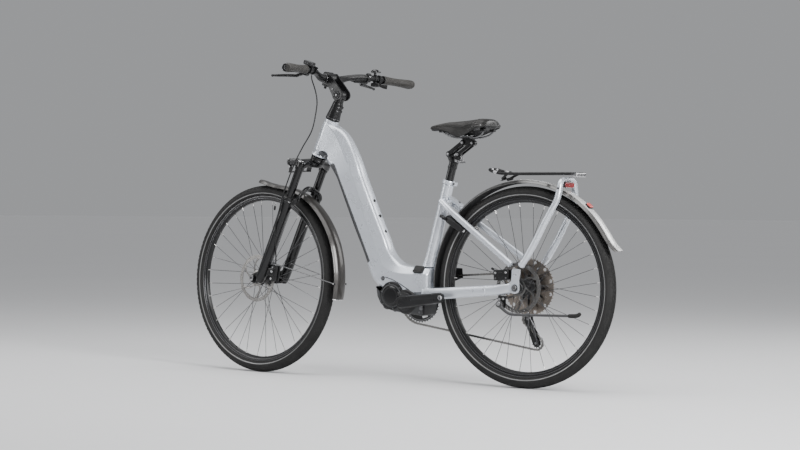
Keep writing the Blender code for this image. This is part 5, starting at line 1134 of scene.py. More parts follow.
# battery cover strip with its two ridges
strip = prism(fillet([(0.0008, -0.0187), (BAY_LEN - 0.0008, -0.0187), (BAY_LEN - 0.0008, 0.060), (0.0008, 0.060)], [0.0154, 0.0064, 0, 0], True, 6), -0.08, 0.08, 0, BAY_TOP, BAY_U, BAY_N, YAX)
strip = carve(strip, [sweep(dt_rows, main_section(-0.0003), (0, 1, 0), END_DIRS)], "INTERSECT")
groove_outer = prism(fillet([(0.0100, -0.0112), (BAY_LEN - 0.0100, -0.0112), (BAY_LEN - 0.0100, -0.0098), (0.0100, -0.0098)], 0.0005), 0.0320, 0.08, 0, BAY_TOP, BAY_U, BAY_N, YAX)
strip = carve(strip, [groove_outer, mirror_y(groove_outer)])
p = Piece("battery_cover_strip", "battery_pack")
p.add(strip, BATTERY)
p.add(block(bay_mid + BAY_U * 0.0050 - BAY_N * 0.0405, (BAY_LEN - 0.028, 0.0560, 0.0580), BAY_U, YAX, 0.004), PLASTIC)
p.make(["battery"], angle=30)

# charge port cap: soft cover with a raised rim and a pull tab
p = Piece("charge_port_cover", "port_cap")
rim_poly = fillet([(-0.0203, -0.0163), (0.0203, -0.0163), (0.0203, 0.0163), (-0.0203, 0.0163)], 0.0048, True, 6)
p.add(prism(rim_poly, 0.0004, 0.0062, 0.0012, CAP_C, CAP_U, CAP_V, CAP_N), RUBBER)
p.add(prism([(x * 0.80, y * 0.76) for x, y in rim_poly], 0.0055, 0.0072, 0.0008, CAP_C, CAP_U, CAP_V, CAP_N), RUBBER)
p.add(tube([tuple(CAP_C + CAP_U * x * 0.97 + CAP_V * y * 0.97 + CAP_N * 0.0060) for x, y in rim_poly + rim_poly[:1]], 0.0005, 6, cap=False), PLASTIC_GREY)
p.add(block(CAP_C - CAP_U * 0.0165 + CAP_N * 0.0072, (0.0050, 0.0130, 0.0022), CAP_U, CAP_V, 0.0008), RUBBER)
p.make(["charge_port_cap"])

# ------------------------------------------------------------------ seat tube, seat clamp
st_rows = [(0.4218, 0.0268), (0.4260, 0.0258), (0.4350, 0.0246), (0.4500, 0.0236), (0.4800, 0.0226), (0.5300, 0.0219), (0.6000, 0.0211), (0.6900, 0.0203), (0.7110, 0.0201), (0.7125, 0.0208), (0.7195, 0.0208), (0.7210, 0.0201)]
st_path = [(seat_x(z), 0, z) for z, r in st_rows]
seat_skin = tube([(seat_x(0.4100), 0, 0.4100)] + st_path, [0.0290] + [r for z, r in st_rows], 64, side=(0, 1, 0))
seat_skin = carve(seat_skin, [rod((seat_x(0.56), 0, 0.56), (seat_x(0.80), 0, 0.80), 0.0161, 48), block((0.40, 0, 0.3718), (0.2, 0.2, 0.1))])
p = Piece("seat_tube_shell", "frame")
p.add(seat_skin, SILVER)
p.add(bead([(seat_x(0.4225) + 0.0266 * math.cos(t) * 1.03, 0.0266 * math.sin(t), 0.4226) for t in np.linspace(0, 2 * math.pi, 48, endpoint=False)], 0.0016), SILVER)
p.make(["seat_tube"], angle=30)

cl_a = A(seat_x(0.7218), 0, 0.7218)
p = Piece("seat_clamp_ring", "frame")
p.add(turned([(0.0164, 0.0), (0.0216, 0.0), (0.0235, 0.0016), (0.0235, 0.0118), (0.0222, 0.0150), (0.0164, 0.0150)], 0.0008, cl_a, SEAT_DIR, 64, closed=True), SILVER)
p.add(ring_of(cl_a + SEAT_DIR * 0.0028, SEAT_DIR, 0.0235, 0.0005, 64, 6), SILVER_IN)
lug_c = cl_a + SEAT_DIR * 0.0075 + A(-0.0255, 0, -0.0065)
for s in (1, -1):
    p.add(block(lug_c + A(0, 0.0052 * s, 0), (0.012, 0.0076, 0.0135), (1, 0, 0.25), YAX, 0.0016), SILVER)
p.add(bolt(lug_c + A(-0.001, 0.0088, 0), YAX, 0.0042, 0.0030), STEEL_DARK)
p.add(rod(lug_c + A(-0.001, -0.0095, 0), lug_c + A(-0.001, 0.0095, 0), 0.0026, 14), STEEL_DARK)
p.make(["seat_clamp"])

# ------------------------------------------------------------------ stays
DROP = [(-0.0165, 0.351), (-0.012, 0.341), (0.0, 0.3375), (0.014, 0.340), (0.034, 0.343), (0.034, 0.370), (0.0150, 0.381), (0.0125, 0.400), (0.0120, 0.4250), (-0.0180, 0.4250), (-0.0200, 0.412), (-0.0150, 0.384)]


def chainstay(s, name, node):
    rows = smooth_path([(0.4090, 0.0400 * s, 0.3210, 0.0218, 0.0085), (0.330, 0.0440 * s, 0.3270, 0.0210, 0.0085), (0.220, 0.0560 * s, 0.3370, 0.0200, 0.0088), (0.120, 0.0680 * s, 0.3450, 0.0190, 0.0090), (0.060, 0.0750 * s, 0.3510, 0.0180, 0.0088), (0.020, 0.0752 * s, 0.3560, 0.0165, 0.0080)], 46)
    stay = sweep([tuple(r) for r in rows], lambda i, row: oval(row[3], row[4], 40, 2.7), side=(0, 1, 0), ends=((-1, 0, 0), (-1, 0, 0)))
    lo, hi = sorted((0.0707 * s, 0.0793 * s))
    drop = prism(fillet(DROP, 0.0075, True, 5), lo, hi, 0.0014)
    skin = carve(stay, [drop], "UNION")
    if s < 0:
        skin = carve(skin, [prism(fillet([(-0.016, 0.350), (0.016, 0.350), (0.020, 0.322), (0.008, 0.312), (-0.008, 0.314)], 0.004), -0.0780, -0.0720, 0.0008)], "UNION")
    skin = carve(skin, [rod((0, 0.060 * s, TYRE_R), (0, 0.090 * s, TYRE_R), 0.0068, 40)])
    p = Piece(name, "frame")
    p.add(skin, SILVER)
    i = int(np.argmin(abs(rows[:, 0] - 0.120)))
    r = rows[i]
    p.add(bead(section_ring(r[:3], rows[i + 1][:3] - rows[i - 1][:3], YAX, r[3], r[4], 2.7, 40, 0.0001), 0.0013), SILVER)
    r = rows[1]
    p.add(bead(section_ring(rows[0][:3] + A(-0.0012, 0, 0), (-1, 0, 0), YAX, r[3], r[4], 2.7, 40, 0.0001), 0.0014), SILVER)
    p.add(turned([(0.0072, 0.0), (0.0128, 0.0), (0.0138, 0.0008), (0.0138, -0.003), (0.0072, -0.003)], 0.0003, (0, 0.0793 * s, TYRE_R), (0, s, 0), 48, closed=True), SILVER)
    p.make([node], angle=30)


chainstay(1, "chainstay_left_shell", "chainstay_left")
chainstay(-1, "chainstay_right_shell", "chainstay_right")

p = Piece("seatstays_shell", "frame")
stay_skins = [tube(smooth_path([(0.3440, 0.0265 * s, 0.6630), (0.3000, 0.0395 * s, 0.6320), (0.2680, 0.0440 * s, 0.6090), (0.0200, 0.0700 * s, 0.4395)], 30), 0.0118, 36, side=(0, 1, 0), b=0.0105, tip=0.003) for s in (1, -1)]
skin = carve(stay_skins[0], [rod((0.3180, -0.0340, 0.6570), (0.3180, 0.0340, 0.6570), 0.0090, 32), stay_skins[1], block((0.2947, 0, 0.6580), (0.055, 0.026, 0.012), (0.842, 0, 0.539), YAX, 0.003)], "UNION")
skin = carve(skin, [rod((seat_x(0.45), 0, 0.45), (seat_x(0.78), 0, 0.78), 0.0213, 56)])
p.add(skin, SILVER)
for s in (1, -1):
    p.add(bead(section_ring((0.0235, 0.06965 * s, 0.4418), (0.248, -0.026 * s, 0.1695), YAX, 0.0118, 0.0105, 2, 36, 0.0), 0.0013), SILVER)
    loop_ = []
    for t in np.linspace(0, 2 * math.pi, 26, endpoint=False):
        z = 0.6630 + 0.0150 * math.sin(t)
        y = (0.0150 + 0.0110 * math.cos(t)) * s
        x = seat_x(z) + math.sqrt(max(0.0209**2 - y**2, 1e-8)) * -1.0
        loop_.append((x, y, z))
    p.add(bead(loop_, 0.0012), SILVER)
p.add(turned([(0.0, -0.001), (0.0048, -0.001), (0.0048, 0.0026), (0.0, 0.0030)], 0.0006, A(0.2800, 0, 0.6560), unit((-0.539, 0, 0.842)), 24), STEEL_DARK)
p.make(["seatstays"], angle=30)

# ------------------------------------------------------------------ carrier hoop and platform
half = [(-0.0225, 0.0750, 0.4345, 0.0120), (-0.0480, 0.0758, 0.4690, 0.0120), (-0.0850, 0.0765, 0.5290, 0.0120), (-0.1190, 0.0755, 0.5910, 0.0118), (-0.1450, 0.0720, 0.6360, 0.0116), (-0.1600, 0.0640, 0.6700, 0.0114), (-0.1640, 0.0560, 0.7030, 0.0112), (-0.1645, 0.0500, 0.7240, 0.0105), (-0.1650, 0.0380, 0.7365, 0.0090), (-0.1652, 0.0180, 0.7400, 0.0080)]
hoop_rows = smooth_path(half + [(x, -y, z, r) for x, y, z, r in reversed(half)], 150)
p = Piece("carrier_hoop_tube", "frame")
p.add(tube(hoop_rows, [r[3] for r in hoop_rows], 32, tip=0.003), SILVER)
for s in (1, -1):
    p.add(bead(section_ring((-0.0262, 0.0752 * s, 0.4395), (-0.0255, 0.0, 0.0345), YAX, 0.0120, 0.0120, 2, 32, 0.0001), 0.0013), SILVER)
    p.add(turned([(0.0, 0.0), (0.0056, 0.0), (0.0050, 0.0022), (0.0, 0.0026)], 0.0005, (-0.1640, 0.0540 * s + 0.0105 * s, 0.7080), (0, s, 0), 20), STEEL_DARK)
p.make(["carrier_hoop"])

RAIL_Z = 0.7600
ring_half = [(-0.205, 0.043, RAIL_Z), (-0.10, 0.043, RAIL_Z), (0.060, 0.040, RAIL_Z), (0.100, 0.040, RAIL_Z + 0.004), (0.128, 0.036, RAIL_Z + 0.011), (0.136, 0.022, RAIL_Z + 0.015)]
p = Piece("carrier_rack", "frame")
p.add(tube(smooth_path(ring_half + [(x, -y, z) for x, y, z in reversed(ring_half)], 150), 0.0052, 20, tip=0.002), BLACK_SATIN)
for x in (-0.198, -0.095, 0.045):
    p.add(block((x, 0, RAIL_Z), (0.016, 0.086, 0.0058), b=0.0018), BLACK_SATIN)
    for s in (1, -1):
        p.add(bead([(x + 0.0082 * math.cos(t), 0.0385 * s, RAIL_Z + 0.0030 * math.sin(t)) for t in np.linspace(0, 2 * math.pi, 20, endpoint=False)], 0.0009), BLACK_SATIN)
p.add(prism(fillet([(-0.202, -0.009), (0.048, -0.009), (0.048, 0.009), (-0.202, 0.009)], 0.006), RAIL_Z - 0.0028, RAIL_Z + 0.0029, 0.0012, (0, 0, 0), (1, 0, 0), (0, 1, 0), (0, 0, 1)), BLACK_SATIN)
for x in (-0.170, -0.050, 0.0):
    p.add(prism(fillet([(x - 0.022, -0.0035), (x + 0.022, -0.0035), (x + 0.022, 0.0035), (x - 0.022, 0.0035)], 0.0034), RAIL_Z + 0.0024, RAIL_Z + 0.0032, 0, (0, 0, 0), (1, 0, 0), (0, 1, 0), (0, 0, 1)), PLASTIC_GREY)
for s in (1, -1):
    p.add(tube(smooth_path([(0.052, 0.040 * s, RAIL_Z), (0.062, 0.036 * s, 0.7560), (0.085, 0.026 * s, 0.7420)], 14), 0.0045, 18, tip=0.0015), BLACK_SATIN)
    p.add(prism(capsule2((0.074, 0.7430), (0.090, 0.7395), 0.0055, 0.0055, 10), 0.0215 * s, 0.0245 * s, 0.0006), BLACK_SATIN)
    p.add(bolt((0.0885, 0.0262 * s, 0.7400), (0, s, 0), 0.0040, 0.0028), STEEL)
    p.add(turned([(0.0, 0.0), (0.0062, 0.0), (0.0062, 0.0080), (0.0, 0.0084)], 0.0010, (0.0905, 0.0350 * s, RAIL_Z + 0.0030), (0, s, 0), 20), PLASTIC)
# spring clip ends at the back, and the bright sockets at the front loop
p.add(block((-0.2110, 0, RAIL_Z - 0.0045), (0.0200, 0.0680, 0.0150), b=0.0035, seg=3), STEEL)
p.add(block((-0.2110, 0, RAIL_Z + 0.0032), (0.0120, 0.0700, 0.0016), b=0.0006), PLASTIC)
for y in (-0.024, 0.0, 0.024):
    p.add(block((-0.2215, y, RAIL_Z - 0.0045), (0.0016, 0.0150, 0.0085), b=0.0006), STEEL_DARK)
for s in (1, -1):
    p.add(tube([(0.098, 0.040 * s, RAIL_Z + 0.0037), (0.112, 0.0392 * s, RAIL_Z + 0.0065)], 0.0060, 20, tip=0.001), STEEL)
    p.add(tube([(0.1345, 0.012 * s, RAIL_Z + 0.0148), (0.1352, 0.021 * s, RAIL_Z + 0.0147)], 0.0060, 20, tip=0.001), STEEL)
p.make(["carrier_platform"])


# ------------------------------------------------------------------ mudguards
def shell_guard(piece, c, keys, thickness, wrap, top_look, side_look, under_look, steps=96, n=27):
    k = np.array(keys, float)
    verts, faces_top, faces_side, faces_under = [], [], [], []
    angles = np.linspace(k[0, 0], k[-1, 0], steps)
    per = 2 * n
    for i, a in enumerate(angles):
        r, w = np.interp(a, k[:, 0], k[:, 1]), np.interp(a, k[:, 0], k[:, 2])
        ease = min(min(i, steps - 1 - i) / 3.0, 1.0)
        w *= 0.80 + 0.20 * math.sqrt(ease * (2 - ease))
        t = math.radians(a)
        out = A(math.cos(t), 0, math.sin(t))
        outer, inner = [], []
        for j in range(n):
            f = -1 + 2 * j / (n - 1)
            ridge = 0.0007 * math.exp(-((abs(f) - 0.60) / 0.045) ** 2) + 0.0008 * math.exp(-((abs(f) - 0.985) / 0.03) ** 2)
            rr = r - wrap * abs(f) ** 2.6
            outer.append((f * w, rr - 0.0011 + ridge))
            inner.append((f * (w - 0.0010), rr - 0.0011 - thickness + 0.0016 * max(abs(f) - 0.94, 0) / 0.06))
        for y, rr in outer + inner[::-1]:
            verts.append(c + out * rr + A(0, y, 0))
    for i in range(steps - 1):
        for j in range(per):
            j2 = (j + 1) % per
            q = (i * per + j, i * per + j2, (i + 1) * per + j2, (i + 1) * per + j)
            f = abs(-1 + 2 * (j + 0.5) / (n - 1))
            (faces_under if j >= n else faces_side if f > 0.60 else faces_top).append(q)
    for i in (0, steps - 1):
        for j in range(n - 1):
            faces_side.append((i * per + j, i * per + j + 1, i * per + per - 2 - j, i * per + per - 1 - j))
    base = piece.count
    piece.v.append(np.array(verts))
    piece.count += len(verts)
    for fs, look in ((faces_top, top_look), (faces_side, side_look), (faces_under, under_look)):
        if look not in piece.mats:
            piece.mats.append(look)
        piece.f += [tuple(base + x for x in q) for q in fs]
        piece.mi += [piece.mats.index(look)] * len(fs)


p = Piece("rear_guard_shell", "frame")
# the top in the near-white grey is painted highlight; the sides keep the guard's own darker grey
shell_guard(p, HUB_R, [(-2, 0.3838, 0.0262), (20, 0.383, 0.0275), (50, 0.383, 0.0310), (145, 0.383, 0.0315), (152, 0.3855, 0.0320), (156, 0.3910, 0.0328), (160.2, 0.4045, 0.0345)][::1], 0.0024, 0.012, GUARD_R_PAINTED_HIGHLIGHT, GUARD_B, GUARD_IN, 120)
t131 = math.radians(131)
d131 = A(math.cos(t131), 0, math.sin(t131))
e131 = A(-math.sin(t131), 0, math.cos(t131))
p.add(prism(fillet([(-0.0125, -0.0118), (0.0125, -0.0118), (0.0125, 0.0118), (-0.0125, 0.0118)], 0.005, True, 5), 0.3800, 0.3862, 0.0010, HUB_R, e131, YAX, d131), PLASTIC)
p.add(prism(fillet([(-0.0108, -0.0105), (0.0108, -0.0105), (0.0108, 0.0105), (-0.0108, 0.0105)], 0.0045, True, 5), 0.3850, 0.3903, 0.0016, HUB_R, e131, YAX, d131), REFLECTOR)
for a_, y_ in ((86.0, 0.0), (112.0, 0.012), (112.0, -0.012)):
    t_ = math.radians(a_)
    d_ = A(math.cos(t_), 0, math.sin(t_))
    p.add(turned([(0.0, -0.001), (0.0048, -0.001), (0.0042, 0.0016), (0.0, 0.0020)], 0.0005, HUB_R + d_ * 0.3818 + A(0, y_, 0), d_, 20), STEEL)
p.make(["rear_mudguard"], angle=50)

p = Piece("rear_light_unit", "frame")
p.add(tube([(-0.1585, 0, 0.7210), (-0.1700, 0, 0.7203)], [0.0098, 0.0102], 48, side=(0, 1, 0), b=[0.0270, 0.0280], e=3.6, tip=0.0012), PLASTIC)
p.add(tube([(-0.1695, 0, 0.7202), (-0.1745, 0, 0.7200), (-0.1785, 0, 0.7200)], [0.0101, 0.0101, 0.0090], 48, side=(0, 1, 0), b=[0.0278, 0.0276, 0.0255], e=3.6, tip=0.0012), LENS_RED)
p.make(["rear_light"])

# ------------------------------------------------------------------ motor
p = Piece("motor_housing", "frame")
MC = A(0.5395, 0.0, 0.3125)
p.add(turned([(0.0, -0.046), (0.046, -0.046), (0.0518, -0.041), (0.0518, 0.0462), (0.0505, 0.0485), (0.0, 0.0485)], 0.003, MC, YAX, 96, k=4), BLACK_SATIN)
p.add(turned([(0.0, 0.047), (0.0500, 0.047), (0.0500, 0.0515), (0.0475, 0.0532), (0.0445, 0.0532), (0.0438, 0.0520), (0.0, 0.0520)], 0.0008, MC, YAX, 96), BLACK_SATIN)
p.add(turned([(0.0375, 0.0515), (0.0434, 0.0515), (0.0427, 0.0552), (0.0384, 0.0562)], 0.0010, MC, YAX, 96, closed=True), PLASTIC_GREY)
p.add(turned([(0.0, 0.0515), (0.0370, 0.0515), (0.0366, 0.0570), (0.0322, 0.0606), (0.0200, 0.0610), (0.0, 0.0610)], 0.0014, MC, YAX, 96, k=4), BLACK_GLOSS)
for r_ in (0.0285, 0.0170):
    p.add(ring_of(MC + A(0, 0.0606, 0), YAX, r_, 0.0004, 72, 6), PLASTIC_GREY)
for i in range(6):
    a_ = math.radians(20 + 60 * i)
    q = MC + A(math.cos(a_) * 0.0466, 0.0530, math.sin(a_) * 0.0466)
    p.add(bolt(q, YAX, 0.0026, 0.0014, 14), STEEL_DARK)
BC = A(BB[0], 0.0, BB[1])
p.add(turned([(0.0, -0.046), (0.042, -0.046), (0.046, -0.042), (0.046, 0.0465), (0.0415, 0.0526), (0.0330, 0.0545), (0.0310, 0.0570), (0.0240, 0.0590), (0.0225, 0.0618), (0.0130, 0.0620), (0.0130, 0.050), (0.0, 0.050)], 0.0012, BC, YAX, 80, k=3), BLACK_SATIN)
p.add(ring_of(BC + A(0, 0.0578, 0), YAX, 0.0275, 0.0006, 64, 6), PLASTIC_GREY)
SKID = [(0.6125, 0.3460), (0.6105, 0.3387), (0.6060, 0.3095), (0.5925, 0.2835), (0.5745, 0.2675), (0.5380, 0.2575), (0.4880, 0.2510), (0.4440, 0.2475), (0.4110, 0.2430), (0.4000, 0.2470), (0.3980, 0.2880), (0.4300, 0.2960), (0.5750, 0.3000), (0.5900, 0.3200), (0.5980, 0.3460)]
p.add(prism(fillet(SKID, [0.001, 0.02, 0.03, 0.03, 0.03, 0.05, 0.05, 0.03, 0.008, 0.008, 0.006, 0.01, 0.01, 0.01, 0.001], True, 5), -0.0400, 0.0475, 0.0060), PLASTIC)
inset = [(x + (0.535 - x) * 0.030, z + (0.300 - z) * 0.05 + 0.0010) for x, z in SKID[1:10]]
side_poly = inset + [(0.4070, 0.2760), (0.5800, 0.2900), (0.5960, 0.3300)]
p.add(prism(fillet(side_poly, 0.004), 0.0462, 0.0484, 0.0008), PLASTIC_GREY)
p.add(prism(fillet(side_poly, 0.004), -0.0412, -0.0390, 0.0008), PLASTIC_GREY)
for x, z in ((0.4180, 0.2560), (0.5890, 0.2940)):
    p.add(bolt((x, 0.0480, z), YAX, 0.0034, 0.0024, 18), STEEL_DARK)
for i in range(4):
    p.add(tube([(0.4300 + i * 0.037, -0.030, 0.2478 + i * 0.0024), (0.4300 + i * 0.037, 0.030, 0.2478 + i * 0.0024)], 0.0018, 10, tip=0.0008), PLASTIC)
p.add(prism(fillet([(0.4040, 0.2650), (0.4180, 0.2650), (0.4180, 0.2890), (0.4040, 0.2860)], 0.003), 0.0460, 0.0500, 0.0010), STEEL_DARK)
p.make(["motor_unit"])


# ------------------------------------------------------------------ fork crown, steerer and stanchions
def on_leg(z, s, extra=0.0):
    return A(head_x(z) + (LEG_OFFSET + extra) / SIN_H, LEG_HALF * s, z)


ZAX, XAX = A(0, 0, 1), A(1, 0, 0)
ST_TOP = A(head_x(0.988), 0, 0.988)
CROWN_Z = 0.7900
crown_pts = []
for y, up_, fwd_, hx, hz in ((-0.0845, -0.006, LEG_OFFSET, 0.0160, 0.0150), (-0.0665, -0.004, LEG_OFFSET, 0.0200, 0.0170), (-0.038, 0.004, 0.012, 0.0200, 0.0135), (0.0, 0.008, 0.006, 0.0270, 0.0135), (0.038, 0.004, 0.012, 0.0200, 0.0135), (0.0665, -0.004, LEG_OFFSET, 0.0200, 0.0170), (0.0845, -0.006, LEG_OFFSET, 0.0160, 0.0150)):
    q = A(head_x(CROWN_Z), 0, CROWN_Z) + AXIS_NORMAL * fwd_ + AXIS_DIR * up_
    crown_pts.append((q[0], y, q[2], hx, hz))
rows = [list(r) for r in smooth_path(crown_pts, 60)]
for r in rows:
    edge = max(abs(r[1]) - 0.0775, 0) / 0.0070
    k_ = math.sqrt(max(1 - 0.80 * edge**2, 0.1))
    r[3], r[4] = r[3] * k_, r[4] * k_
verts, faces, n_ = [], [], 36
for x, y, z, hx, hz in rows:
    verts += [A(x, y, z) + AXIS_NORMAL * u + AXIS_DIR * v for u, v in oval(hx, hz, n_, 3.0)]
for i in range(len(rows) - 1):
    faces += [(i * n_ + j, i * n_ + (j + 1) % n_, (i + 1) * n_ + (j + 1) % n_, (i + 1) * n_ + j) for j in range(n_)]
faces += [tuple(range(n_)), tuple((len(rows) - 1) * n_ + j for j in range(n_))]
p = Piece("fork_crown_stanchions", "steering_unit", True)
p.add((np.array(verts), faces), BLACK_GLOSS)
p.add(rod(A(head_x(0.800), 0, 0.800), ST_TOP, 0.0165, 48), STEEL_DARK)
p.add(turned([(0.0, 0.0), (0.0285, 0.0), (0.0285, 0.0060), (0.0275, 0.0075), (0.0285, 0.0090), (0.0285, 0.0170), (0.0200, 0.0200), (0.0, 0.0200)], 0.0008, A(head_x(0.8075), 0, 0.8075), AXIS_DIR, 64), BLACK_MET)
for s in (1, -1):
    p.add(rod(on_leg(0.790, s), on_leg(0.560, s), 0.0150, 56), BLACK_GLOSS)
    top = on_leg(0.8015, s)
    p.add(turned([(0.0, -0.004), (0.0165, -0.004), (0.0165, 0.0012), (0.0150, 0.0030), (0.0118, 0.0034), (0.0112, 0.0058), (0.0, 0.0062)], 0.0008, top, AXIS_DIR, 40), STEEL if s > 0 else PLASTIC_GREY)
    p.add(block(top + AXIS_DIR * 0.0062, (0.0160, 0.0034, 0.0030), XAX, YAX, 0.0010), PLASTIC if s > 0 else STEEL_DARK)
    low = on_leg(0.772, s)
    p.add(turned([(0.0150, 0.0), (0.0172, 0.0), (0.0178, 0.0020), (0.0178, 0.0100), (0.0150, 0.0100)], 0.0008, low, AXIS_DIR, 48, closed=True), BLACK_GLOSS)
p.make(["fork_upper"], angle=34)

# ------------------------------------------------------------------ headset cover, stem base and stem
SB_LOW = A(head_x(0.9636), 0, 0.9636)
PIV = A(0.8090, 0.0, 1.0530)
p = Piece("stem_lower_part", "steering_unit", True)
p.add(turned([(0.0168, 0.0), (0.0268, 0.0), (0.0274, 0.0040), (0.0274, 0.0066), (0.0262, 0.0074), (0.0262, 0.0082), (0.0268, 0.0090), (0.0262, 0.0130), (0.0240, 0.0280), (0.0212, 0.0480), (0.0196, 0.0660), (0.0168, 0.0720)], 0.0010, SB_LOW, AXIS_DIR, 72, closed=True), BLACK_MET)
p.add(ring_of(SB_LOW + AXIS_DIR * 0.0078, AXIS_DIR, 0.0266, 0.0005, 64, 6), STEEL_DARK)
tang = tube([SB_LOW + AXIS_DIR * 0.030, SB_LOW + AXIS_DIR * 0.060, SB_LOW + AXIS_DIR * 0.088], [0.0186, 0.0178, 0.0172], 56, tip=0.002)
end_ = turned([(0.0, -0.0184), (0.0180, -0.0184), (0.0180, 0.0184), (0.0, 0.0184)], 0.0014, PIV, YAX, 64)
base_ = carve(tang, [end_], "UNION")
base_ = carve(base_, [rod(PIV - YAX * 0.03, PIV + YAX * 0.03, 0.0062, 24)] + [rod(PIV + YAX * 0.0186 * s, PIV + YAX * 0.06 * s, 0.0240, 48) for s in (1, -1)])
p.add(base_, BLACK_MET)
for h in (0.040, 0.056):
    q = SB_LOW + AXIS_DIR * h - AXIS_NORMAL * 0.0190
    p.add(block(q, (0.0090, 0.0240, 0.0110), AXIS_NORMAL, YAX, 0.0024), BLACK_MET)
    p.add(bolt(q + YAX * 0.0118 - AXIS_NORMAL * 0.0010, YAX, 0.0036, 0.0030, 20), STEEL_DARK)
p.make(["stem_base"])

BARC = A(0.8660, 0.0, 1.1170)
ARM_DIR = unit(BARC - PIV)
CHEEK = [(0.8500, 1.1375), (0.7860, 1.0680), (0.7805, 1.0560), (0.7835, 1.0440), (0.7930, 1.0360), (0.8060, 1.0330), (0.8190, 1.0350), (0.8280, 1.0420), (0.8330, 1.0550), (0.8520, 1.0850), (0.8700, 1.0960), (0.8780, 1.1200), (0.8640, 1.1380)]
p = Piece("stem_tilting_arm", "cockpit", True)
bar_gap = rod(BARC - YAX * 0.05, BARC + YAX * 0.05, 0.0167, 48)
for s in (1, -1):
    lo, hi = sorted((0.0190 * s, 0.0252 * s))
    cheek = prism(fillet(CHEEK, [0.006, 0.012, 0.012, 0.012, 0.012, 0.014, 0.012, 0.012, 0.02, 0.02, 0.012, 0.012, 0.006], True, 4), lo, hi, 0.0018)
    p.add(carve(cheek, [bar_gap]), BLACK_MET)
    p.add(turned([(0.0, 0.0242), (0.0150, 0.0242), (0.0156, 0.0252), (0.0156, 0.0270), (0.0140, 0.0278), (0.0100, 0.0278), (0.0092, 0.0266), (0.0, 0.0266)], 0.0005, PIV, (0, s, 0), 48), BLACK_SATIN)
    p.add(ring_of(PIV + YAX * 0.0276 * s, YAX, 0.0132, 0.0007, 48, 8), STEEL_DARK)
    p.add(bolt(PIV + YAX * 0.0262 * s, (0, s, 0), 0.0082, 0.0018, 36), PLASTIC)
    q = PIV + ARM_DIR * 0.0300 + YAX * 0.0252 * s
    p.add(bolt(q, (0, s, 0), 0.0036, 0.0016, 24), STEEL_DARK)
clamp_ = carve(turned([(0.0, -0.0262), (0.0222, -0.0262), (0.0222, 0.0262), (0.0, 0.0262)], 0.0016, BARC, YAX, 64), [bar_gap])
p.add(clamp_, BLACK_MET)
p.add(rod(PIV - YAX * 0.0275, PIV + YAX * 0.0275, 0.0058, 24), STEEL_DARK)
face_d = unit(A(0.72, 0, 0.69))
p.add(block(BARC + face_d * 0.0212, (0.0040, 0.0500, 0.0300), face_d, YAX, 0.0016), BLACK_SATIN)
for sy in (1, -1):
    for su in (1, -1):
        q = BARC + face_d * 0.0226 + YAX * 0.0180 * sy + np.cross(face_d, YAX) * 0.0105 * su
        p.add(bolt(q, face_d, 0.0034, 0.0022, 20), STEEL)
p.add(block(PIV + ARM_DIR * 0.0420 + A(0.0035, 0, -0.0030), (0.0260, 0.0440, 0.0100), ARM_DIR, YAX, 0.0020), BLACK_SATIN)
p.add(block((0.8800, 0.0, 1.0960), (0.0290, 0.0290, 0.0130), (0.95, 0, 0.28), YAX, 0.0036, 3), PLASTIC)
p.add(rod((0.8870, 0.0, 1.0910), (0.8900, 0.0, 1.0820), 0.0050, 24, tip=0.001), PLASTIC)
p.make(["stem_arm"])

# ------------------------------------------------------------------ handlebar, grips
half_bar = [(0.8660, 0.0000, 1.1170, 0.0158), (0.8660, 0.0300, 1.1170, 0.0158), (0.8650, 0.0520, 1.1178, 0.0146), (0.8540, 0.0850, 1.1270, 0.0116), (0.8340, 0.1200, 1.1335, 0.0112), (0.8160, 0.1500, 1.1345, 0.0111), (0.7985, 0.1900, 1.1325, 0.0111), (0.7885, 0.2400, 1.1293, 0.0111), (0.7735, BAR_HALF - 0.002, 1.1235, 0.0111)]
bar_keys = [(x, -y, z, r) for x, y, z, r in reversed(half_bar)] + half_bar[1:]
bar_rows = smooth_path(bar_keys, 29)
bar_half_rows = np.array(sorted(((abs(r[1]), r[0], r[2]) for r in bar_rows if r[1] > -1e-6)))


def bar_point(y):
    a = abs(y)
    return A(np.interp(a, bar_half_rows[:, 0], bar_half_rows[:, 1]), y, np.interp(a, bar_half_rows[:, 0], bar_half_rows[:, 2]))


def bar_dir(y):
    return unit(bar_point(y + 0.008) - bar_point(y - 0.008))


fine = smooth_path(bar_keys, 150)
p = Piece("handlebar_tube", "cockpit", True)
p.add(sweep(fine, lambda i, row: oval(row[3], row[3], 40)), BLACK_SATIN)
for s in (1, -1):
    q, d = bar_point(0.0300 * s), bar_dir(0.0300 * s)
    p.add(ring_of(q + d * 0.0010 * s, d, 0.0159, 0.0004, 48, 6), STEEL_DARK)
p.make(["handlebar"])


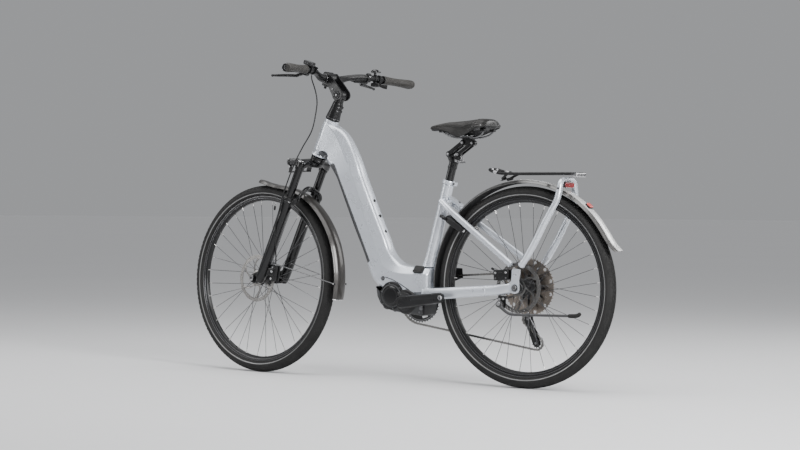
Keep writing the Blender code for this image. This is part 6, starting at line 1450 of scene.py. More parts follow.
def grip(s, name, node):
    p0, p1 = bar_point(0.2195 * s), bar_point(0.3475 * s)
    d = unit(p1 - p0)
    keys = [(0.0, 0.0150, 0.0155, 0.0), (0.012, 0.0160, 0.0165, 0.0), (0.30, 0.0148, 0.0168, 0.0), (0.55, 0.0146, 0.0205, 0.0030), (0.80, 0.0160, 0.0270, 0.0085), (0.97, 0.0172, 0.0262, 0.0085), (1.0, 0.0170, 0.0240, 0.0070), (1.030, 0.0150, 0.0190, 0.0052)]
    kf = np.array(keys)
    rows = []
    for f in np.concatenate([np.linspace(0, 0.02, 4), np.linspace(0.04, 0.98, 64), np.linspace(0.99, 1.030, 6)]):
        ra, rb, back_ = (np.interp(f, kf[:, 0], kf[:, k_]) for k_ in (1, 2, 3))
        rib = -0.0006 * (0.5 + 0.5 * math.cos(f * 150)) if 0.10 < f < 0.55 else 0.0
        q = p0 + (p1 - p0) * f + A(-back_, 0, 0)
        rows.append((q[0], q[1], q[2], ra, rb, rib))

    def section(i, row):
        out = []
        for j, (u, v) in enumerate(oval(row[4], row[3], 48, 2.25)):
            k_ = 1 + row[5] / row[3] * (1.0 if v < 0 else 0.35)
            out.append((u * k_, v * k_))
        return out

    skin = sweep(rows, section, side=(0, 0, 1))
    skin = carve(skin, [rod(p0 - d * 0.02, bar_point(0.3480 * s) + d * 0.0010, 0.0126, 40)])
    p = Piece(name, "cockpit", True)
    p.add(skin, GRIP)
    # clamp ring at the inner end, cap with a bright ring at the outer end
    p.add(turned([(0.0126, -0.0030), (0.0160, -0.0030), (0.0164, -0.0008), (0.0164, 0.0046), (0.0126, 0.0046)], 0.0008, p0 + d * 0.0010, d, 48, closed=True), BLACK_MET)
    e = p0 + (p1 - p0) * 1.008 + A(-0.0055, 0, 0)
    p.add(turned([(0.0122, -0.0010), (0.0156, -0.0010), (0.0156, 0.0034), (0.0140, 0.0046), (0.0122, 0.0046)], 0.0007, e, d, 48, closed=True), BLACK_MET)
    p.add(ring_of(e + d * 0.0030, d, 0.0153, 0.0006, 48, 8), STEEL)
    p.add(turned([(0.0, -0.001), (0.0120, -0.001), (0.0120, 0.0036), (0.0, 0.0036)], 0.0010, e, d, 40), PLASTIC)
    p.add(ring_of(e + d * 0.0037, d, 0.0062, 0.0005, 36, 8), STEEL_DARK)
    p.make([node], angle=50)


grip(1, "grip_left_moulding", "grip_left")
grip(-1, "grip_right_moulding", "grip_right")


# ------------------------------------------------------------------ brake masters and levers
BRAKE_Y = 0.158


def bar_clamp(p, y, r_out, length, look=BLACK_MET, bolt_dir=(0.2, 0, -0.98)):
    q, d = bar_point(y), bar_dir(y)
    p.add(turned([(0.0115, -length / 2), (r_out, -length / 2), (r_out, length / 2), (0.0115, length / 2)], 0.0010, q, d, 44, closed=True), look)
    g = np.array(bolt_dir, float)
    g = unit(g - d * g.dot(d))
    side_ = np.cross(g, d)
    p.add(block(q + g * (r_out + 0.0004), (0.0060, length * 0.85, 0.0090), g, d, 0.0010), look)
    p.add(bolt(q + g * (r_out + 0.0010) + side_ * 0.0042, side_, 0.0026, 0.0016, 16), STEEL)


def brake_frame(s):
    q, d = bar_point(BRAKE_Y * s), bar_dir(BRAKE_Y * s)
    fwd_ = A(0.955, 0.0, -0.296)
    fwd_ = unit(fwd_ - d * fwd_.dot(d))
    return q, fwd_, d * (-s)


for s, nm in ((1, "left"), (-1, "right")):
    q, fwd_, along = brake_frame(s)
    up_ = unit(np.cross(fwd_, along)) * (-s)
    p = Piece("brake_master_body_" + nm, "cockpit", True)
    bar_clamp(p, BRAKE_Y * s, 0.0175, 0.0135, BLACK_MET, -fwd_)
    start = q + fwd_ * 0.0300
    p.add(tube(smooth_path([start - along * 0.006, start + along * 0.026 + fwd_ * 0.002, start + along * 0.046 + fwd_ * 0.006], 18), list(np.interp(np.linspace(0, 1, 18), [0, 0.5, 1], [0.0100, 0.0103, 0.0085])), 36, tip=0.0022), BLACK_SATIN)
    p.add(block(start + along * 0.018 + up_ * 0.0086, (0.0400, 0.0170, 0.0046), along, fwd_, 0.0014), BLACK_MET)
    for a_ in (0.003, 0.033):
        p.add(bolt(start + along * a_ + up_ * 0.0106, up_, 0.0024, 0.0010, 14), STEEL)
    p.add(block(start + fwd_ * 0.0120 - along * 0.004, (0.0210, 0.0190, 0.0115), fwd_, along, 0.0028, 3), BLACK_SATIN)
    p.add(block(q + fwd_ * 0.0210, (0.0160, 0.0115, 0.0115), fwd_, along, 0.0018), BLACK_SATIN)
    end_ = start + along * 0.046 + fwd_ * 0.006
    p.add(tube([end_ - along * 0.002, end_ + along * 0.006, end_ + along * 0.013], [0.0056, 0.0052, 0.0036], 24, tip=0.0008), RUBBER)
    p.add(turned([(0.0, 0.0), (0.0034, 0.0), (0.0034, 0.0022), (0.0, 0.0026)], 0.0006, start - along * 0.0062, -along, 20), STEEL_DARK)
    p.make(["brake_master_" + nm])

    pivot = q + fwd_ * 0.0610 - along * 0.002
    pts = [pivot + along * 0.004] + [A(x, y * s, z) for x, y, z in ((0.8765, 0.1900, 1.1130), (0.8800, 0.2300, 1.1100), (0.8850, 0.2620, 1.1070), (0.8930, 0.2860, 1.1050))]
    rr, bb = (0.0050, 0.0040, 0.0033, 0.0031, 0.0026), (0.0052, 0.0058, 0.0054, 0.0048, 0.0038)
    rows = smooth_path([(*a_, x, y) for a_, x, y in zip(pts, rr, bb)], 48)
    p = Piece("brake_lever_blade_" + nm, "lever_" + nm, True)
    p.add(sweep(rows, lambda i, row: oval(row[3] * (1 - 0.18 * (0.15 < i / 47 < 0.8)), row[4], 32, 2.8), side=tuple(unit(np.cross(fwd_, along)))), BLACK_MET)
    p.add(ball(rows[-1][:3], 0.0052, 20), BLACK_MET)
    p.add(turned([(0.0, -0.0056), (0.0068, -0.0056), (0.0068, 0.0056), (0.0, 0.0056)], 0.0008, pivot, up_, 32), BLACK_MET)
    p.add(bolt(pivot + up_ * 0.0054, up_, 0.0036, 0.0016, 20), STEEL)
    p.add(rod(pivot - fwd_ * 0.006 + along * 0.010, pivot - fwd_ * 0.001 + along * 0.010, 0.0022, 14), STEEL_DARK)
    p.make(["brake_lever_" + nm])

# ------------------------------------------------------------------ shifter, bell, remote
y_sh = -0.2010
p_sh = bar_point(y_sh)
p = Piece("shifter_pod", "cockpit", True)
bar_clamp(p, y_sh, 0.0156, 0.0100)
u_, v_ = unit(A(0.94, 0.34, 0)), unit(A(-0.34, 0.94, 0))
c_ = p_sh + A(0.006, 0.008, -0.0220)
p.add(block(c_, (0.034, 0.034, 0.0140), u_, v_, 0.0042, 4), PLASTIC)
p.add(turned([(0.0, -0.0076), (0.0118, -0.0076), (0.0118, -0.0066), (0.0, -0.0066)], 0.0004, c_ + u_ * 0.001, ZAX, 40), PLASTIC_GREY)
p.add(bolt(c_ + A(0, 0, -0.0072), -ZAX, 0.0040, 0.0014, 20), STEEL_DARK)
p.add(tube([p_sh + A(-0.004, -0.004, -0.0245), p_sh + A(-0.014, -0.012, -0.0268), p_sh + A(-0.026, -0.020, -0.0290)], [0.0052, 0.0074, 0.0084], 28, b=[0.0028, 0.0024, 0.0026], tip=0.0012), PLASTIC)
p.add(tube([p_sh + A(0.0200, -0.004, -0.0200), p_sh + A(0.0290, -0.014, -0.0205)], [0.0050, 0.0062], 24, b=[0.0026, 0.0024], tip=0.001), PLASTIC_GREY)
p.make(["shifter"])

y_b = -0.1840
p_b = bar_point(y_b)
p = Piece("bell_dome", "cockpit", True)
bar_clamp(p, y_b, 0.0148, 0.0086, PLASTIC)
p.add(rod(p_b + A(0, 0, 0.0125), p_b + A(0, 0, 0.0240), 0.0050, 24), PLASTIC)
p.add(turned([(0.0, 0.0), (0.0155, 0.0), (0.0165, 0.0008), (0.0165, 0.0040), (0.0150, 0.0078), (0.0110, 0.0112), (0.0060, 0.0127), (0.0, 0.0130)], 0.0012, p_b + A(0, 0, 0.0225), ZAX, 56, k=3), BLACK_GLOSS)
p.add(ring_of(p_b + A(0, 0, 0.0237), ZAX, 0.0160, 0.0006, 56, 8), STEEL_DARK)
p.add(turned([(0.0, 0.0), (0.0026, 0.0), (0.0022, 0.0009), (0.0, 0.0010)], 0.0002, p_b + A(0, 0, 0.0352), ZAX, 16), STEEL_DARK)
p.add(rod(p_b + A(-0.016, -0.004, 0.0225), p_b + A(-0.020, -0.010, 0.0260), 0.0022, 12, tip=0.0006), PLASTIC)
p.make(["bell"])

y_r = 0.1950
p_r = bar_point(y_r)
p = Piece("remote_control", "cockpit", True)
bar_clamp(p, y_r, 0.0158, 0.0125)
u_, w_ = unit(A(0.94, 0, 0.34)), unit(A(-0.34, 0, 0.94))
c_ = p_r + A(-0.004, 0.002, 0.0220)
p.add(block(c_, (0.036, 0.032, 0.0155), u_, YAX, 0.0040, 4), PLASTIC)
p.add(block(c_ + w_ * 0.0074 + u_ * 0.0040, (0.0220, 0.0230, 0.0016), u_, YAX, 0.0006), GLASS)
p.add(block(c_ + w_ * 0.0074 - u_ * 0.0125, (0.0070, 0.0200, 0.0020), u_, YAX, 0.0008), PLASTIC_GREY)
for a_ in (-0.0050, 0.0050):
    p.add(block(c_ - u_ * 0.0182 + w_ * a_ * 0.5 + YAX * a_ * 1.2, (0.0014, 0.0085, 0.0050), u_, YAX, 0.0006), PLASTIC_GREY)
    p.add(block(c_ + YAX * 0.0162 + u_ * a_, (0.0070, 0.0012, 0.0060), u_, YAX, 0.0005), PLASTIC_GREY)
p.make(["remote"])

# ------------------------------------------------------------------ headlight and its bracket
HLZ = 0.8060
p = Piece("headlight_unit", "steering_unit", True)
HL0 = A(0.9980, 0.0, HLZ)
p.add(turned([(0.0, 0.0), (0.0060, 0.0), (0.0120, 0.0120), (0.0136, 0.0190), (0.0142, 0.0240), (0.0142, 0.0580), (0.0136, 0.0620), (0.0118, 0.0625), (0.0112, 0.0600), (0.0, 0.0600)], 0.0012, HL0, XAX, 56, k=3), PLASTIC)
p.add(turned([(0.0, 0.0590), (0.0110, 0.0590), (0.0100, 0.0616), (0.0050, 0.0628), (0.0, 0.0630)], 0.0006, HL0, XAX, 48), LENS_CLEAR)
for i in range(6):
    p.add(ring_of(HL0 + A(0.0180 + i * 0.0052, 0, 0), XAX, 0.0138, 0.0009, 48, 8), STEEL_DARK)
p.add(ring_of(HL0 + A(0.0575, 0, 0), XAX, 0.0142, 0.0006, 48, 6), STEEL)
p.add(block((1.0520, 0.0, 0.7800), (0.0046, 0.0136, 0.0290), b=0.0014), BLACK_SATIN)
p.add(block((1.0040, 0.0, 0.7690), (0.1030, 0.0176, 0.0046), (1, 0, -0.03), YAX, 0.0012), BLACK_SATIN)
for s in (1, -1):
    p.add(tube([(0.960, 0.0088 * s, 0.7702), (1.050, 0.0088 * s, 0.7675)], 0.0013, 10, tip=0.0006), BLACK_SATIN)
p.add(block((0.9560, 0.0, 0.7790), (0.0056, 0.0216, 0.0240), (0.917, 0, 0.399), YAX, 0.0012), BLACK_SATIN)
p.add(bolt((1.0520, 0.0066, 0.7880), YAX, 0.0036, 0.0024, 18), STEEL)
p.add(bolt(A(0.9560, 0.0, 0.7790) + A(0.917, 0, 0.399) * 0.0026, (0.917, 0, 0.399), 0.0048, 0.0034, 22), STEEL)
p.make(["headlight"])

# ------------------------------------------------------------------ fork lowers
LOW_TOP = 0.6680
p = Piece("fork_lower_casting", "lower_fork", True)
for s in (1, -1):
    a = on_leg(LOW_TOP, s)
    rows = [(a, 0.0205), (a - AXIS_DIR * 0.0010, 0.0218), (a - AXIS_DIR * 0.003, 0.0222), (a - AXIS_DIR * 0.011, 0.0222), (a - AXIS_DIR * 0.0135, 0.0214), (a - AXIS_DIR * 0.0150, 0.0222), (a - AXIS_DIR * 0.019, 0.0216), (a - AXIS_DIR * 0.025, 0.0200)]
    rows += [(on_leg(z, s), r) for z, r in ((0.60, 0.0197), (0.52, 0.0197), (0.45, 0.0197), (0.40, 0.0193), (0.375, 0.0188), (0.358, 0.0172), (0.348, 0.0150), (0.345, 0.0130))]
    leg_skin = tube([q for q, r in rows], [r for q, r in rows], 56, side=(0, 1, 0))
    lo, hi = (0.0545, 0.0640) if s > 0 else (-0.0640, -0.0545)
    plate_ = prism(fillet([(1.1000, 0.4050), (1.1400, 0.3880), (1.1750, 0.3745), (1.1860, 0.3640), (1.1870, 0.3520), (1.1790, 0.3425), (1.1640, 0.3385), (1.1300, 0.3410), (1.1120, 0.3500)], 0.009, True, 5), lo, hi, 0.0020)
    pad_ = turned([(0.0, 0.0500), (0.0145, 0.0500), (0.0145, 0.0672), (0.0, 0.0672)], 0.0010, HUB_F, (0, s, 0), 48)
    leg_skin = carve(leg_skin, [plate_, pad_], "UNION")
    leg_skin = carve(leg_skin, [rod(on_leg(0.700, s), on_leg(0.500, s), 0.0153, 40), rod((WHEELBASE, -0.09 * s, TYRE_R), (WHEELBASE, 0.09 * s, TYRE_R), 0.0064, 32)])
    p.add(leg_skin, BLACK_GLOSS)
    w_ = on_leg(LOW_TOP + 0.0006, s)
    p.add(turned([(0.0151, -0.004), (0.0196, -0.004), (0.0198, 0.0006), (0.0178, 0.0018), (0.0151, 0.0022)], 0.0006, w_, AXIS_DIR, 48, closed=True), RUBBER)
    p.add(ring_of(a - AXIS_DIR * 0.0130, AXIS_DIR, 0.0219, 0.0005, 56, 6), STEEL_DARK)
    foot = on_leg(0.345, s)
    p.add(turned([(0.0, -0.001), (0.0068, -0.001), (0.0068, 0.0030), (0.0052, 0.0040), (0.0, 0.0040)], 0.0006, foot, -AXIS_DIR, 24), STEEL_DARK)
arch_pts = []
for y, r, a_ in ((-0.0665, 0.3330, 122.0), (-0.0650, 0.3620, 125.2), (-0.0530, 0.3880, 124.8), (-0.0300, 0.4015, 123.2), (0.0, 0.4055, 121.8), (0.0300, 0.4015, 123.2), (0.0530, 0.3880, 124.8), (0.0650, 0.3620, 125.2), (0.0665, 0.3330, 122.0)):
    t = math.radians(a_)
    arch_pts.append((WHEELBASE + r * math.cos(t), y, TYRE_R + r * math.sin(t)))
p.add(tube(smooth_path(arch_pts, 70), 0.0060, 32, side=(0.52, 0.0, -0.85), b=0.0105, e=3.0), BLACK_GLOSS)
for y in (0.0, 0.030, -0.030):
    t = math.radians(122.0 if y == 0 else 123.2)
    r = 0.4055 if y == 0 else 0.4015
    q = A(WHEELBASE + r * math.cos(t), y, TYRE_R + r * math.sin(t))
    d = unit(A(math.cos(t), 0, math.sin(t)))
    p.add(bolt(q + d * 0.0056, d, 0.0044, 0.0026, 22), STEEL)
p.add(block((1.0880, 0.0648, 0.3850), (0.0600, 0.0096, 0.0290), b=0.0026, seg=3), BLACK_GLOSS)
for x in (1.066, 1.108):
    p.add(bolt((x, 0.0694, 0.3850), YAX, 0.0046, 0.0036, 24), STEEL)
p.make(["fork_lowers"], angle=34)

# front caliper in two halves with bolts, bleed nipple and hose joint
p = Piece("front_caliper_body", "lower_fork", True)
cu_ = unit(A(-0.15, 0, 0.99))
cw_ = unit(np.cross(cu_, YAX))
C_ = A(1.0780, 0.0428, 0.3800)
for y, t in ((0.0504, 0.0150), (0.0318, 0.0086)):
    p.add(block(A(C_[0], y, C_[2]), (0.0600, t, 0.0345), cu_, YAX, 0.0032, 3), BLACK_SATIN)
for a_ in (-0.022, 0.022):
    p.add(bolt(C_ + cu_ * a_ + YAX * 0.0148, YAX, 0.0046, 0.0024, 22), STEEL)
    p.add(rod(C_ + cu_ * a_ - YAX * 0.010, C_ + cu_ * a_ + YAX * 0.010, 0.0030, 12), STEEL_DARK)
p.add(turned([(0.0, 0.0), (0.0120, 0.0), (0.0120, 0.0016), (0.0100, 0.0026), (0.0, 0.0026)], 0.0006, C_ + YAX * 0.0146, YAX, 36), BLACK_MET)
p.add(rod(C_ + cu_ * 0.0300, C_ + cu_ * 0.0380, 0.0044, 20, tip=0.001), STEEL)
p.add(rod(C_ + cu_ * 0.0260 - cw_ * 0.008, C_ + cu_ * 0.0340 - cw_ * 0.012, 0.0026, 14), STEEL_DARK)
p.make(["front_caliper"])

p = Piece("front_axle_parts", "lower_fork", True)
p.add(lathe([(0.0, -0.0720), (0.0056, -0.0720), (0.0056, 0.0690), (0.0, 0.0690)], HUB_F, YAX, 32), STEEL_DARK)
p.add(lathe([(0.0, 0.0688), (0.0105, 0.0688), (0.0110, 0.0696), (0.0110, 0.0730), (0.0100, 0.0740), (0.0050, 0.0740), (0.0042, 0.0732, 6), (0.0040, 0.0700, 6), (0.0, 0.0700)], HUB_F, YAX, 40), STEEL_DARK)
p.add(turned([(0.0, -0.0706), (0.0082, -0.0706), (0.0082, -0.0674), (0.0, -0.0674)], 0.0008, HUB_F, YAX, 36), BLACK_SATIN)
p.make(["front_axle"])

# ------------------------------------------------------------------ front mudguard
p = Piece("front_guard_shell", "lower_fork", True)
shell_guard(p, HUB_F, [(85.5, 0.3835, 0.0250), (89, 0.3776, 0.0265), (93, 0.3705, 0.0275), (100, 0.3665, 0.0285), (108, 0.3720, 0.0290), (115, 0.3805, 0.0295), (122, 0.3860, 0.0300), (131, 0.3905, 0.0305), (145, 0.3960, 0.0310), (160, 0.4000, 0.0315), (190.5, 0.4005, 0.0320)], 0.0024, 0.0120, GUARD_F, GUARD_F, GUARD_IN, 100)
t_ = math.radians(181.5)
for s in (1, -1):
    tip_ = A(WHEELBASE + 0.3900 * math.cos(t_), 0.0305 * s, TYRE_R + 0.3900 * math.sin(t_))
    p.add(tube(smooth_path([(1.0860, 0.0560 * s, 0.4200), (1.0500, 0.0520 * s, 0.4120), tuple(tip_ + A(0.02, 0.003 * s, 0.004)), tuple(tip_)], 24), 0.0017, 14), STEEL_DARK)
    d_ = unit(A(math.cos(t_), 0, math.sin(t_)))
    p.add(block(tip_ + A(0.004, 0.0012 * s, 0.0), (0.0140, 0.0034, 0.0080), b=0.0010), PLASTIC)
    p.add(bolt(tip_ + A(0.004, 0.0028 * s, 0.0), (0, s, 0), 0.0028, 0.0016, 16), STEEL)
    p.add(turned([(0.0, 0.0), (0.0050, 0.0), (0.0050, 0.0030), (0.0, 0.0034)], 0.0006, (1.0860, 0.0545 * s, 0.4200), (0, s, 0), 22), STEEL)
t_ = math.radians(190.2)
d_ = A(math.cos(t_), 0, math.sin(t_))
p.add(tube([tuple(HUB_F + d_ * (0.3990 - 0.012 * abs(f) ** 2.6) + A(0, f * 0.0310, 0)) for f in np.linspace(-1, 1, 33)], 0.0019, 14, tip=0.0008), STEEL)
for a_, y_ in ((124.0, 0.015), (124.0, -0.015)):
    t_ = math.radians(a_)
    d_ = A(math.cos(t_), 0, math.sin(t_))
    p.add(turned([(0.0, -0.001), (0.0044, -0.001), (0.0040, 0.0014), (0.0, 0.0018)], 0.0004, HUB_F + d_ * 0.3852 + A(0, y_, 0), d_, 20), STEEL)
p.make(["front_mudguard"], angle=50)

# ------------------------------------------------------------------ front brake hose
hose_pts = [(0.8690, 0.1010, 1.1215), (0.8850, 0.0800, 1.1080), (0.8960, 0.0560, 1.0880), (0.8985, 0.0420, 1.0656), (0.8950, 0.0370, 1.0358), (0.8955, 0.0380, 0.9981), (0.9030, 0.0500, 0.9219), (0.9290, 0.0720, 0.8538), (0.9420, 0.0895, 0.8075), (0.9640, 0.0935, 0.7582), (0.9920, 0.0935, 0.6941), (1.0080, 0.0930, 0.6500), (1.0220, 0.0920, 0.6000), (1.0340, 0.0905, 0.5600), (1.0400, 0.0870, 0.5200), (1.0490, 0.0720, 0.4800), (1.0585, 0.0580, 0.4500), (1.0650, 0.0500, 0.4270), (1.0665, 0.0485, 0.4125)]
hose_line = placed(smooth_path(hose_pts, 150), True)
hose_v, hose_f = tube([tuple(q) for q in hose_line], 0.0024, 16)
hose_mesh = bpy.data.meshes.new("front_brake_line")
hose_mesh.from_pydata(np.asarray(hose_v).tolist(), [], [tuple(q) for q in hose_f])
hose_mesh.validate()
hose_mesh.shade_smooth()
hose_mesh.set_sharp_from_angle(angle=math.radians(50))
hose_mesh.materials.append(CABLE)
hose = bpy.data.objects.new("front_brake_line", hose_mesh)
bpy.context.scene.collection.objects.link(hose)
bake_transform(hose)
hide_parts("front_brake_hose")


# ------------------------------------------------------------------ seatpost with its linkage
A1, A2 = A(0.3230, 0, 0.8310), A(0.2820, 0, 0.8290)
LINK = A(-0.0600, 0, 0.0410)
B1, B2 = A1 + LINK, A2 + LINK
p = Piece("seatpost_forging", "post")
p.add(rod((seat_x(0.600), 0, 0.600), (seat_x(0.8000), 0, 0.8000), 0.0155, 64), BLACK_GLOSS)
head_ = carve(tube(smooth_path([(seat_x(0.780), 0, 0.780), (seat_x(0.800), 0, 0.800), tuple(A1)], 16), list(np.linspace(0.0158, 0.0112, 16)), 40, side=(0, 1, 0), b=list(np.linspace(0.0150, 0.0085, 16)), e=3.0), [
    tube([(seat_x(0.785), 0, 0.785), tuple(A2)], [0.0140, 0.0100], 40, side=(0, 1, 0), b=[0.0120, 0.0085], e=3.0),
    turned([(0.0, -0.0085), (0.0115, -0.0085), (0.0115, 0.0085), (0.0, 0.0085)], 0.0008, A1, YAX, 40),
    turned([(0.0, -0.0085), (0.0105, -0.0085), (0.0105, 0.0085), (0.0, 0.0085)], 0.0008, A2, YAX, 40),
], "UNION")
head_ = carve(head_, [prism(fillet([(0.296, 0.818), (0.312, 0.822), (0.303, 0.808)], 0.0035), 0.0055, 0.02), prism(fillet([(0.296, 0.818), (0.312, 0.822), (0.303, 0.808)], 0.0035), -0.02, -0.0055)])
p.add(head_, BLACK_MET)
p.add(turned([(0.0148, -0.0010), (0.0166, -0.0010), (0.0168, 0.0004), (0.0168, 0.0044), (0.0148, 0.0050)], 0.0006, (seat_x(0.7800), 0, 0.7800), SEAT_DIR, 48, closed=True), BLACK_SATIN)
p.add(block((0.2790, 0, 0.8040), (0.0330, 0.0270, 0.0095), (0.98, 0, 0.18), YAX, 0.0024, 3), STEEL_DARK)
for s in (1, -1):
    p.add(bolt((0.2730, 0.0136 * s, 0.8030), (0, s, 0), 0.0034, 0.0016, 18), STEEL)
    p.add(bolt((0.2870, 0.0136 * s, 0.8055), (0, s, 0), 0.0028, 0.0012, 18), STEEL)
p.add(rod((0.2660, 0, 0.8070), (0.2780, 0, 0.8260), 0.0042, 20, tip=0.0008), STEEL)
p.make(["seatpost"], angle=34)


def link_(name, body, node, a, b, r):
    p = Piece(name, body)
    an = math.atan2(b[2] - a[2], b[0] - a[0])
    for s in (1, -1):
        lo, hi = sorted((0.0092 * s, 0.0142 * s))
        p.add(prism(capsule2((a[0], a[2]), (b[0], b[2]), r, r, 20), lo, hi, 0.0010), BLACK_MET)
        mid = (np.array(a) + np.array(b)) / 2
        d = unit(np.array(b) - np.array(a))
        p.add(block(mid + YAX * 0.0143 * s, (0.038, 0.0012, r * 0.8), d, YAX, 0.0005), BLACK_SATIN)
        for q in (a, b):
            p.add(turned([(0.0, 0.0138), (r * 0.80, 0.0138), (r * 0.80, 0.0150), (0.0, 0.0152)], 0.0004, q, (0, s, 0), 32), STEEL_DARK)
            p.add(bolt(np.array(q) + YAX * 0.0150 * s, (0, s, 0), r * 0.52, 0.0014, 24), STEEL)
    p.add(rod(np.array(a) - YAX * 0.0150, np.array(a) + YAX * 0.0150, 0.0042, 24), STEEL_DARK)
    p.make([node])


link_("post_front_link_plates", "link_front", "post_link_front", A1, B1, 0.0072)
link_("post_rear_link_plates", "link_rear", "post_link_rear", A2, B2, 0.0065)

# saddle clamp with rails
p = Piece("saddle_clamp_rails", "seat")
p.add(turned([(0.0, -0.0085), (0.0115, -0.0085), (0.0115, 0.0085), (0.0, 0.0085)], 0.0010, B1, YAX, 40), BLACK_MET)
p.add(turned([(0.0, -0.0085), (0.0105, -0.0085), (0.0105, 0.0085), (0.0, 0.0085)], 0.0010, B2, YAX, 40), BLACK_MET)
p.add(tube([B1, B2], 0.0095, 32, side=(0, 1, 0), b=0.0080, e=3.0), BLACK_MET)
p.add(block((0.2430, 0, 0.8810), (0.046, 0.0170, 0.0190), b=0.0026, seg=3), BLACK_MET)
p.add(block((0.2400, 0, 0.8872), (0.034, 0.0530, 0.0040), b=0.0016), BLACK_SATIN)
p.add(block((0.2400, 0, 0.8934), (0.032, 0.0530, 0.0036), b=0.0014), STEEL_DARK)
for x in (0.2300, 0.2500):
    p.add(bolt((x, 0.0, 0.8945), ZAX, 0.0044, 0.0034, 20), STEEL)
    p.add(rod((x, 0, 0.870), (x, 0, 0.894), 0.0026, 14), STEEL_DARK)
for s in (1, -1):
    pts = smooth_path([(0.3480, 0.0110 * s, 0.9120), (0.3280, 0.0160 * s, 0.9020), (0.2900, 0.0210 * s, 0.8900), (0.2450, 0.0216 * s, 0.8898), (0.2000, 0.0225 * s, 0.8900), (0.1740, 0.0290 * s, 0.8980), (0.1580, 0.0340 * s, 0.9120)], 60)
    p.add(tube(pts, 0.0035, 20), STEEL_DARK)
p.make(["saddle_clamp"])

# ------------------------------------------------------------------ saddle
SADDLE = [
    (0.4000, 0.0110, 0.9290, 0.9235, 0.9185), (0.3920, 0.0175, 0.9340, 0.9230, 0.9150), (0.3617, 0.0215, 0.9405, 0.9210, 0.9150), (0.3230, 0.0280, 0.9470, 0.9130, 0.9165),
    (0.2900, 0.0380, 0.9485, 0.9010, 0.9165), (0.2600, 0.0500, 0.9495, 0.8935, 0.9160), (0.2300, 0.0610, 0.9510, 0.8970, 0.9165), (0.2000, 0.0710, 0.9535, 0.9090, 0.9170),
    (0.1700, 0.0770, 0.9560, 0.9210, 0.9180), (0.1520, 0.0660, 0.9550, 0.9250, 0.9190), (0.1440, 0.0470, 0.9500, 0.9280, 0.9210),
]
sad = smooth_path([(x, 0, 0, w, zt, ze, zb) for x, w, zt, ze, zb in SADDLE], 96)
SN = 61


def saddle_top(row, t, lift=0.0):
    """A point on the cover of one row; t runs 0..1 from the left edge over the crown to the right edge."""
    x, w, zt, ze = row[0], row[3], row[4], row[5]
    a = math.pi * t
    c, s = math.cos(a), math.sin(a)
    y = w * math.copysign(abs(c) ** 0.86, c)
    z = ze + (zt - ze) * s**0.74
    channel = math.exp(-((y / 0.0095) ** 2)) * max(0.0, 1 - ((x - 0.262) / 0.088) ** 2) ** 0.5 if abs(x - 0.262) < 0.088 else 0.0
    z -= 0.0042 * channel
    z += 0.0012 * math.exp(-((abs(y) - 0.022) / 0.012) ** 2) * (1 if 0.17 < x < 0.34 else 0.4)
    n_ = unit(A(0, c * 1.0, max(s, 0.02) * 1.4))
    return A(x, y, z) + n_ * lift


def saddle_ring(row, k_=1.0, dx=0.0):
    x, w, zt, ze, zb = row[0], row[3], row[4], row[5], row[6]
    mid = A(x, 0, 0.55 * zt + 0.45 * max(ze, zb - 0.002))
    # a rolled hem under the edge, then the flat underside
    pts = [saddle_top(row, j / (SN - 1)) for j in range(SN)]
    hem = 0.0034
    right_ = [A(x, -w + 0.0006, ze - 0.0016), A(x, -w + hem, ze - 0.0010), A(x, -w + hem + 0.001, ze + 0.002), A(x, -0.70 * w, max(zb, ze + 0.001)), A(x, -0.35 * w, zb)]
    left_ = [A(q[0], -q[1], q[2]) for q in reversed(right_)]
    out = pts + right_ + left_
    return [mid + (q - mid) * k_ + A(dx, 0, 0) for q in out]


rings = [saddle_ring(sad[0], k_, dx) for k_, dx in ((0.30, 0.0016), (0.62, 0.0013), (0.85, 0.0007))] + [saddle_ring(r) for r in sad] + [saddle_ring(sad[-1], k_, dx) for k_, dx in ((0.86, -0.0010), (0.62, -0.0018), (0.30, -0.0022))]
m_, k_ = len(rings), len(rings[0])
verts = np.array([q for r in rings for q in r])
top_f, side_f, gloss_f, base_f = [], [], [], []
for i in range(m_ - 1):
    x = rings[i][0][0]
    for j in range(k_):
        j2 = (j + 1) % k_
        q = (i * k_ + j, i * k_ + j2, (i + 1) * k_ + j2, (i + 1) * k_ + j)
        if j >= SN - 1:
            base_f.append(q)
        else:
            t = (j + 0.5) / (SN - 1)
            edge = min(t, 1 - t)
            (gloss_f if x < 0.154 else side_f if edge < 0.165 else top_f).append(q)
ends_f = [tuple(range(k_)), tuple((m_ - 1) * k_ + j for j in range(k_))]
k = Look("saddle_side_panel", (0.012, 0.0112, 0.0106), 0.40, 0.0, Specular_IOR_Level=0.30)
k.blotchy(18.0, 0.82, 1.18, 240.0)
k.rough_by(28.0, 0.06)
k.bump(k.cells(1400.0), 0.25, 0.00025)
SIDE_PANEL = k.m
p = Piece("saddle_cover_foam", "seat")
p.v.append(verts)
p.count = len(verts)
for fs, look in ((top_f, LEATHER), (side_f, SIDE_PANEL), (gloss_f + ends_f, GLOSSY), (base_f, PLASTIC)):
    p.mats.append(look)
    p.f += fs
    p.mi += [len(p.mats) - 1] * len(fs)
saddle_ob = p.make(["saddle"], angle=60)

